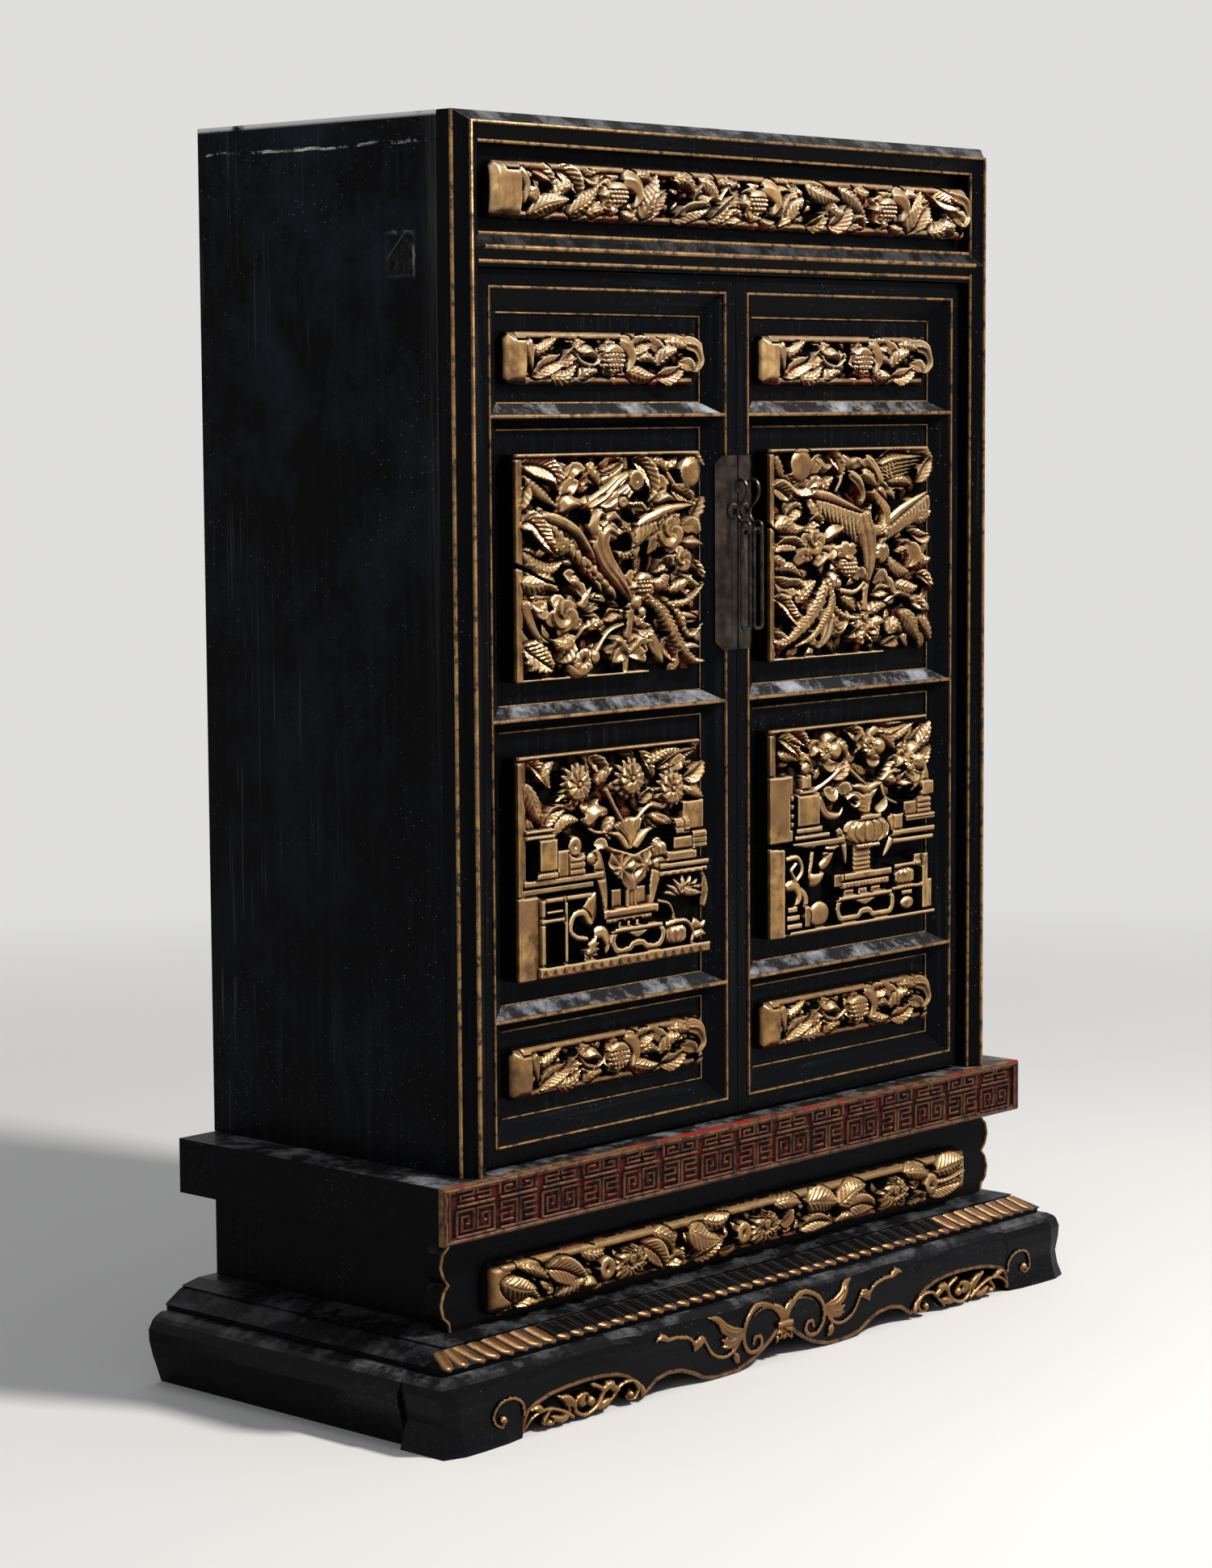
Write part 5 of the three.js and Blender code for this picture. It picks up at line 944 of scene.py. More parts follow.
def star_vase(r, u, v, half, tall, top):
    """The faceted body: two stars of chip-cut rays that meet on the middle arris."""
    spot, gu, gv = r.window(u - half, v - tall, u + half, v + tall)
    across, up = np.abs(gu - u) / half, (gv - v) / tall
    inside = (across < 1) & (up < 0.55 + 0.4 * across) & (up > -1 + 1.25 * np.maximum(across - 0.16, 0))
    a, b = (across - 0.5) * half, up * tall
    ray = np.mod(np.arctan2(b, a) / (2 * np.pi) * 8, 1) * 2 - 1
    out = np.hypot(a, b)
    body = top - 1.6 * across - 1.1 * np.maximum(-up, 0)
    body = body - 2.6 * np.clip(out / 5, 0, 1) * (1 - np.abs(ray)) + 0.6 * (across < 0.04)
    body = np.where(up > 0.4 + 0.4 * across, top - 0.6, body)
    r.undercut(spot, ~inside & (across < 1.0) & (up > -1), np.full_like(body, top - 4))
    r.lay(spot, body, inside)


def carve_left_vase(r):
    leaf, petal, stem, _, blade = tools(r)
    undergrowth(r, 31, 12, 5.6, lambda u, v: v > 84)
    edge_strips(r, 10)
    r.block(0, 0, 20, 50, 11.8, slope=-0.12)
    # flowers, leaves and stems above
    for u, v in ((54, 114), (102, 114), (139, 105)):
        r.daisy(u, v, 11.8, 13, u * 0.03)
    stem((28, 88, 30, 98, 38, 106, 46, 108), 1.6, (8, 10, 9))
    stem((82, 108, 88, 98, 97, 86, 102, 78), 1.8, (9, 9.5, 9))
    stem((132, 94, 120, 96, 110, 90, 104, 80), 1.8, (9, 10, 9))
    stem((60, 92, 70, 84, 86, 82), 1.5, (8, 9, 8))
    leaf((8, 118, 14, 108, 22, 96, 26, 88), 4.6, (12, 11.5, 9))
    leaf((12, 130, 22, 124, 32, 112), 4.4, (11, 11, 9))
    leaf((34, 130, 28, 122, 32, 112), 3.6, (10, 11, 9))
    leaf((22, 88, 32, 98, 46, 101), 4.6, (9, 11.8, 9.5))
    leaf((34, 84, 44, 92, 58, 92), 4.2, (9, 11, 9))
    petal((62, 88, 70, 95, 80, 98), 4.6, (10, 12, 9.5))
    leaf((58, 100, 68, 98, 76, 104), 3.4, (8, 10, 8.5))
    leaf((66, 130, 76, 122, 78, 112), 4, (9, 11, 9))
    leaf((72, 112, 80, 118, 88, 122), 3.8, (9, 11, 9.5))
    leaf((112, 130, 118, 122, 124, 112), 4, (9, 11.4, 9.5))
    leaf((118, 122, 132, 128, 150, 129), 3.6, (10, 11.6, 10), vein=1.4, pitch=3.6)
    leaf((128, 118, 144, 124, 164, 128), 3.2, (9, 11, 10), vein=1.4, pitch=3.6)
    petal((140, 116, 148, 122, 154, 119), 3.6, (9, 11, 9))
    leaf((151, 110, 161, 113, 171, 121), 4.2, (10, 11.6, 10))
    leaf((151, 104, 160, 103, 171, 96), 4, (10, 11.6, 10))
    for k in range(5):
        petal([(120, 90), (126 + 3 * k, 84 + (k % 2) * 3), (131 + 3 * k, 87 - k)], 2.4, (9, 10.6, 9))
    leaf((88, 92, 82, 84, 86, 76), 3.4, (9, 10.2, 8.6))
    leaf((112, 98, 120, 104, 126, 102), 3, (8, 10, 9))
    # the faceted vase on its foot
    r.block(97.5, 34, 107.5, 50, 9.6, 1.6, pattern=flutes(0.9, 3.4))
    star_vase(r, 102, 60, 21, 14.5, 13)
    r.ribbon((102, 70, 102, 80, 101, 90), 13, (8.6, 9.6, 8.8), "fan", crown=2, vein=1.4,
             pitch=3.6, slant=1.4)
    for side in (-1, 1):
        blade([(102 + side * 3, 71), (102 + side * 12, 80), (102 + side * 20, 82)], 2.8, (11, 11.8, 11))
    # carved stand: posts, knobs and rail
    blade((71, 74, 74, 60, 77, 46, 78, 31), 4.4, (10, 11.6, 11.4), groove=0.6)
    r.ball(66, 68, 4.2, 10.8)
    petal((70, 76, 78, 76, 82, 70), 3, (9, 10.6, 9))
    blade((126, 76, 126, 60, 122, 46, 118, 31), 5.2, (10.4, 11.8, 11.4), groove=0.6)
    gourd(r, 127, 68, 7.4, 5.4, 12.2, 5, 1.6)
    r.disc(127, 60, 6.4, 3.6, 11.2, lambda p, t, a, b: -1.8 * p ** 3)
    r.block(86, 36, 95, 47, 7.6, 0.8)
    r.block(109, 36, 117, 47, 7.6, 0.8)
    r.block(74, 30, 124, 35.5, 12.4, 0.8)
    r.block(78, 26.5, 120, 30, 10.2, 0.5, pattern=beads(0.8, 4.2))
    for u in (92, 100, 108):
        r.block(u - 1.4, 22, u + 1.4, 27, 9, 0.4)
    # left shelf: brush pot, box and books
    r.block(6, 55.5, 76, 60, 11, 0.6)
    r.block(6, 50.5, 70, 54.5, 8.2, 0.5)
    boxed(r, 18, 62, 34, 84, 12.4)
    boxed(r, 16, 60, 36, 63.5, 12.6)
    for k in range(2):
        r.block(8, 84 + k * 3.4, 32 + k, 86.8 + k * 3.4, 12 - k * 0.5, 0.5)
    boxed(r, 35, 60, 46, 76, 11.2)
    boxed(r, 45, 60, 59, 73, 11.8, 4.2)
    r.disc(52, 77, 6, 6, 10.2, lambda p, t, a, b: -1.6 * (p * 2 - 1.1) ** 2)
    # right shelf: boxes and jars
    r.block(126, 55, 172, 59.5, 11.8, 0.6)
    r.block(126, 51, 172, 54.5, 11, 0.4, pattern=zigzag(1, 7.2))
    boxed(r, 133, 60, 160, 66.5, 12.2)
    boxed(r, 138, 67, 156, 75, 11.8)
    boxed(r, 141, 76, 155, 86, 11.2, 5)
    boxed(r, 150, 78, 170, 96, 9)
    boxed(r, 158, 66, 172, 77, 10.4, 3.6)
    # lower left: frame, ribbon and fan
    for box in ((20, 45, 42, 48.6), (20, 7, 23.4, 47), (39.6, 7, 43, 47), (20, 33, 40, 36),
                (42, 45, 64, 48.6), (24, 38.4, 39, 40.4)):
        r.block(*box, 12, 0.5)
    blade((63, 28, 66, 38, 70, 48), 6.4, (9, 10.5, 10))
    stem((64, 30, 58, 36, 49, 35, 46, 27, 51, 22, 60, 20), 2.2, (11, 12, 11.5), groove=0.5)
    rays(blade, 63, 14, range(-118, 45, 27), (0, 9.5), 2.4, (11, 12, 11), groove=0.3)
    blade((68, 22, 76, 22, 80, 14, 78, 8), 3.8, (10, 11.6, 10.4))
    # low table, gourds and palm leaves
    kidney_table(r, 80, 132, 7.5, 23.5, 12)
    gourd(r, 143, 13.5, 9.6, 6.2, 12.4, 5, 1.8)
    stem((133, 21, 142, 22, 152, 21, 158, 14, 157, 8), 1.8, (11.5, 11.5, 11))
    rays(blade, 150, 39, range(172, -11, -26), (0, (11, 6), (20, 12)), 2.3, (10.6, 11.6, 9.5), groove=0.4)
    blade((168, 28, 170, 40, 167, 52), 3, (10, 11.4, 10), ribs=2, groove=0)
    stem((128, 36, 138, 33, 142, 26, 141, 21), 1.4, (9, 9, 9))
    blade((158, 20, 166, 16, 171, 20), 3.6, (10, 11, 10))
    blade((160, 10, 167, 12, 172, 10), 2.8, (10, 11, 10))
    base_bar(r, 18)


def carve_right_vase(r):
    leaf, petal, stem, _, blade = tools(r)
    undergrowth(r, 47, 12, 5.6, lambda u, v: v > 80)
    edge_strips(r, 9)
    r.block(0, 0, 15.5, 58, 12, 1)
    r.block(0, 61, 23, 104, 12.2, 1.2)
    # flowers, leaves and stems above
    for u, v, wide in ((57, 117, 7.6), (103, 117, 8.2), (146, 104, 7.6)):
        petal([(u - 2, v - 6), (u + 6, v - 10), (u + 15, v - 9)], 3.8, (10, 11.4, 9.5), ribs=0)
        petal([(u - 3, v + 5), (u - 10, v + 3), (u - 14, v - 5)], 3.8, (10, 11.2, 9), ribs=0)
        petal([(u, v + 6), (u + 7, v + 9), (u + 15, v + 8)], 3.4, (10, 11.2, 9), ribs=0)
        r.ball(u + 12, v - 1, 6.2, 12.2, 3.4, 0.9)
        r.wheel(u, v, wide * 0.86, 13.2, 11, u * 0.05)
    stem((50, 92, 62, 98, 74, 104, 84, 104), 1.8, (9, 11, 9.5))
    stem((84, 104, 92, 98, 104, 90, 110, 86), 1.8, (9, 10, 9))
    stem((108, 84, 116, 92, 126, 98, 138, 98), 1.8, (9.5, 10.5, 9))
    stem((118, 92, 122, 82, 134, 77), 1.5, (9, 9.5, 9))
    leaf((10, 128, 20, 126, 30, 120, 36, 112), 4.6, (12, 11, 9))
    leaf((10, 118, 22, 117, 34, 112), 3.6, (11.5, 11, 9))
    leaf((20, 132, 32, 128, 44, 120), 3.6, (9, 10.8, 9))
    leaf((36, 118, 42, 108, 50, 102), 3.8, (9, 11, 9))
    leaf((68, 98, 76, 104, 82, 112), 4.2, (9, 11.6, 9))
    leaf((72, 122, 80, 118, 82, 110), 3.8, (9, 11, 9))
    leaf((82, 130, 92, 124, 96, 112), 4, (9, 11.2, 9))
    leaf((112, 126, 122, 122, 134, 112), 4, (9, 11.4, 9.5))
    leaf((106, 131, 124, 128, 146, 130), 3, (9, 11, 10))
    leaf((124, 120, 138, 124, 154, 130), 3.4, (9, 11, 10), vein=1.2, pitch=3.6)
    leaf((120, 100, 128, 106, 136, 104), 4, (9, 11.4, 9.5))
    leaf((122, 96, 130, 92, 136, 92), 3.4, (9, 11, 9))
    leaf((136, 90, 148, 94, 152, 88, 148, 82), 3.8, (9, 11, 9.5))
    leaf((156, 114, 164, 120, 171, 130), 4.2, (10, 11.6, 10))
    leaf((158, 98, 165, 106, 171, 114), 3.8, (9, 11, 10))
    blade((162, 78, 166, 92, 164, 104), 3.8, (9, 10.6, 9))
    petal((58, 92, 66, 88, 72, 92), 4.2, (10, 11.4, 9.5), ribs=1)
    blade((54, 88, 60, 76, 72, 74, 78, 80), 3, (9.5, 11, 10))
    petal((72, 92, 80, 90, 84, 84), 4, (10, 11.2, 9.5))
    stem((82, 84, 88, 86, 94, 82, 90, 78, 86, 80), 1.5, (10, 11, 10))
    # the ribbed bowl with its flared neck, on a column and stand
    r.block(88, 36, 106, 54, 9.6, 1.4, pattern=steps(0.9, 3.1))
    r.ribbon((102, 71, 101, 82, 100, 92), 13, (11, 11, 11.8), "fan", crown=4, vein=0.9, pitch=3,
             slant=0.3)
    for side in (-1, 1):
        blade([(101, 88), (101 + side * 8, 91), (101 + side * 17, 92)], 2.4, (11.6, 12, 11))
    gourd(r, 102, 61, 23, 8.8, 13.1, 7)
    r.block(92, 69, 114, 72.4, 12.2, 0.7)
    r.block(90, 50, 114, 53, 11.4, 0.6, pattern=beads(0.8, 3.2))
    blade((73, 66, 78, 54, 80, 40), 3, (9.6, 11, 10))
    blade((127, 70, 132, 60, 125, 50, 119, 42), 4, (9.6, 11.4, 10))
    petal((113, 72, 120, 76, 122, 82), 3, (9.4, 11, 9.4))
    blade((60, 46, 66, 54, 74, 54), 4.6, (9.5, 11.4, 10))
    blade((54, 41, 60, 44, 68, 52), 3.4, (9, 10.6, 10))
    r.block(72, 30.4, 125, 35.6, 12.4, 0.7)
    r.block(74, 25, 124, 30, 11.4, 0.5, pattern=beads(1.2, 3.6))
    r.block(66, 27, 74, 36, 10.6, 0.8)
    for u in (84, 98, 112):
        r.block(u - 5, 20.5, u + 5, 24.6, 9.2, 0.4, pattern=flutes(0.7, 3.4))
    kidney_table(r, 66, 130, 4, 20.5, 12)
    # left shelf: covered jar on a roped rail
    r.block(24, 55.6, 78, 60, 10.6, 0.6)
    r.block(26, 61, 62, 64.6, 11.8, 0.5, pattern=rope(1, 3))
    r.block(28, 65, 54, 69.6, 11.6, 0.7, pattern=flutes(0.5, 8))
    r.block(27, 70, 50, 91, 12.5, 1.4)
    r.block(30, 91, 47, 94, 12, 0.6)
    r.block(34, 94, 43, 103, 11.2, 1.2)
    r.ball(38.5, 107, 4, 11)
    for k in range(4):
        r.block(21, 70 + k * 5.6, 26.4, 73.6 + k * 5.6, 10.4, 0.6)
    # right shelf: books and boxes
    r.block(126, 55.4, 172, 60, 11.8, 0.6)
    r.block(128, 50, 172, 53.6, 10.6, 0.5)
    boxed(r, 140, 64, 172, 69, 12.2, 2.6)
    boxed(r, 152, 69, 168, 80, 11.8, 3.4)
    boxed(r, 138, 69, 152, 78, 11.4)
    boxed(r, 160, 80, 172, 90, 10.8)
    r.block(130, 60, 139, 70, 10.6, 1)
    # lower left: scrolls, jar and rocks
    stem((20, 50, 30, 50, 34, 42, 28, 36, 23, 42, 27, 46), 1.9, (10.5, 11.6, 11.5))
    stem((46, 54, 44, 46, 42, 38, 44, 32), 1.9, (10, 11, 10))
    blade((18, 32, 28, 32, 32, 24, 26, 16), 3.6, (10.5, 11.6, 10))
    blade((34, 30, 40, 22, 36, 10), 2.6, (9, 10.4, 9))
    for k in range(3):
        r.block(18 + k, 4 + k * 5.4, 34 - 2 * k, 8 + k * 5.4, 11 - k * 0.4, 1)
    blade((42, 34, 50, 34, 58, 38), 4.4, (9.5, 11, 10))
    r.disc(51, 11.5, 10.5, 8.6, 12.6, lambda p, t, a, b: -2.8 * p ** 3)
    r.block(36, 4, 42, 18, 10.8, 0.8)
    # lower right: censer on its table between posts
    r.block(128, 33.6, 157, 36.8, 12, 0.6)
    gourd(r, 142, 27.5, 10.5, 6, 12.2, 5, 1.4)
    r.block(126, 19, 160, 22.2, 11.8, 0.5, pattern=beads(0.9, 3))
    r.block(138, 14.6, 150, 18.4, 10, 0.6)
    r.disc(144, 9.5, 7.4, 4.6, 11.8, lambda p, t, a, b: -2.2 * p ** 3)
    r.block(158, 4, 164.5, 42, 12, 0.9)
    r.block(151, 34, 158, 42, 10.6, 0.8)
    r.block(166, 4, 171, 24, 10.2, 0.7)
    r.block(20, 0.4, 172, 3.6, 12.2, 0.5)
    r.crack((0, 60, 24, 57, 50, 53, 76, 50), 1.3)


def carve_short(r, seed, head):
    """A short door plaque: a seed head among leaves, with a plain end on the left."""
    leaf, petal, stem, _, blade = tools(r, lower=2.6)
    undergrowth(r, seed, 7.5, 5.6, lambda u, v: u > 16)
    r.block(1, 0.5, 20, 31.4, 9.8, 5, ease=6)
    r.block(10, 27, 170, 31.6, 7.8, 2, ease=2.5)
    r.block(10, 0.3, 168, 4.6, 6.6, 2, ease=2.5)
    leaf((18, 22, 28, 20, 40, 25, 48, 29), 3.6, (11.5, 12, 10))
    blade((21, 27, 22, 17, 24, 8), 2.6, (12, 12, 10))
    leaf((24, 5, 34, 11, 46, 15, 52, 22), 4.6, (10.5, 12.2, 10))
    leaf((40, 5, 52, 5, 62, 12), 4.4)
    leaf((46, 12, 56, 18, 64, 27), 4.2)
    petal((58, 27, 64, 23, 72, 25), 3.4, (10, 11.6, 10))
    petal((64, 18, 72, 20, 80, 16), 3.2, (10, 11.8, 10))
    leaf((64, 4, 72, 9, 82, 8), 3.8)
    stem((60, 20, 66, 14, 76, 12, 84, 16), 1.4, (10, 10.5, 10))
    rays(petal, head - 1, 16, range(110, 271, 40), (7, (12.5, 11.5)), 3.8, (10.4, 11.4, 9.6))
    blade(moved((7, 27, 14, 24, 17.5, 16, 12, 7), head), 4.4, (10.5, 12, 11), groove=0)
    r.seeds(head, 16, 9.6, 8.8, 11, 3.1)
    leaf([(head + 12, 9), (122, 5), (134, 6)], 4.2)
    leaf([(head + 16, 20), (118, 25), (130, 26)], 4.2)
    leaf((114, 16, 124, 18, 134, 13), 3.4, (10, 11.6, 10))
    petal((126, 27, 134, 22, 136, 14), 3.4, (10, 11.6, 10))
    leaf((132, 12, 142, 19, 154, 22), 4.6, (10, 12.4, 10.5))
    leaf((134, 5, 146, 6, 158, 12), 4.6, (10, 12.2, 10.5))
    leaf((140, 27, 152, 27, 164, 22), 4, (10, 12, 10.5))
    blade((158, 26, 168, 24, 173, 15, 168, 7), 4.4, (11, 12.4, 11), ribs=2, groove=0)
    petal((154, 14, 162, 12, 168, 8), 3.4, (10, 12, 10))
    r.pillow(0.34, 0.3, 6)


def carve_frieze(r):
    """The long plaque above the doors: three seed heads in running leaves."""
    leaf, petal, stem, _, blade = tools(r, 1.3, 1.6)
    undergrowth(r, 59, 8, 6.2, lambda u, v: 26 < u)
    r.block(2, 1, 28, 34, 11, 4, ease=5.5)
    r.block(14, 29, 452, 34.6, 9, 2.4, ease=3)
    r.block(14, 0.4, 450, 5.4, 7.4, 2.2, ease=3)
    blade((27, 30, 31, 20, 29, 8), 3, (12, 12.4, 11))
    r.petals(37, 15, 5.4, 5.4, 10.6, 5, 0.4)
    for k, start in enumerate((30, 156, 282, 408)):
        flip = None if k < 2 else 34
        last = start + 112 > r.width
        leaf(moved((4, 3, 18, 9, 40, 13), start, flip), 5, (10.4, 12.4, 10.4))
        leaf(moved((6, 30, 18, 27, 26, 18), start, flip), 4.4, (10.4, 12.2, 10))
        leaf(moved((24, 12, 30, 20, 44, 21), start, flip), 4.2, pitch=3.4)
        if last:
            continue
        leaf(moved((28, 30, 38, 26, 47, 14), start, flip), 5.2, (10.6, 12.5, 10.4))
        leaf(moved((38, 4, 52, 12, 66, 24), start, flip), 5, (10.4, 12.4, 10))
        leaf(moved((46, 30, 56, 26, 66, 29), start, flip), 3.8)
        stem(moved((48, 18, 54, 24, 60, 20), start, flip), 1.5, (10, 10.5, 10))
        leaf(moved((54, 5, 62, 8, 70, 6), start, flip), 3.8)
    for head in (109.4, 238.4, 368.4):
        rays(petal, head - 2, 17, range(115, 256, 35), (6, (14.5, 12.5)), 4.2, (11, 12.4, 10.4))
        blade(moved((6, 27, 15, 25, 19, 17, 14, 9), head), 5.4, (10.8, 12.6, 11), groove=0)
        petal(moved((4, 6, 10, 4, 17, 6), head), 3.2, (10, 11.8, 10))
        r.seeds(head, 17, 9.4, 7.8, 11.2)
        leaf(moved((22, 3, 29, 15, 38, 31), head), 5.2, (10.6, 12.6, 10.6), vein=1)
        leaf(moved((31, 4, 36, 14, 45, 22), head), 4.2, (10, 12.2, 10.4), vein=1)
        leaf(moved((18, 28, 26, 29, 33, 25), head), 3.6)
    blade((436, 31, 450, 27, 456, 16, 448, 7), 5.2, (11, 12.6, 11), ribs=2, groove=0)
    petal((440, 18, 446, 13, 452, 9), 3.6, (10, 12, 10))
    leaf((424, 5, 434, 7, 444, 4), 4)
    r.pillow(0.34, 0.3, 7)


def carve_waist(r):
    """The plaque on the waist: veined leaves between three half flowers."""
    leaf, petal, stem, _, blade = tools(r, 1.35)
    undergrowth(r, 71, 8, 7.4, lambda u, v: 8 < u < 458)
    r.block(10, 25, 456, 31, 10.4, 2.4, ease=3)
    r.block(12, 0.4, 454, 4, 8, 2.2, ease=3)
    for left, right in ((1, 20), (440, 465)):
        r.block(left, 1.4, right, 29.6, 9, 3.4, ease=5)
    vein = dict(vein=1.2, pitch=3.8, groove=1.1, slant=1, crown=3)
    for u in (120, 248, 381):
        rays(blade, u, 13, range(168, 369, 25), ((4, 2), (11, 7), (17, 12)), 2.9, (13, 13.2, 11),
             groove=0.3)
        rays(blade, u, 15, range(20, 159, 23), ((3, 2), (13, 9)), 3, (13.2, 13.4, 11.5), groove=0.3)
        r.ball(u, 15, 3.6, 13.6)
    for u in (98, 226, 420):
        r.disc(u, 13, 7, 7.6, 12.6, lambda p, t, a, b: -1.8 * (p * 2.1 - 1.3) ** 2)
    leaf((8, 20, 22, 14, 40, 10), 5.4, (12, 13, 10), **vein)
    leaf((20, 4, 30, 8, 42, 4), 4)
    leaf((22, 28, 36, 24, 52, 14), 3.4, (11, 12.4, 10))
    leaf((46, 22, 62, 18, 82, 8), 6.4, (12, 13.6, 11), **vein)
    leaf((56, 3, 68, 5, 84, 12), 3.8, (11, 12.6, 11))
    petal((78, 6, 86, 6, 92, 3), 3.4, (11, 12.4, 10))
    leaf((76, 28, 88, 24, 100, 25), 3.8)
    leaf((132, 22, 144, 14, 154, 3), 5.8, (12, 13.6, 11), **vein)
    leaf((142, 27, 154, 22, 162, 12), 4.8, (11, 13, 10.6))
    leaf((156, 5, 164, 8, 172, 4), 4, (11, 12.6, 11))
    leaf((174, 24, 188, 16, 206, 12), 6.8, (12, 13.6, 11), **vein)
    leaf((180, 4, 194, 6, 210, 14), 3.8, (11, 12.6, 11))
    leaf((190, 27, 202, 24, 216, 27), 4.4, (11, 13, 11), **vein)
    petal((206, 4, 214, 4, 222, 7), 3.2, (10, 12, 10))
    leaf((258, 26, 272, 27, 286, 22), 4.6, (11, 13, 11))
    petal((264, 12, 272, 15, 278, 20), 4.4, (11, 12.6, 10.6))
    leaf((290, 22, 304, 21, 322, 17), 7.4, (12, 13.7, 11.5), **vein)
    leaf((284, 5, 300, 8, 318, 5), 4.2, (11, 12.8, 11))
    leaf((322, 15, 338, 23, 352, 24), 6, (12, 13.4, 11.4), **vein)
    leaf((330, 10, 346, 12, 362, 8), 5.6, (12, 13.4, 11), **vein)
    leaf((322, 3, 332, 5, 342, 2), 3.2)
    petal((366, 4, 372, 10, 376, 16), 4, (11, 12.6, 10.6))
    leaf((392, 26, 408, 24, 424, 17), 4.6, (12, 13, 11))
    leaf((398, 4, 410, 6, 418, 3), 3.6)
    leaf((426, 21, 442, 23, 460, 25), 7, (12, 13.7, 11.4), **vein)
    leaf((416, 8, 436, 9, 456, 10), 5, (11, 13, 11), **vein)
    stem((420, 14, 436, 13, 458, 16), 1.6, (11.5, 12, 11))
    r.pillow(0.30, 0.4, 12)


# Making pieces

def piece_from(name, points, faces, material=None, body=None, smooth=None, edges=()):
    """A finished piece, given in millimetres in the cabinet's own frame."""
    mesh = bpy.data.meshes.new(name)
    mesh.from_pydata(np.asarray(points, float) * MM, edges, faces)
    mesh.validate()
    mesh.update()
    made = bpy.data.objects.new(name, mesh)
    bpy.context.scene.collection.objects.link(made)
    return finish_piece(made, material, body, smooth)


def finish_piece(made, material, body, smooth=None):
    """Gives a piece its material and shading, and has it ride on its body."""
    mesh = made.data
    if material:
        mesh.materials.clear()
        mesh.materials.append(material)
    if smooth is not None and len(mesh.polygons):
        mesh.polygons.foreach_set("use_smooth", [True] * len(mesh.polygons))
        mesh.set_sharp_from_angle(angle=math.radians(smooth))
    if body:
        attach(made, body)
    return made


def paint(mesh, name, values):
    """Keeps one value from 0 to 1 for each point, for the finish to read."""
    layer = mesh.attributes.new(name, "FLOAT", "POINT")
    layer.data.foreach_set("value", np.clip(values, 0, 1).astype(np.float32))


def shell(top, low):
    """The points and faces of a closed sheet between two grids; the first one looks outward."""
    rows, columns = top.shape[:2]
    index = np.arange(rows * columns).reshape(rows, columns)
    a, b, c, d = index[:-1, :-1], index[:-1, 1:], index[1:, 1:], index[1:, :-1]
    rim = np.concatenate([index[0, :-1], index[:-1, -1], index[-1, :0:-1], index[:0:-1, 0]])
    turn, under = np.roll(rim, -1), rows * columns
    faces = [np.stack([a, d, c, b], -1).reshape(-1, 4), np.stack([a, b, c, d], -1).reshape(-1, 4) + under,
             np.stack([rim, turn, turn + under, rim + under], -1)]
    return np.vstack([top.reshape(-1, 3), low.reshape(-1, 3)]), np.vstack(faces)


def outline_of(relief, corner):
    """Which cells of a board are kept, with its corners cut off."""
    mid_u = (relief.u[:-1] + relief.u[1:]) / 2
    mid_v = (relief.v[:-1] + relief.v[1:]) / 2
    gu, gv = np.meshgrid(np.minimum(mid_u, relief.width - mid_u),
                         np.minimum(mid_v, relief.height - mid_v))
    return gu + gv >= corner


def carved_piece(name, relief, kept, front, back, material, body, corner=0.0):
    """Turns a relief into a closed solid. front gives points from (across, up, height), and back from
    (across, up); with no back the piece is flat behind."""
    rows, columns = relief.h.shape
    index = np.arange(rows * columns).reshape(rows, columns)
    gu, gv = np.meshgrid(relief.u, relief.v)
    if corner:
        near_u, near_v = np.minimum(gu, relief.width - gu), np.minimum(gv, relief.height - gv)
        short = np.maximum(corner - near_u - near_v, 0) / 2
        gu = gu + short * np.where(gu < relief.width / 2, 1, -1)
        gv = gv + short * np.where(gv < relief.height / 2, 1, -1)
    r, c = np.nonzero(kept)
    a, b, d, e = index[r, c], index[r, c + 1], index[r + 1, c + 1], index[r + 1, c]
    faces = np.stack([a, b, d, e], 1)
    wide = np.zeros((rows + 1, columns + 1), bool)
    wide[1:-1, 1:-1] = kept
    rims = []
    for step, (first, last) in (((-1, 0), (a, b)), ((0, 1), (b, d)), ((1, 0), (d, e)), ((0, -1), (e, a))):
        open_side = ~wide[r + 1 + step[0], c + 1 + step[1]]
        rims.append(np.stack([first[open_side], last[open_side]], 1))
    rims = np.vstack(rims)
    used = np.unique(faces)
    place = np.full(rows * columns, -1)
    place[used] = np.arange(len(used))
    top = front(gu.ravel()[used], gv.ravel()[used], relief.h.ravel()[used])
    under = used if back else np.unique(rims)
    below = np.full(rows * columns, -1)
    below[under] = len(used) + np.arange(len(under))
    if back:
        low = back(gu.ravel()[under], gv.ravel()[under])
    else:
        low = front(gu.ravel()[under], gv.ravel()[under], np.zeros(len(under)))
    points = np.vstack([top, low])
    sides = [place[rims[:, 1]], place[rims[:, 0]], below[rims[:, 0]], below[rims[:, 1]]]
    quads = [tuple(q) for q in place[faces].tolist() + np.stack(sides, 1).tolist()]
    if back:
        quads += [tuple(reversed(q)) for q in below[faces].tolist()]
    else:
        following = {int(first): int(last) for first, last in rims}
        start = int(rims[0, 0])
        loop, at = [start], following[start]
        while at != start:
            loop.append(at)
            at = following[at]
        quads.append(tuple(int(below[k]) for k in reversed(loop)))
    made = piece_from(name, points, quads, material, smooth=52)
    paint_shade_and_wear(made.data, relief, used, under)
    return finish_piece(made, None, body)


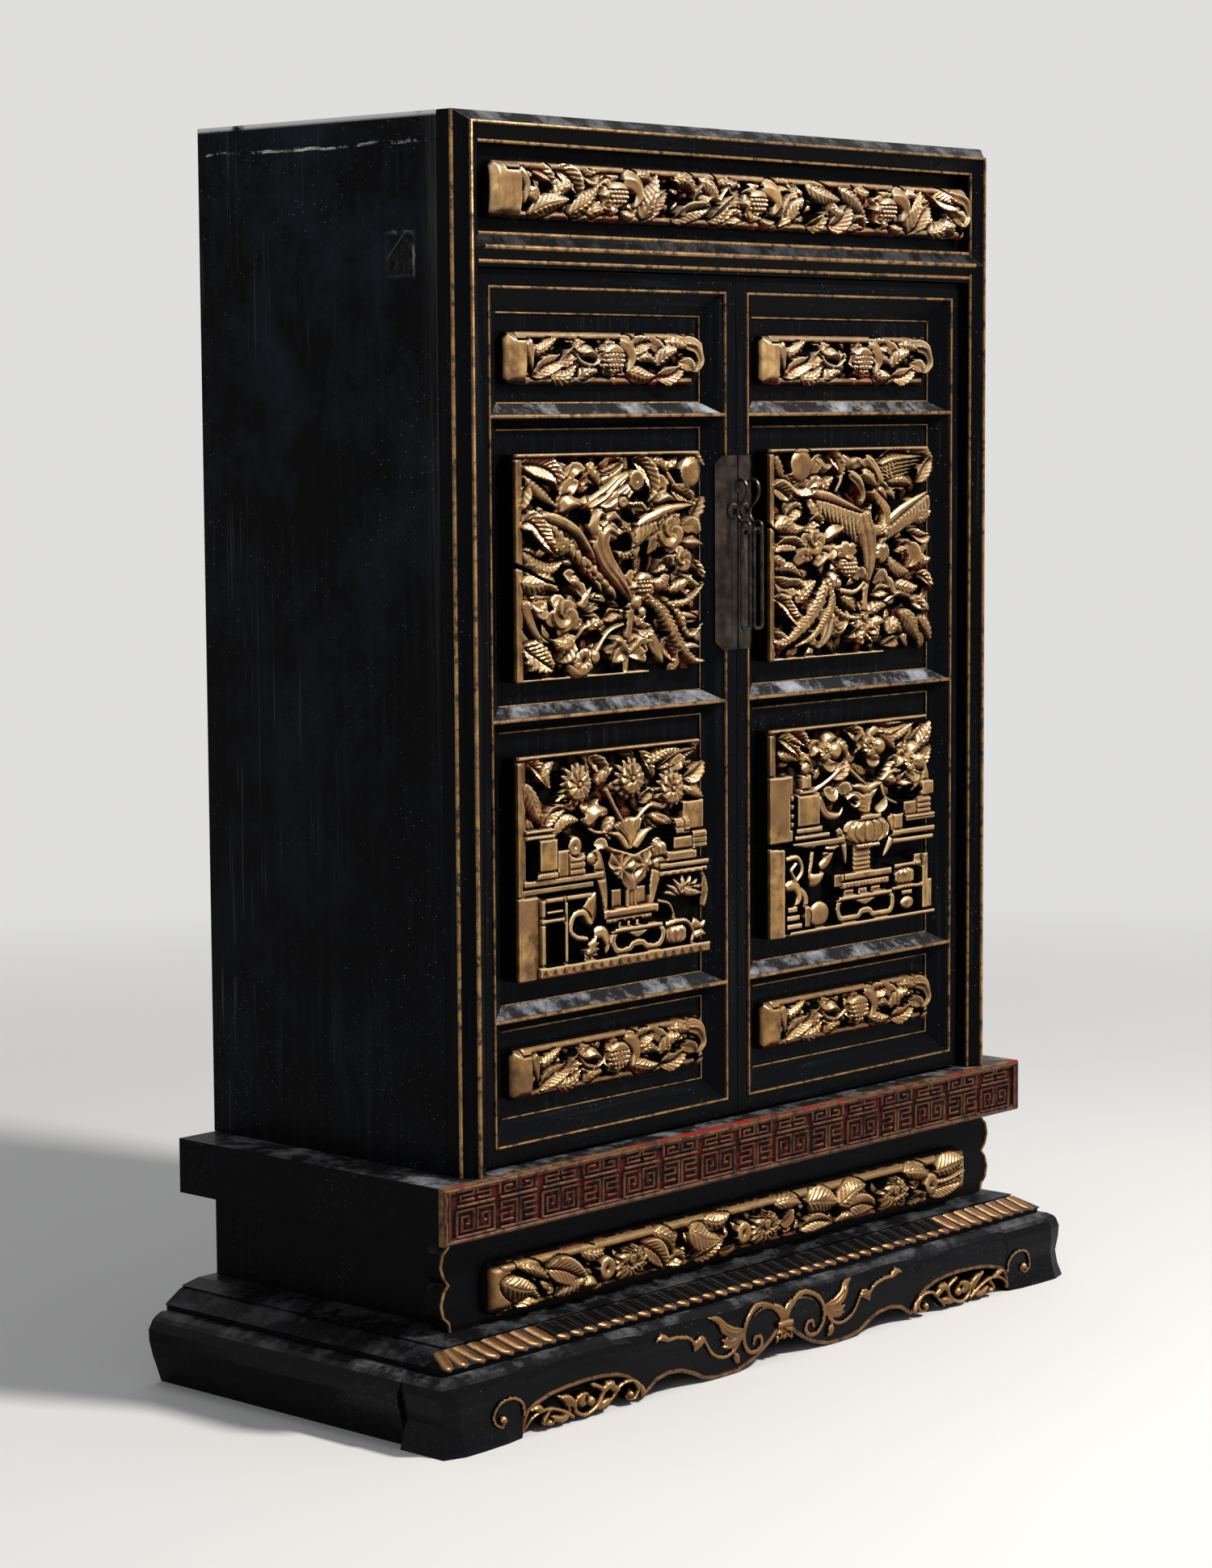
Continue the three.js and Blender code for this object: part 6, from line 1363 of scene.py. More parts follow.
def paint_shade_and_wear(mesh, relief, used, under):
    """Gives the gilding its painted shade and highlight, and where leaf was laid: hollow darkens
    recesses, low parts and the undersides of forms; gilt keeps leaf off the low ground; arris lightens
    convex edges and upward slopes, which are worn as well.
    """
    near, wide_by = blurred(relief.h, 1.6) - relief.h, blurred(relief.h, 5) - relief.h
    rise = (relief.h - relief.floor) / max(relief.h.max() - relief.floor, 1)
    # Painted shade in the recesses and on the low parts of the relief.
    hollow = np.clip(near / 1.3, 0, 0.6) + np.clip(wide_by / 3.4, 0, 0.8)
    hollow = hollow + np.clip((0.62 - rise) / 0.36, 0, 1) * 0.8
    lean = np.gradient(blurred(relief.h, 0.8), axis=0) / relief.cell
    faces_down, faces_up = np.clip(lean / 0.8 - 0.15, 0, 1), np.clip(-lean / 0.8 - 0.2, 0, 0.6)
    # Painted shade under the forms, where their slopes face down.
    hollow = hollow + faces_down * 0.62
    # Leaf counts as laid only above the low ground, so the ground goes near-black: bare ground and
    # painted shade.
    laid = blurred(relief.gilt, 0.7) * np.clip((relief.h - relief.floor - 0.7) / 1.4, 0, 1)
    # Painted highlight on convex edges and most on upward slopes, where the gilt is also worn.
    arris = np.clip(-near / 0.6 - 0.15, 0, 1) * (0.3 + 1.1 * faces_up) * (1 - faces_down) + faces_up * 0.6
    arris = arris * np.clip((rise - 0.4) / 0.3, 0, 1)
    for key, field, sunk in (("hollow", hollow, 1), ("gilt", laid, 0), ("arris", arris, 1)):
        values = field.ravel()
        paint(mesh, key, np.concatenate([values[used], values[under] * sunk]))


PLAQUE_FLOOR = 1.2


def plaque(node, carve, cell, corner, finish, body, inset=(0, 0, 0, 0)):
    """Carves one applied plaque in the place of its CAD block. inset is left, right, foot and top."""
    low, high = (np.array(corner_at) / MM for corner_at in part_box(node))
    low, high = low + (inset[0], 0, inset[2]), high - (inset[1], 0, inset[3])
    relief = Relief(high[0] - low[0], high[2] - low[2], cell, PLAQUE_FLOOR)
    carve(relief)
    relief.worn()
    depth = high[1] - low[1]
    share = (depth - PLAQUE_FLOOR) / (np.percentile(relief.h, 97) - PLAQUE_FLOOR)
    relief.h = np.minimum(PLAQUE_FLOOR + (relief.h - PLAQUE_FLOOR) * share, depth)

    def placed(u, v, h):
        return np.stack([low[0] + u, high[1] - h, low[2] + v], 1)

    made = carved_piece(node + "_carving", relief, outline_of(relief, corner), placed, None, finish,
                        body, corner)
    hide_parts(node)


# What repeats or follows a line

def node_tree(name, sockets):
    """A Geometry Nodes tree with a mesh in, a mesh out and named inputs."""
    tree = bpy.data.node_groups.new(name, "GeometryNodeTree")
    tree.interface.new_socket("Geometry", in_out="INPUT", socket_type="NodeSocketGeometry")
    for label, kind in sockets:
        tree.interface.new_socket(label, in_out="INPUT", socket_type=kind)
    tree.interface.new_socket("Geometry", in_out="OUTPUT", socket_type="NodeSocketGeometry")
    given, result = tree.nodes.new("NodeGroupInput"), tree.nodes.new("NodeGroupOutput")
    return tree, given, result


def end_tree(tree, given, result, geometry):
    """The last two steps: real geometry, and its finish."""
    real = tree.nodes.new("GeometryNodeRealizeInstances")
    finish = tree.nodes.new("GeometryNodeSetMaterial")
    tree.links.new(geometry, real.inputs["Geometry"])
    tree.links.new(real.outputs["Geometry"], finish.inputs["Geometry"])
    tree.links.new(given.outputs["Finish"], finish.inputs["Material"])
    tree.links.new(finish.outputs["Geometry"], result.inputs["Geometry"])


def line_tree():
    """A round or square moulding drawn along every edge of the mesh."""
    tree, given, result = node_tree("gilt_line", (
        ("Radius", "NodeSocketFloat"), ("Sides", "NodeSocketInt"), ("Finish", "NodeSocketMaterial")))
    line, shape, sweep = (tree.nodes.new("GeometryNode" + kind) for kind in (
        "MeshToCurve", "CurvePrimitiveCircle", "CurveToMesh"))
    tree.links.new(given.outputs["Geometry"], line.inputs["Mesh"])
    tree.links.new(given.outputs["Radius"], shape.inputs["Radius"])
    tree.links.new(given.outputs["Sides"], shape.inputs["Resolution"])
    tree.links.new(line.outputs["Curve"], sweep.inputs["Curve"])
    tree.links.new(shape.outputs["Curve"], sweep.inputs["Profile Curve"])
    sweep.inputs["Fill Caps"].default_value = True
    end_tree(tree, given, result, sweep.outputs["Mesh"])
    return tree


def row_tree():
    """The same piece, set out along a straight row."""
    tree, given, result = node_tree("row_of_pieces", (
        ("Count", "NodeSocketInt"), ("Spacing", "NodeSocketVector"), ("Finish", "NodeSocketMaterial")))
    row = tree.nodes.new("GeometryNodeMeshLine")
    place = tree.nodes.new("GeometryNodeInstanceOnPoints")
    tree.links.new(given.outputs["Count"], row.inputs["Count"])
    tree.links.new(given.outputs["Spacing"], row.inputs["Offset"])
    tree.links.new(row.outputs["Mesh"], place.inputs["Points"])
    tree.links.new(given.outputs["Geometry"], place.inputs["Instance"])
    end_tree(tree, given, result, place.outputs["Instances"])
    return tree


LINE_TREE, ROW_TREE = line_tree(), row_tree()


def grown(name, base, tree, inputs, body, smooth=40):
    """Runs a tree on a base mesh, and keeps the result as a plain mesh."""
    worker = base.modifiers.new("grow", "NODES")
    worker.node_group = tree
    sockets = {item.name: item.identifier for item in tree.interface.items_tree if item.in_out == "INPUT"}
    for label, value in inputs.items():
        worker[sockets[label]] = value
    bpy.context.view_layer.update()
    shown = base.evaluated_get(bpy.context.evaluated_depsgraph_get())
    mesh = bpy.data.meshes.new_from_object(shown)
    base.modifiers.remove(worker)
    rough_mesh = base.data
    bpy.data.objects.remove(base)
    bpy.data.meshes.remove(rough_mesh)
    made = bpy.data.objects.new(name, mesh)
    bpy.context.scene.collection.objects.link(made)
    return finish_piece(made, inputs["Finish"], body, smooth)


def gilt_lines(name, paths, radius, finish, body, sides=8):
    """Gilt lines along the joinery: each path is a list of points, closed if it ends where it began."""
    points, edges = [], []
    for path in paths:
        closed = tuple(path[0]) == tuple(path[-1])
        run = path[:-1] if closed else path
        first = len(points)
        points += [tuple(p) for p in run]
        edges += [(first + k, first + k + 1) for k in range(len(run) - 1)]
        if closed:
            edges.append((first + len(run) - 1, first))
    base = piece_from(name + "_path", points, [], edges=edges)
    return grown(name, base, LINE_TREE, {"Radius": radius * MM, "Sides": sides, "Finish": finish}, body)


def level_line(half, y, z):
    """A line across the front, as far to the left as to the right."""
    return [(-half, y, z), (half, y, z)]


def box_loop(low_x, high_x, low_z, high_z, y):
    corners = [(low_x, y, low_z), (high_x, y, low_z), (high_x, y, high_z), (low_x, y, high_z)]
    return corners + corners[:1]


# Finishes in use

LACQUER = lacquer_finish()
LACQUER_LONG = lacquer_finish("black_lacquer_rail", GRAIN_ACROSS)
# The rails' upward slopes take heavier, paler dust: a painted sheen as well as dust.
LACQUER_LEDGE = lacquer_finish("black_lacquer_ledge", GRAIN_ACROSS, dusty=1.5, dust_and_sheen_colour=LEDGE_DUST_AND_SHEEN)
LACQUER_STAND = lacquer_finish("black_lacquer_stand", GRAIN_ACROSS, dusty=0.35)
LACQUER_SIDE = lacquer_finish("black_lacquer_side", GRAIN_SIDE, marked=True)
LACQUER_APRON = lacquer_finish("black_lacquer_apron", GRAIN_APRON, sheen=0.1, dusty=0.7)
CARVED = gilt_finish("carved_gilt")
GILT_LINE = gilt_finish("gilt_line", (0.40, 0.235, 0.085, 1), (0.15, 0.075, 0.025, 1), 0.65, carved=False)
# A lighter copy of the carved gilt, for the frieze and the upper door plaques: painted light.
CARVED_PAINTED_LIT = gilt_finish("carved_gilt_painted_lit", (0.66, 0.41, 0.16, 1), (0.20, 0.10, 0.036, 1),
                          rubbed_and_lit=(1.0, 0.80, 0.54, 1))
# A darker copy, for the waist, the lower door plaques and the petals: painted shade.
CARVED_PAINTED_SHADE = gilt_finish("carved_gilt_painted_shade", (0.36, 0.195, 0.062, 1), (0.09, 0.042, 0.014, 1),
                         rubbed_and_lit=(0.66, 0.44, 0.20, 1))
FRET_LINE = gilt_finish("fret_gilt", (0.15, 0.068, 0.038, 1), (0.065, 0.022, 0.014, 1), 0.9, carved=False)
LACQUER_TOP = lacquer_finish("black_lacquer_top", GRAIN_ACROSS, marked=True, dusty=0.4)
RED_GROUND = red_ground_finish()
BRONZE = bronze_finish()
IRON = iron_finish()

ALONG_X = ("top_rail", "slab", "waist_front", "floor_board")
for node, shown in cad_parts.items():
    if "lock" in node:
        finish = BRONZE if "plate" in node else IRON
    elif "apron" in node:
        finish = LACQUER_APRON
    elif "fret" in node:
        finish = RED_GROUND
    elif "moulding" in node:
        finish = LACQUER_STAND
    elif "rail" in node and "top_rail" not in node:
        finish = LACQUER_LEDGE
    elif node == "top_board":
        finish = LACQUER_TOP
    elif "side_board" in node:
        finish = LACQUER_SIDE
    elif any(word in node for word in ALONG_X):
        finish = LACQUER_LONG
    else:
        finish = LACQUER
    for held in shown.material_slots:
        held.material = finish

# The cracked panels: the crack's level, and between which places across it fades in, in metres.
CRACKED = {"left_bird_panel": (0.489, -0.186, -0.189), "right_vase_panel": (0.316, 0.078, 0.074)}
for node, crack in CRACKED.items():
    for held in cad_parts[node].material_slots:
        held.material = lacquer_finish(node + "_lacquer", crack=crack)


# Carved plaques

# The width of a cell and the cut of the corners, in millimetres.
LONG_CELL, TALL_CELL, SHORT_CELL = 0.55, 0.6, 0.5
FRIEZE_CORNER, WAIST_CORNER, TALL_CORNER, SHORT_CORNER = 6.0, 5.0, 1.6, 5.5

# The frieze takes the lighter gilt and the waist the darker: painted light and shade.
plaque("frieze_plaque", carve_frieze, LONG_CELL, FRIEZE_CORNER, CARVED_PAINTED_LIT, "cabinet", (4.4, 0, 0, 1.8))
plaque("waist_plaque", carve_waist, LONG_CELL, WAIST_CORNER, CARVED_PAINTED_SHADE, "cabinet")
for node, carve in (("left_bird", carve_left_bird), ("right_bird", carve_right_bird),
                    ("left_vase", carve_left_vase), ("right_vase", carve_right_vase)):
    plaque(node + "_plaque", carve, TALL_CELL, TALL_CORNER, CARVED, node.split("_")[0] + "_door")
# The upper short plaques take the lighter gilt and the lower ones the darker: painted light and shade.
for side, high_head, low_head in (("left", 93, 94), ("right", 102, 98)):
    for place, seed, head, finish in (("top", 5, high_head, CARVED_PAINTED_LIT),
                                      ("bottom", 8, low_head, CARVED_PAINTED_SHADE)):
        plaque(f"{side}_{place}_plaque", lambda r: carve_short(r, seed, head), SHORT_CELL, SHORT_CORNER,
               finish, side + "_door")

# Gilt lines on the frame and doors

(edge_x, edge_y), (ridge_x, ridge_y), (inner_x, inner_y) = POST_EDGE, POST_RIDGE, POST_INNER
gilt_lines("frame_ridge_lines", [
    [(-ridge_x, ridge_y, BODY_LOW), (-ridge_x, ridge_y, TOP_RIDGE),
     (ridge_x, ridge_y, TOP_RIDGE), (ridge_x, ridge_y, BODY_LOW)],
    level_line(inner_x, ridge_y, FRIEZE_LINES[1])], RIDGE_LINE, GILT_LINE, "cabinet")
gilt_lines("frame_inner_lines", [
    [(-inner_x, inner_y, TOP_INNER), (*RIGHT_INNER, TOP_INNER), (*RIGHT_INNER, BODY_LOW)],
    level_line(inner_x, inner_y, FRIEZE_LINES[0]),
    level_line(inner_x, inner_y, FRIEZE_LINES[2]),
    [(-edge_x, edge_y, BODY_LOW), (-edge_x, edge_y, BODY_TOP)],
    [(edge_x, edge_y, BODY_LOW), (edge_x, edge_y, BODY_TOP)]], INNER_LINE, GILT_LINE, "cabinet")
for side, sign in (("left", -1), ("right", 1)):
    outer, meet = sorted((sign * ARRIS_OUT, sign * ARRIS_MEET))
    arris = [box_loop(outer, meet, ARRIS_LOW, ARRIS_HIGH, DOOR_FACE)]
    arris += [[(outer, DOOR_FACE, z), (meet, DOOR_FACE, z)] for z in RAIL_RIDGES]
    gilt_lines(side + "_door_arris_lines", arris, ARRIS_LINE, GILT_LINE, side + "_door")
    start, end = sorted((sign * INNER_OUT, sign * INNER_MEET))
    gilt_lines(side + "_door_panel_lines",
               [[(x, DOOR_FLOOR, z) for x, z in ((start, low), (end, low), (end, high), (start, high))]
                for low, high in OPENINGS], PANEL_LINE, GILT_LINE, side + "_door")


# Fret along the slab

FRET_LOW, FRET_HIGH, FRET_HALF, FRET_FACE = 117.2, 150.8, 279.0, -104.0
FRET_BLOCKS, FRET_END = 15, 8.5
FRET_LINE_RADIUS, BORDER_RADIUS = 0.95, 1.3
KEY_MIDDLE, KEY_RIGHT, KEY_FOOT = 16.5, 32, FRET_LOW + 3.6
KEY_BARS = (0.0, 18.0)
KEYS = (
    ([(1, 27), (15, 27), (15, 24), (4, 24), (4, 21), (15, 21)],
     [(1, 0), (1, 15), (15, 15), (15, 3), (5, 3), (5, 11.4), (11, 11.4), (11, 7), (8, 7)]),
    ([(1, 20.6), (1, 27), (15, 27), (15, 21), (5, 21), (5, 24.2), (11, 24.2)],
     [(15, 0), (15, 15), (2, 15), (2, 11.6), (11.6, 11.6), (11.6, 8), (2, 8), (2, 4), (11.6, 4)]),
)


def key_block(strokes, left):
    """One block of the fret: each stroke and its mirror image, between two plain bars."""
    paths = []
    for stroke in strokes:
        for flip in (False, True):
            paths.append([(left + (2 * KEY_MIDDLE - x if flip else x), FRET_FACE, KEY_FOOT + z)
                          for x, z in stroke])
    for z in KEY_BARS:
        paths.append([(left + 1, FRET_FACE, KEY_FOOT + z), (left + KEY_RIGHT, FRET_FACE, KEY_FOOT + z)])
    return paths


def fret_rows():
    """The two key blocks, set out in turn along the slab, and the double border round them."""
    pitch = 2 * (FRET_HALF - FRET_END) / FRET_BLOCKS
    start = -FRET_HALF + FRET_END + (pitch - 2 * KEY_MIDDLE) / 2
    for k, strokes in enumerate(KEYS):
        block = gilt_lines("fret_block", key_block(strokes, start + k * pitch), FRET_LINE_RADIUS,
                           FRET_LINE, None, sides=4)
        grown(f"fret_row_{k + 1}", block, ROW_TREE, {
            "Count": (FRET_BLOCKS + 1 - k) // 2, "Spacing": (2 * pitch * MM, 0, 0),
            "Finish": FRET_LINE}, "cabinet", 25)
    low, high = FRET_LOW + 1.2, FRET_HIGH - 1.6
    frame_lines = [box_loop(-FRET_HALF + 1.2, FRET_HALF - 1.2, low, high, FRET_FACE),
                   box_loop(-FRET_HALF + 4.6, FRET_HALF - 4.6, low + 0.5, high - 0.3, FRET_FACE)]
    gilt_lines("fret_border", frame_lines, BORDER_RADIUS, FRET_LINE, "cabinet", sides=6)


# Petals on the moulding

PETAL_TOP = (-102.7, 55.5)
PETAL_FALL = (-12.4, -7.8)
PETAL_LEAN, PETAL_HALF, PETAL_LIFT, PETAL_FOOT = 8.4, 5.4, 1.5, -0.25
PETAL_FIRST, PETAL_PITCH = -268.0, 12.0
# The straight rows: first petal, how many, and whether they are gilded all over or at the edge only.
PETAL_ROWS = {"left": (0, 6, True), "middle": (6, 32, False), "right": (38, 8, True)}
# The two at the left corner: place, lean and half width.
PETAL_TURNS = {"corner": (-283.4, -3.0, 4.6), "turn": (-276.0, 2.6, 5.0)}


def petal_piece(name, start, lean=PETAL_LEAN, half=PETAL_HALF, gilded=True):
    """A slanting petal: a low rounded tongue laid on the slope of the moulding."""
    s, t = np.meshgrid(np.linspace(-1, 1, 11), np.linspace(0, 1.06, 13))
    length = math.hypot(*PETAL_FALL)
    tip = np.sqrt(np.clip(1 - (np.maximum(t - 0.72, 0) / 0.345) ** 2, 0, 1))
    lift = 0.25 + PETAL_LIFT * np.cos(s * np.pi / 2) ** 0.7 * np.clip(tip * 1.6, 0.15, 1) \
        - 0.5 * np.exp(-((s - 0.45) / 0.16) ** 2)
    x = start + s * half * np.maximum(tip, 0.12) + t * lean
    (top_y, top_z), (fall_y, fall_z) = PETAL_TOP, PETAL_FALL
    points, faces = shell(*(np.stack([
        x, top_y + t * fall_y + fall_z / length * level,
        top_z + t * fall_z - fall_y / length * level], -1) for level in (lift, PETAL_FOOT)))
    made = piece_from(name, points, faces.tolist(), CARVED_PAINTED_SHADE, smooth=60)
    edge = np.maximum(np.clip((s - 0.70) * 9, 0, 1), np.clip((t - 0.66) * 12, 0, 1))
    # Painted shade: each petal darker towards both its sides.
    paint(made.data, "hollow", np.tile((np.abs(s) ** 3 * 0.6).ravel(), 2))
    paint(made.data, "gilt", np.tile((np.ones_like(s) if gilded else edge).ravel(), 2))
    return made


def petal_rows():
    """Two turned petals at the left corner, then the straight rows."""
    for name, turn in PETAL_TURNS.items():
        finish_piece(petal_piece("petals_left_" + name, *turn), None, "cabinet")
    for name, (start, count, gilded) in PETAL_ROWS.items():
        unit = petal_piece("petal", PETAL_FIRST + start * PETAL_PITCH, gilded=gilded)
        grown("petals_" + name, unit, ROW_TREE, {
            "Count": count, "Spacing": (PETAL_PITCH * MM, 0, 0), "Finish": CARVED_PAINTED_SHADE}, "cabinet", 60)


# Ornament on the apron

APRON_HALF, APRON_HIGH, APRON_BEAD = 293.5, 44.0, 1.35
ORNAMENT_HALF, ORNAMENT_CELL, ORNAMENT_FOOT = 268.0, 0.7, 0.55
LOOK_FROM, LOOK_REACH = -0.3, 0.186       # in metres, from in front of the board
ARCH_LOW, ARCH_HIGH = 131.5, 238.0
PLAIN_AT = 129.5                          # here the board has its full height, so it gives the section
FOOT_FROM = 236.0                         # beyond this the edge belongs to the feet
APRON_EDGE = (
    (0, 0.43), (0.017, 0.52), (0.04, 0.66), (0.07, 0.78), (0.1, 0.88), (0.15, 0.975), (0.19, 0.985),
    (0.23, 0.975), (0.26, 0.94), (0.29, 0.84), (0.33, 0.74), (0.37, 0.715), (0.41, 0.76), (0.435, 0.86),
    (0.448, 0.91), (0.46, 0.8), (0.477, 0.7), (0.5, 0.6), (0.53, 0.53), (0.57, 0.49), (0.62, 0.475),
    (0.68, 0.49), (0.73, 0.525), (0.775, 0.6), (0.797, 0.68), (0.806, 0.8), (0.809, 0.95),
)
# One side of the openwork: shares of the arch across and heights up, each with its width.
ARCH_CURLS = (
    ((0.02, 9, 0.10, 15, 0.20, 15, 0.27, 9, 0.33, 3), 1.3),
    ((0.10, 15, 0.06, 9, 0.10, 4, 0.16, 6, 0.13, 10), 1.1),
    ((0.44, 20, 0.36, 15, 0.40, 7, 0.50, 3, 0.58, 7, 0.57, 14, 0.50, 16, 0.46, 11), 1.5),
    ((0.60, 4, 0.68, 9, 0.80, 13, 0.92, 11, 0.99, 5), 1.3),
    ((0.72, 19, 0.66, 14, 0.62, 8), 1.1),
    ((0.78, 13, 0.84, 6, 0.78, 3, 0.74, 6), 1.1),
)
ARCH_LEAVES = (
    ((0.26, 18, 0.33, 16, 0.38, 11), 2.6), ((0.22, 12, 0.28, 15, 0.34, 20), 2.4),
    ((0.30, 9, 0.36, 6, 0.43, 4), 2.4), ((0.58, 10, 0.65, 16, 0.72, 19), 2.8),
    ((0.64, 5, 0.71, 5, 0.79, 9), 2.4), ((0.84, 13, 0.90, 16, 0.96, 15), 2.2),
    ((0.04, 10, 0.02, 6, 0.04, 3), 1.8), ((0.50, 9, 0.54, 12, 0.50, 15), 2.6),
)


def apron_board():
    """The front board's surface, sampled so that ornament can be laid on it."""
    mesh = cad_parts["front_apron"].data
    board = BVHTree.FromPolygons([v.co.copy() for v in mesh.vertices],
                                 [tuple(p.vertices) for p in mesh.polygons])

    def face_at(x, z):
        hit = board.ray_cast(Vector((x * MM, LOOK_FROM, z * MM)), Vector((0, 1, 0)), LOOK_REACH)[0]
        return None if hit is None else hit.y / MM

    return face_at


def carve_apron(r):
    """Scrolls, flames and openwork, drawn from the middle of the board."""
    middle = r.width / 2
    for sign in (-1, 1):
        def at(path):
            return [(middle + sign * x, z) for x, z in zip(path[::2], path[1::2])]

        def line(path, width, rise=(2.2, 2.6, 2.0)):
            r.ribbon(at(path), width, rise, "stem", crown=1.4, groove=0.5, cut=False)

        def leaf(path, width, rise=(1.8, 2.8, 1.6)):
            r.ribbon(at(path), width, rise, "leaf", crown=1.3, ribs=3, cut=False)

        def span(path):
            return [z for share, up in zip(path[::2], path[1::2])
                    for z in (ARCH_LOW + share * (ARCH_HIGH - ARCH_LOW), up)]

        line((1, 24, 5, 31, 13, 37, 23, 39, 33, 35, 39, 27, 39, 18, 34, 11.5, 27, 10.5, 22, 14,
              23, 19, 28, 19.5, 29.5, 16), 2.1)
        line((9, 34, 17, 36, 27, 34, 33, 28, 35, 21), 1.0, (1.4, 1.8, 1.2))
        line((38, 29, 43, 21, 50, 14.5, 58, 13, 66, 15, 72, 20, 77, 27, 83, 29), 1.7)
        line((84, 24, 91, 31, 101, 33.5, 110, 34, 115, 38), 1.6)
        leaf((76, 28, 82, 27, 87, 21), 3.6)
        leaf((40, 27, 50, 27, 58, 31, 63, 37, 72, 40), 4.2)
        leaf((42, 25, 52, 22, 62, 24), 4.0)
        leaf((44, 23, 53, 19.5, 62, 20), 3.0)
        leaf((48, 14, 46, 9, 43, 5.5), 3.0)
        leaf((1, 25, 3, 32, 9, 38), 3.0)
        leaf((108, 33, 116, 36, 122, 34), 2.4)
        line((237, 14, 238, 20, 243, 24.4, 250, 26, 258, 24, 262, 18.5, 261, 13, 256, 10.5,
              252, 13.5, 255.5, 16), 1.35)
        for path, width in ARCH_CURLS:
            line(span(path), width, (3.0, 3.4, 2.6))
        for path, width in ARCH_LEAVES:
            leaf(span(path), width, (2.8, 3.6, 2.4))
        for share, z, size in ((0.46, 10.5, 3.0), (0.13, 7.5, 2.0), (0.80, 5.0, 2.0)):
            r.ball(*at(span((share, z)))[0], size, 4.0, 1.4)
        r.ball(middle + sign * 255, 14.5, 2.6, 3.4, 1.4)
        leaf((0.6, 22, 5, 17, 8, 11), 2.6)
    for k in range(5):
        turn = np.radians(-150 + k * 30)
        r.ribbon([(middle, 24), (middle + 5 * np.cos(turn), 22 + 5 * np.sin(turn)),
                  (middle + 10 * np.cos(turn), 22 + 10 * np.sin(turn))], 2.2, (3, 3.4, 2.4),
                 "leaf", crown=1.0)
    r.block(middle - 7, 21.4, middle + 7, 25.2, 3.4, 1.0)


def apron_ornament():
    """The gilt scrolls, laid on the board's swelling face, and the bead along its cut edge."""
    face_at = apron_board()
    shape = Relief(2 * ORNAMENT_HALF, APRON_HIGH - 1.5, ORNAMENT_CELL, 0.0)
    carve_apron(shape)
    shape.h = blurred(shape.h, 0.6)
    inside = shape.h > ORNAMENT_FOOT
    kept = inside[:-1, :-1] & inside[1:, :-1] & inside[:-1, 1:] & inside[1:, 1:]
    profile = [(v, face_at(PLAIN_AT, v)) for v in shape.v]
    levels, faces_at = np.array([(v, y) for v, y in profile if y is not None]).T
    front_y, deep, needed = np.zeros_like(shape.h), np.zeros_like(shape.h), np.zeros_like(inside)
    for rows in (slice(None, -1), slice(1, None)):
        for columns in (slice(None, -1), slice(1, None)):
            needed[rows, columns] |= kept
    for i, j in np.argwhere(needed):
        hit = face_at(shape.u[j] - ORNAMENT_HALF, shape.v[i])
        front_y[i, j] = np.interp(shape.v[i], levels, faces_at) if hit is None else hit
        deep[i, j] = 5.0 if hit is None else 0.4

    def placed(u, v, step):
        i, j = np.rint(v / shape.v[1]).astype(int), np.rint(u / shape.u[1]).astype(int)
        back = deep[i, j] if step is None else -step
        return np.stack([u - ORNAMENT_HALF, front_y[i, j] + back, v], 1)

    shape.floor = -1.5
    shape.h = np.where(inside, shape.h, 0)
    shape.gilt[:] = 1
    made = carved_piece("apron_ornament", shape, kept, placed, lambda u, v: placed(u, v, None),
                        APRON_LEAF_SHADED, "cabinet")
    hollow = made.data.attributes["hollow"].data
    hollow.foreach_set("value", np.zeros(len(hollow), np.float32))

    edge = [(share * APRON_HALF, APRON_HIGH * (1 - drop)) for share, drop in APRON_EDGE]
    edge = [(-x, z) for x, z in reversed(edge[1:])] + edge
    path = []
    for x, z in edge:
        inward = -0.8 * np.sign(x) if abs(x) > FOOT_FROM else 0
        hit = face_at(x + inward, z + 1.3)
        path.append((x, float(np.interp(z + 1.3, levels, faces_at)) if hit is None else hit, z + 0.7))
    gilt_lines("apron_edge_bead", [path], APRON_BEAD, APRON_LEAF_SHADED_LINE, "cabinet")


# Lines on the waist, and the lock

SCALLOP = ((0.55, 0), (0.62, 0.1), (0.9, 0.17), (1, 0.3), (0.86, 0.42), (0.62, 0.5),
           (0.86, 0.58), (1, 0.7), (0.9, 0.83), (0.62, 0.9), (0.55, 1))
WAIST_HALF, WAIST_REACH, WAIST_LOW, WAIST_TALL, WAIST_FACE = 249.5, 16.0, 60.3, 56.4, -87.5


def waist_lines():
    """A gilt line down each scalloped end of the waist board."""
    gilt_lines("waist_scallop_lines", [
        [(sign * (WAIST_HALF + reach * WAIST_REACH), WAIST_FACE, WAIST_LOW + rise * WAIST_TALL)
         for reach, rise in SCALLOP] for sign in (-1, 1)], SCALLOP_LINE, GILT_LINE, "cabinet")


ROSETTE = (5.7, -90.4, 535.15)
ROSETTE_PETALS = 14


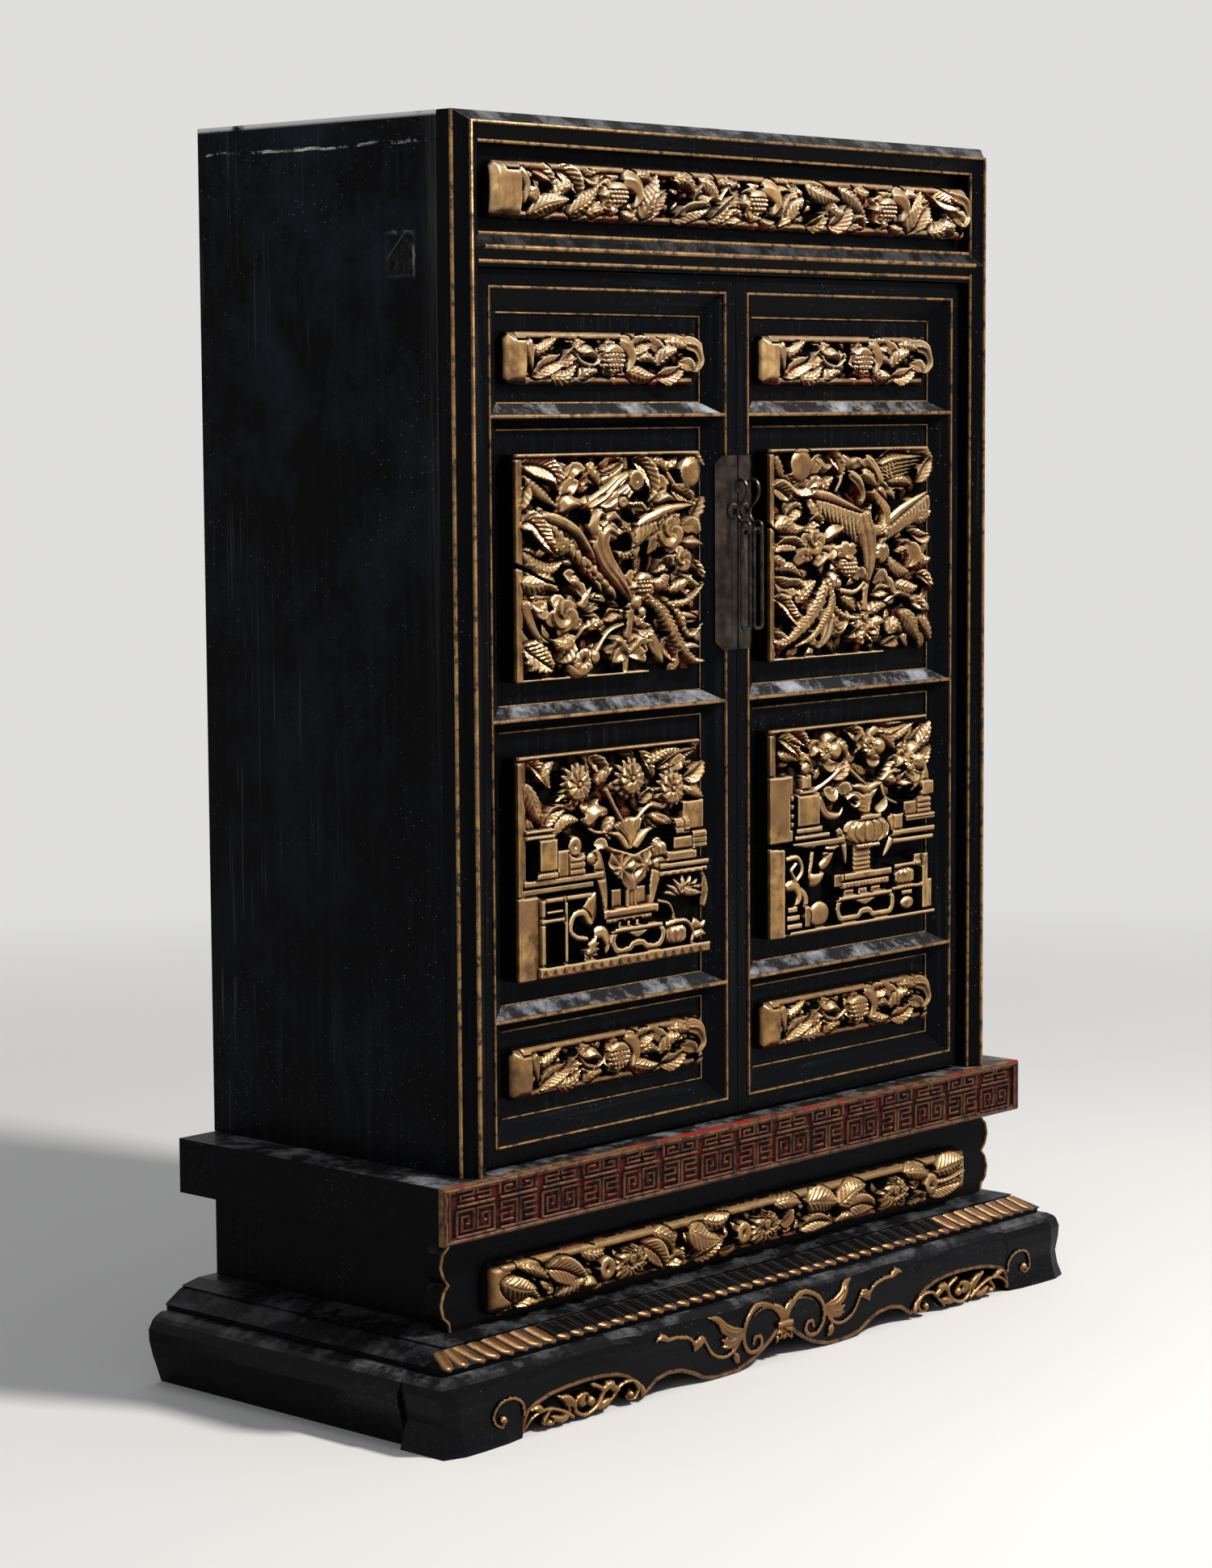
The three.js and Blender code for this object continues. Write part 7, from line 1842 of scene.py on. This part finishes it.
def rosettes():
    """Round flower heads that hold the hooks, one on each lock plate."""
    s, t = np.meshgrid(np.linspace(1, -1, 7), np.linspace(0, 1, 7))
    half = 0.25 + 1.05 * t ** 0.8 * np.sqrt(np.clip(1.02 - np.maximum(t - 0.6, 0) ** 2 / 0.165, 0.02, 1))
    run, side = 1.0 + 4.1 * t, s * half
    lift = (2.6 - 1.5 * t ** 2) + 0.45 * np.cos(s * np.pi / 2)
    for name, sign in (("left", -1), ("right", 1)):
        points, faces = [], []
        for turn in np.arange(ROSETTE_PETALS) * 2 * np.pi / ROSETTE_PETALS:
            x = sign * ROSETTE[0] + run * np.cos(turn) + side * np.sin(turn)
            z = ROSETTE[2] + side * np.cos(turn) - run * np.sin(turn)
            made, quads = shell(*(np.stack([x, ROSETTE[1] - level, z], -1) for level in (lift, lift * 0)))
            faces.append(quads + len(points) * len(made))
            points.append(made)
        piece_from(name + "_lock_rosette", np.vstack(points), np.vstack(faces).tolist(), BRONZE,
                   name + "_door", 60)


fret_rows()
petal_rows()
# Darker copies of the gilt for the apron's scrolls and edge bead: painted shade on the cabinet's foot.
APRON_LEAF_SHADED = gilt_finish("apron_leaf_shaded", (0.22, 0.105, 0.034, 1), (0.075, 0.032, 0.013, 1), 0.7,
                         rubbed_and_lit=(0.52, 0.31, 0.12, 1))
APRON_LEAF_SHADED_LINE = gilt_finish("apron_leaf_shaded_line", (0.20, 0.098, 0.034, 1), (0.075, 0.032, 0.013, 1), 0.75,
                              carved=False)
apron_ornament()
waist_lines()
rosettes()


# Stage, lights and camera

# The camera fitted to the photograph: place in millimetres, turns in radians, focal length in pixels.
EYE = (-1749.79, -1583.25, 599.91)
YAW, PITCH, ROLL = 0.8282, -0.1024, -0.0060
FOCAL, PHOTO_HIGH, SENSOR, FAR_CLIP = 4548.29, 1941, 36, 50
BACKDROP = (0.74, 0.735, 0.725, 1)
SKY, SKY_STRENGTH = (0.93, 0.95, 1.0, 1), 0.24
FLOOR_NEAR, FLOOR_FAR, FLOOR_HALF = 0.75, 2.1, 9000
LAMPS = (   # name, place, aim, size, power and colour
    ("key", (0.5, -1.6, 2.1), (0, -0.1, 0.38), 0.3, 80, (1.0, 0.97, 0.93)),
    ("fill", (-2.4, -1.4, 1.2), (0, 0, 0.4), 1.6, 7, (0.93, 0.96, 1.0)),
    ("above", (0.0, 0.2, 2.6), (0, 0, 0.4), 1.6, 10, (1, 1, 1)),
)


def set_camera():
    lens = bpy.data.cameras.new("viewpoint")
    lens.lens, lens.sensor_width, lens.clip_end = FOCAL * SENSOR / PHOTO_HIGH, SENSOR, FAR_CLIP
    made = bpy.data.objects.new("viewpoint", lens)
    made.matrix_world = Matrix.Translation(Vector(EYE) * MM) @ Matrix.Rotation(-YAW, 4, "Z") \
        @ Matrix.Rotation(math.pi / 2 + PITCH, 4, "X") @ Matrix.Rotation(ROLL, 4, "Z")
    bpy.context.scene.collection.objects.link(made)
    bpy.context.scene.camera = made


def set_lamp(name, place, aim, size, power, colour):
    light = bpy.data.lights.new(name, "AREA")
    light.shape, light.size, light.energy, light.color = "DISK", size, power, colour
    made = bpy.data.objects.new(name, light)
    way = (Vector(aim) - Vector(place)).to_track_quat("-Z", "Y")
    made.matrix_world = Matrix.Translation(place) @ way.to_matrix().to_4x4()
    bpy.context.scene.collection.objects.link(made)


def shown_to(tree):
    """1 for the rays that show the backdrop: from the camera, off gloss and through glass."""
    path, near, seen = (tree.nodes.new("ShaderNode" + kind) for kind in ("LightPath", "Math", "Math"))
    near.operation = seen.operation = "ADD"
    seen.use_clamp = True
    tree.links.new(path.outputs["Is Camera Ray"], near.inputs[0])
    tree.links.new(path.outputs["Is Glossy Ray"], near.inputs[1])
    tree.links.new(near.outputs[0], seen.inputs[0])
    tree.links.new(path.outputs["Is Transmission Ray"], seen.inputs[1])
    return seen.outputs[0]


def blended(tree, share, first, second, end):
    """Ends a tree in a mix of two shaders."""
    blend = tree.nodes.new("ShaderNodeMixShader")
    for source, socket in zip((share, first, second), blend.inputs):
        tree.links.new(source, socket)
    tree.links.new(blend.outputs[0], tree.nodes[end].inputs["Surface"])


def set_stage():
    """A pale floor that fades into a plain backdrop, under a soft sky."""
    f = Finish("pale_floor")
    f.done(f.mix(f.noise(3.0, 2.0), FLOOR_PALE, tuple(c * 0.97 for c in FLOOR_PALE[:3]) + (1,)), 0.0, 0.8)
    away = f.add("ShaderNodeVectorMath", operation="LENGTH")
    f.join(f.where, away.inputs[0])
    far = f.times(f.ramp(away.outputs["Value"], FLOOR_NEAR, FLOOR_FAR), shown_to(f.tree))
    glow = f.add("ShaderNodeEmission")
    glow.inputs["Color"].default_value = BACKDROP
    blended(f.tree, far, f.shader.outputs[0], glow.outputs[0], "Material Output")
    half = FLOOR_HALF
    piece_from("floor", [(-half, -half, 0), (half, -half, 0), (half, half, 0), (-half, half, 0)],
                        [(0, 1, 2, 3)], f.material)
    world = bpy.data.worlds.new("studio")
    bpy.context.scene.world = world
    world.use_nodes = True
    soft, pale = world.node_tree.nodes["Background"], world.node_tree.nodes.new("ShaderNodeBackground")
    for sky, colour, strength in ((soft, SKY, SKY_STRENGTH), (pale, BACKDROP, 1.0)):
        sky.inputs["Color"].default_value, sky.inputs["Strength"].default_value = colour, strength
    blended(world.node_tree, shown_to(world.node_tree), soft.outputs[0], pale.outputs[0], "World Output")


set_camera()
set_stage()
for lamp in LAMPS:
    set_lamp(*lamp)

bpy.context.scene.view_settings.view_transform = "Standard"
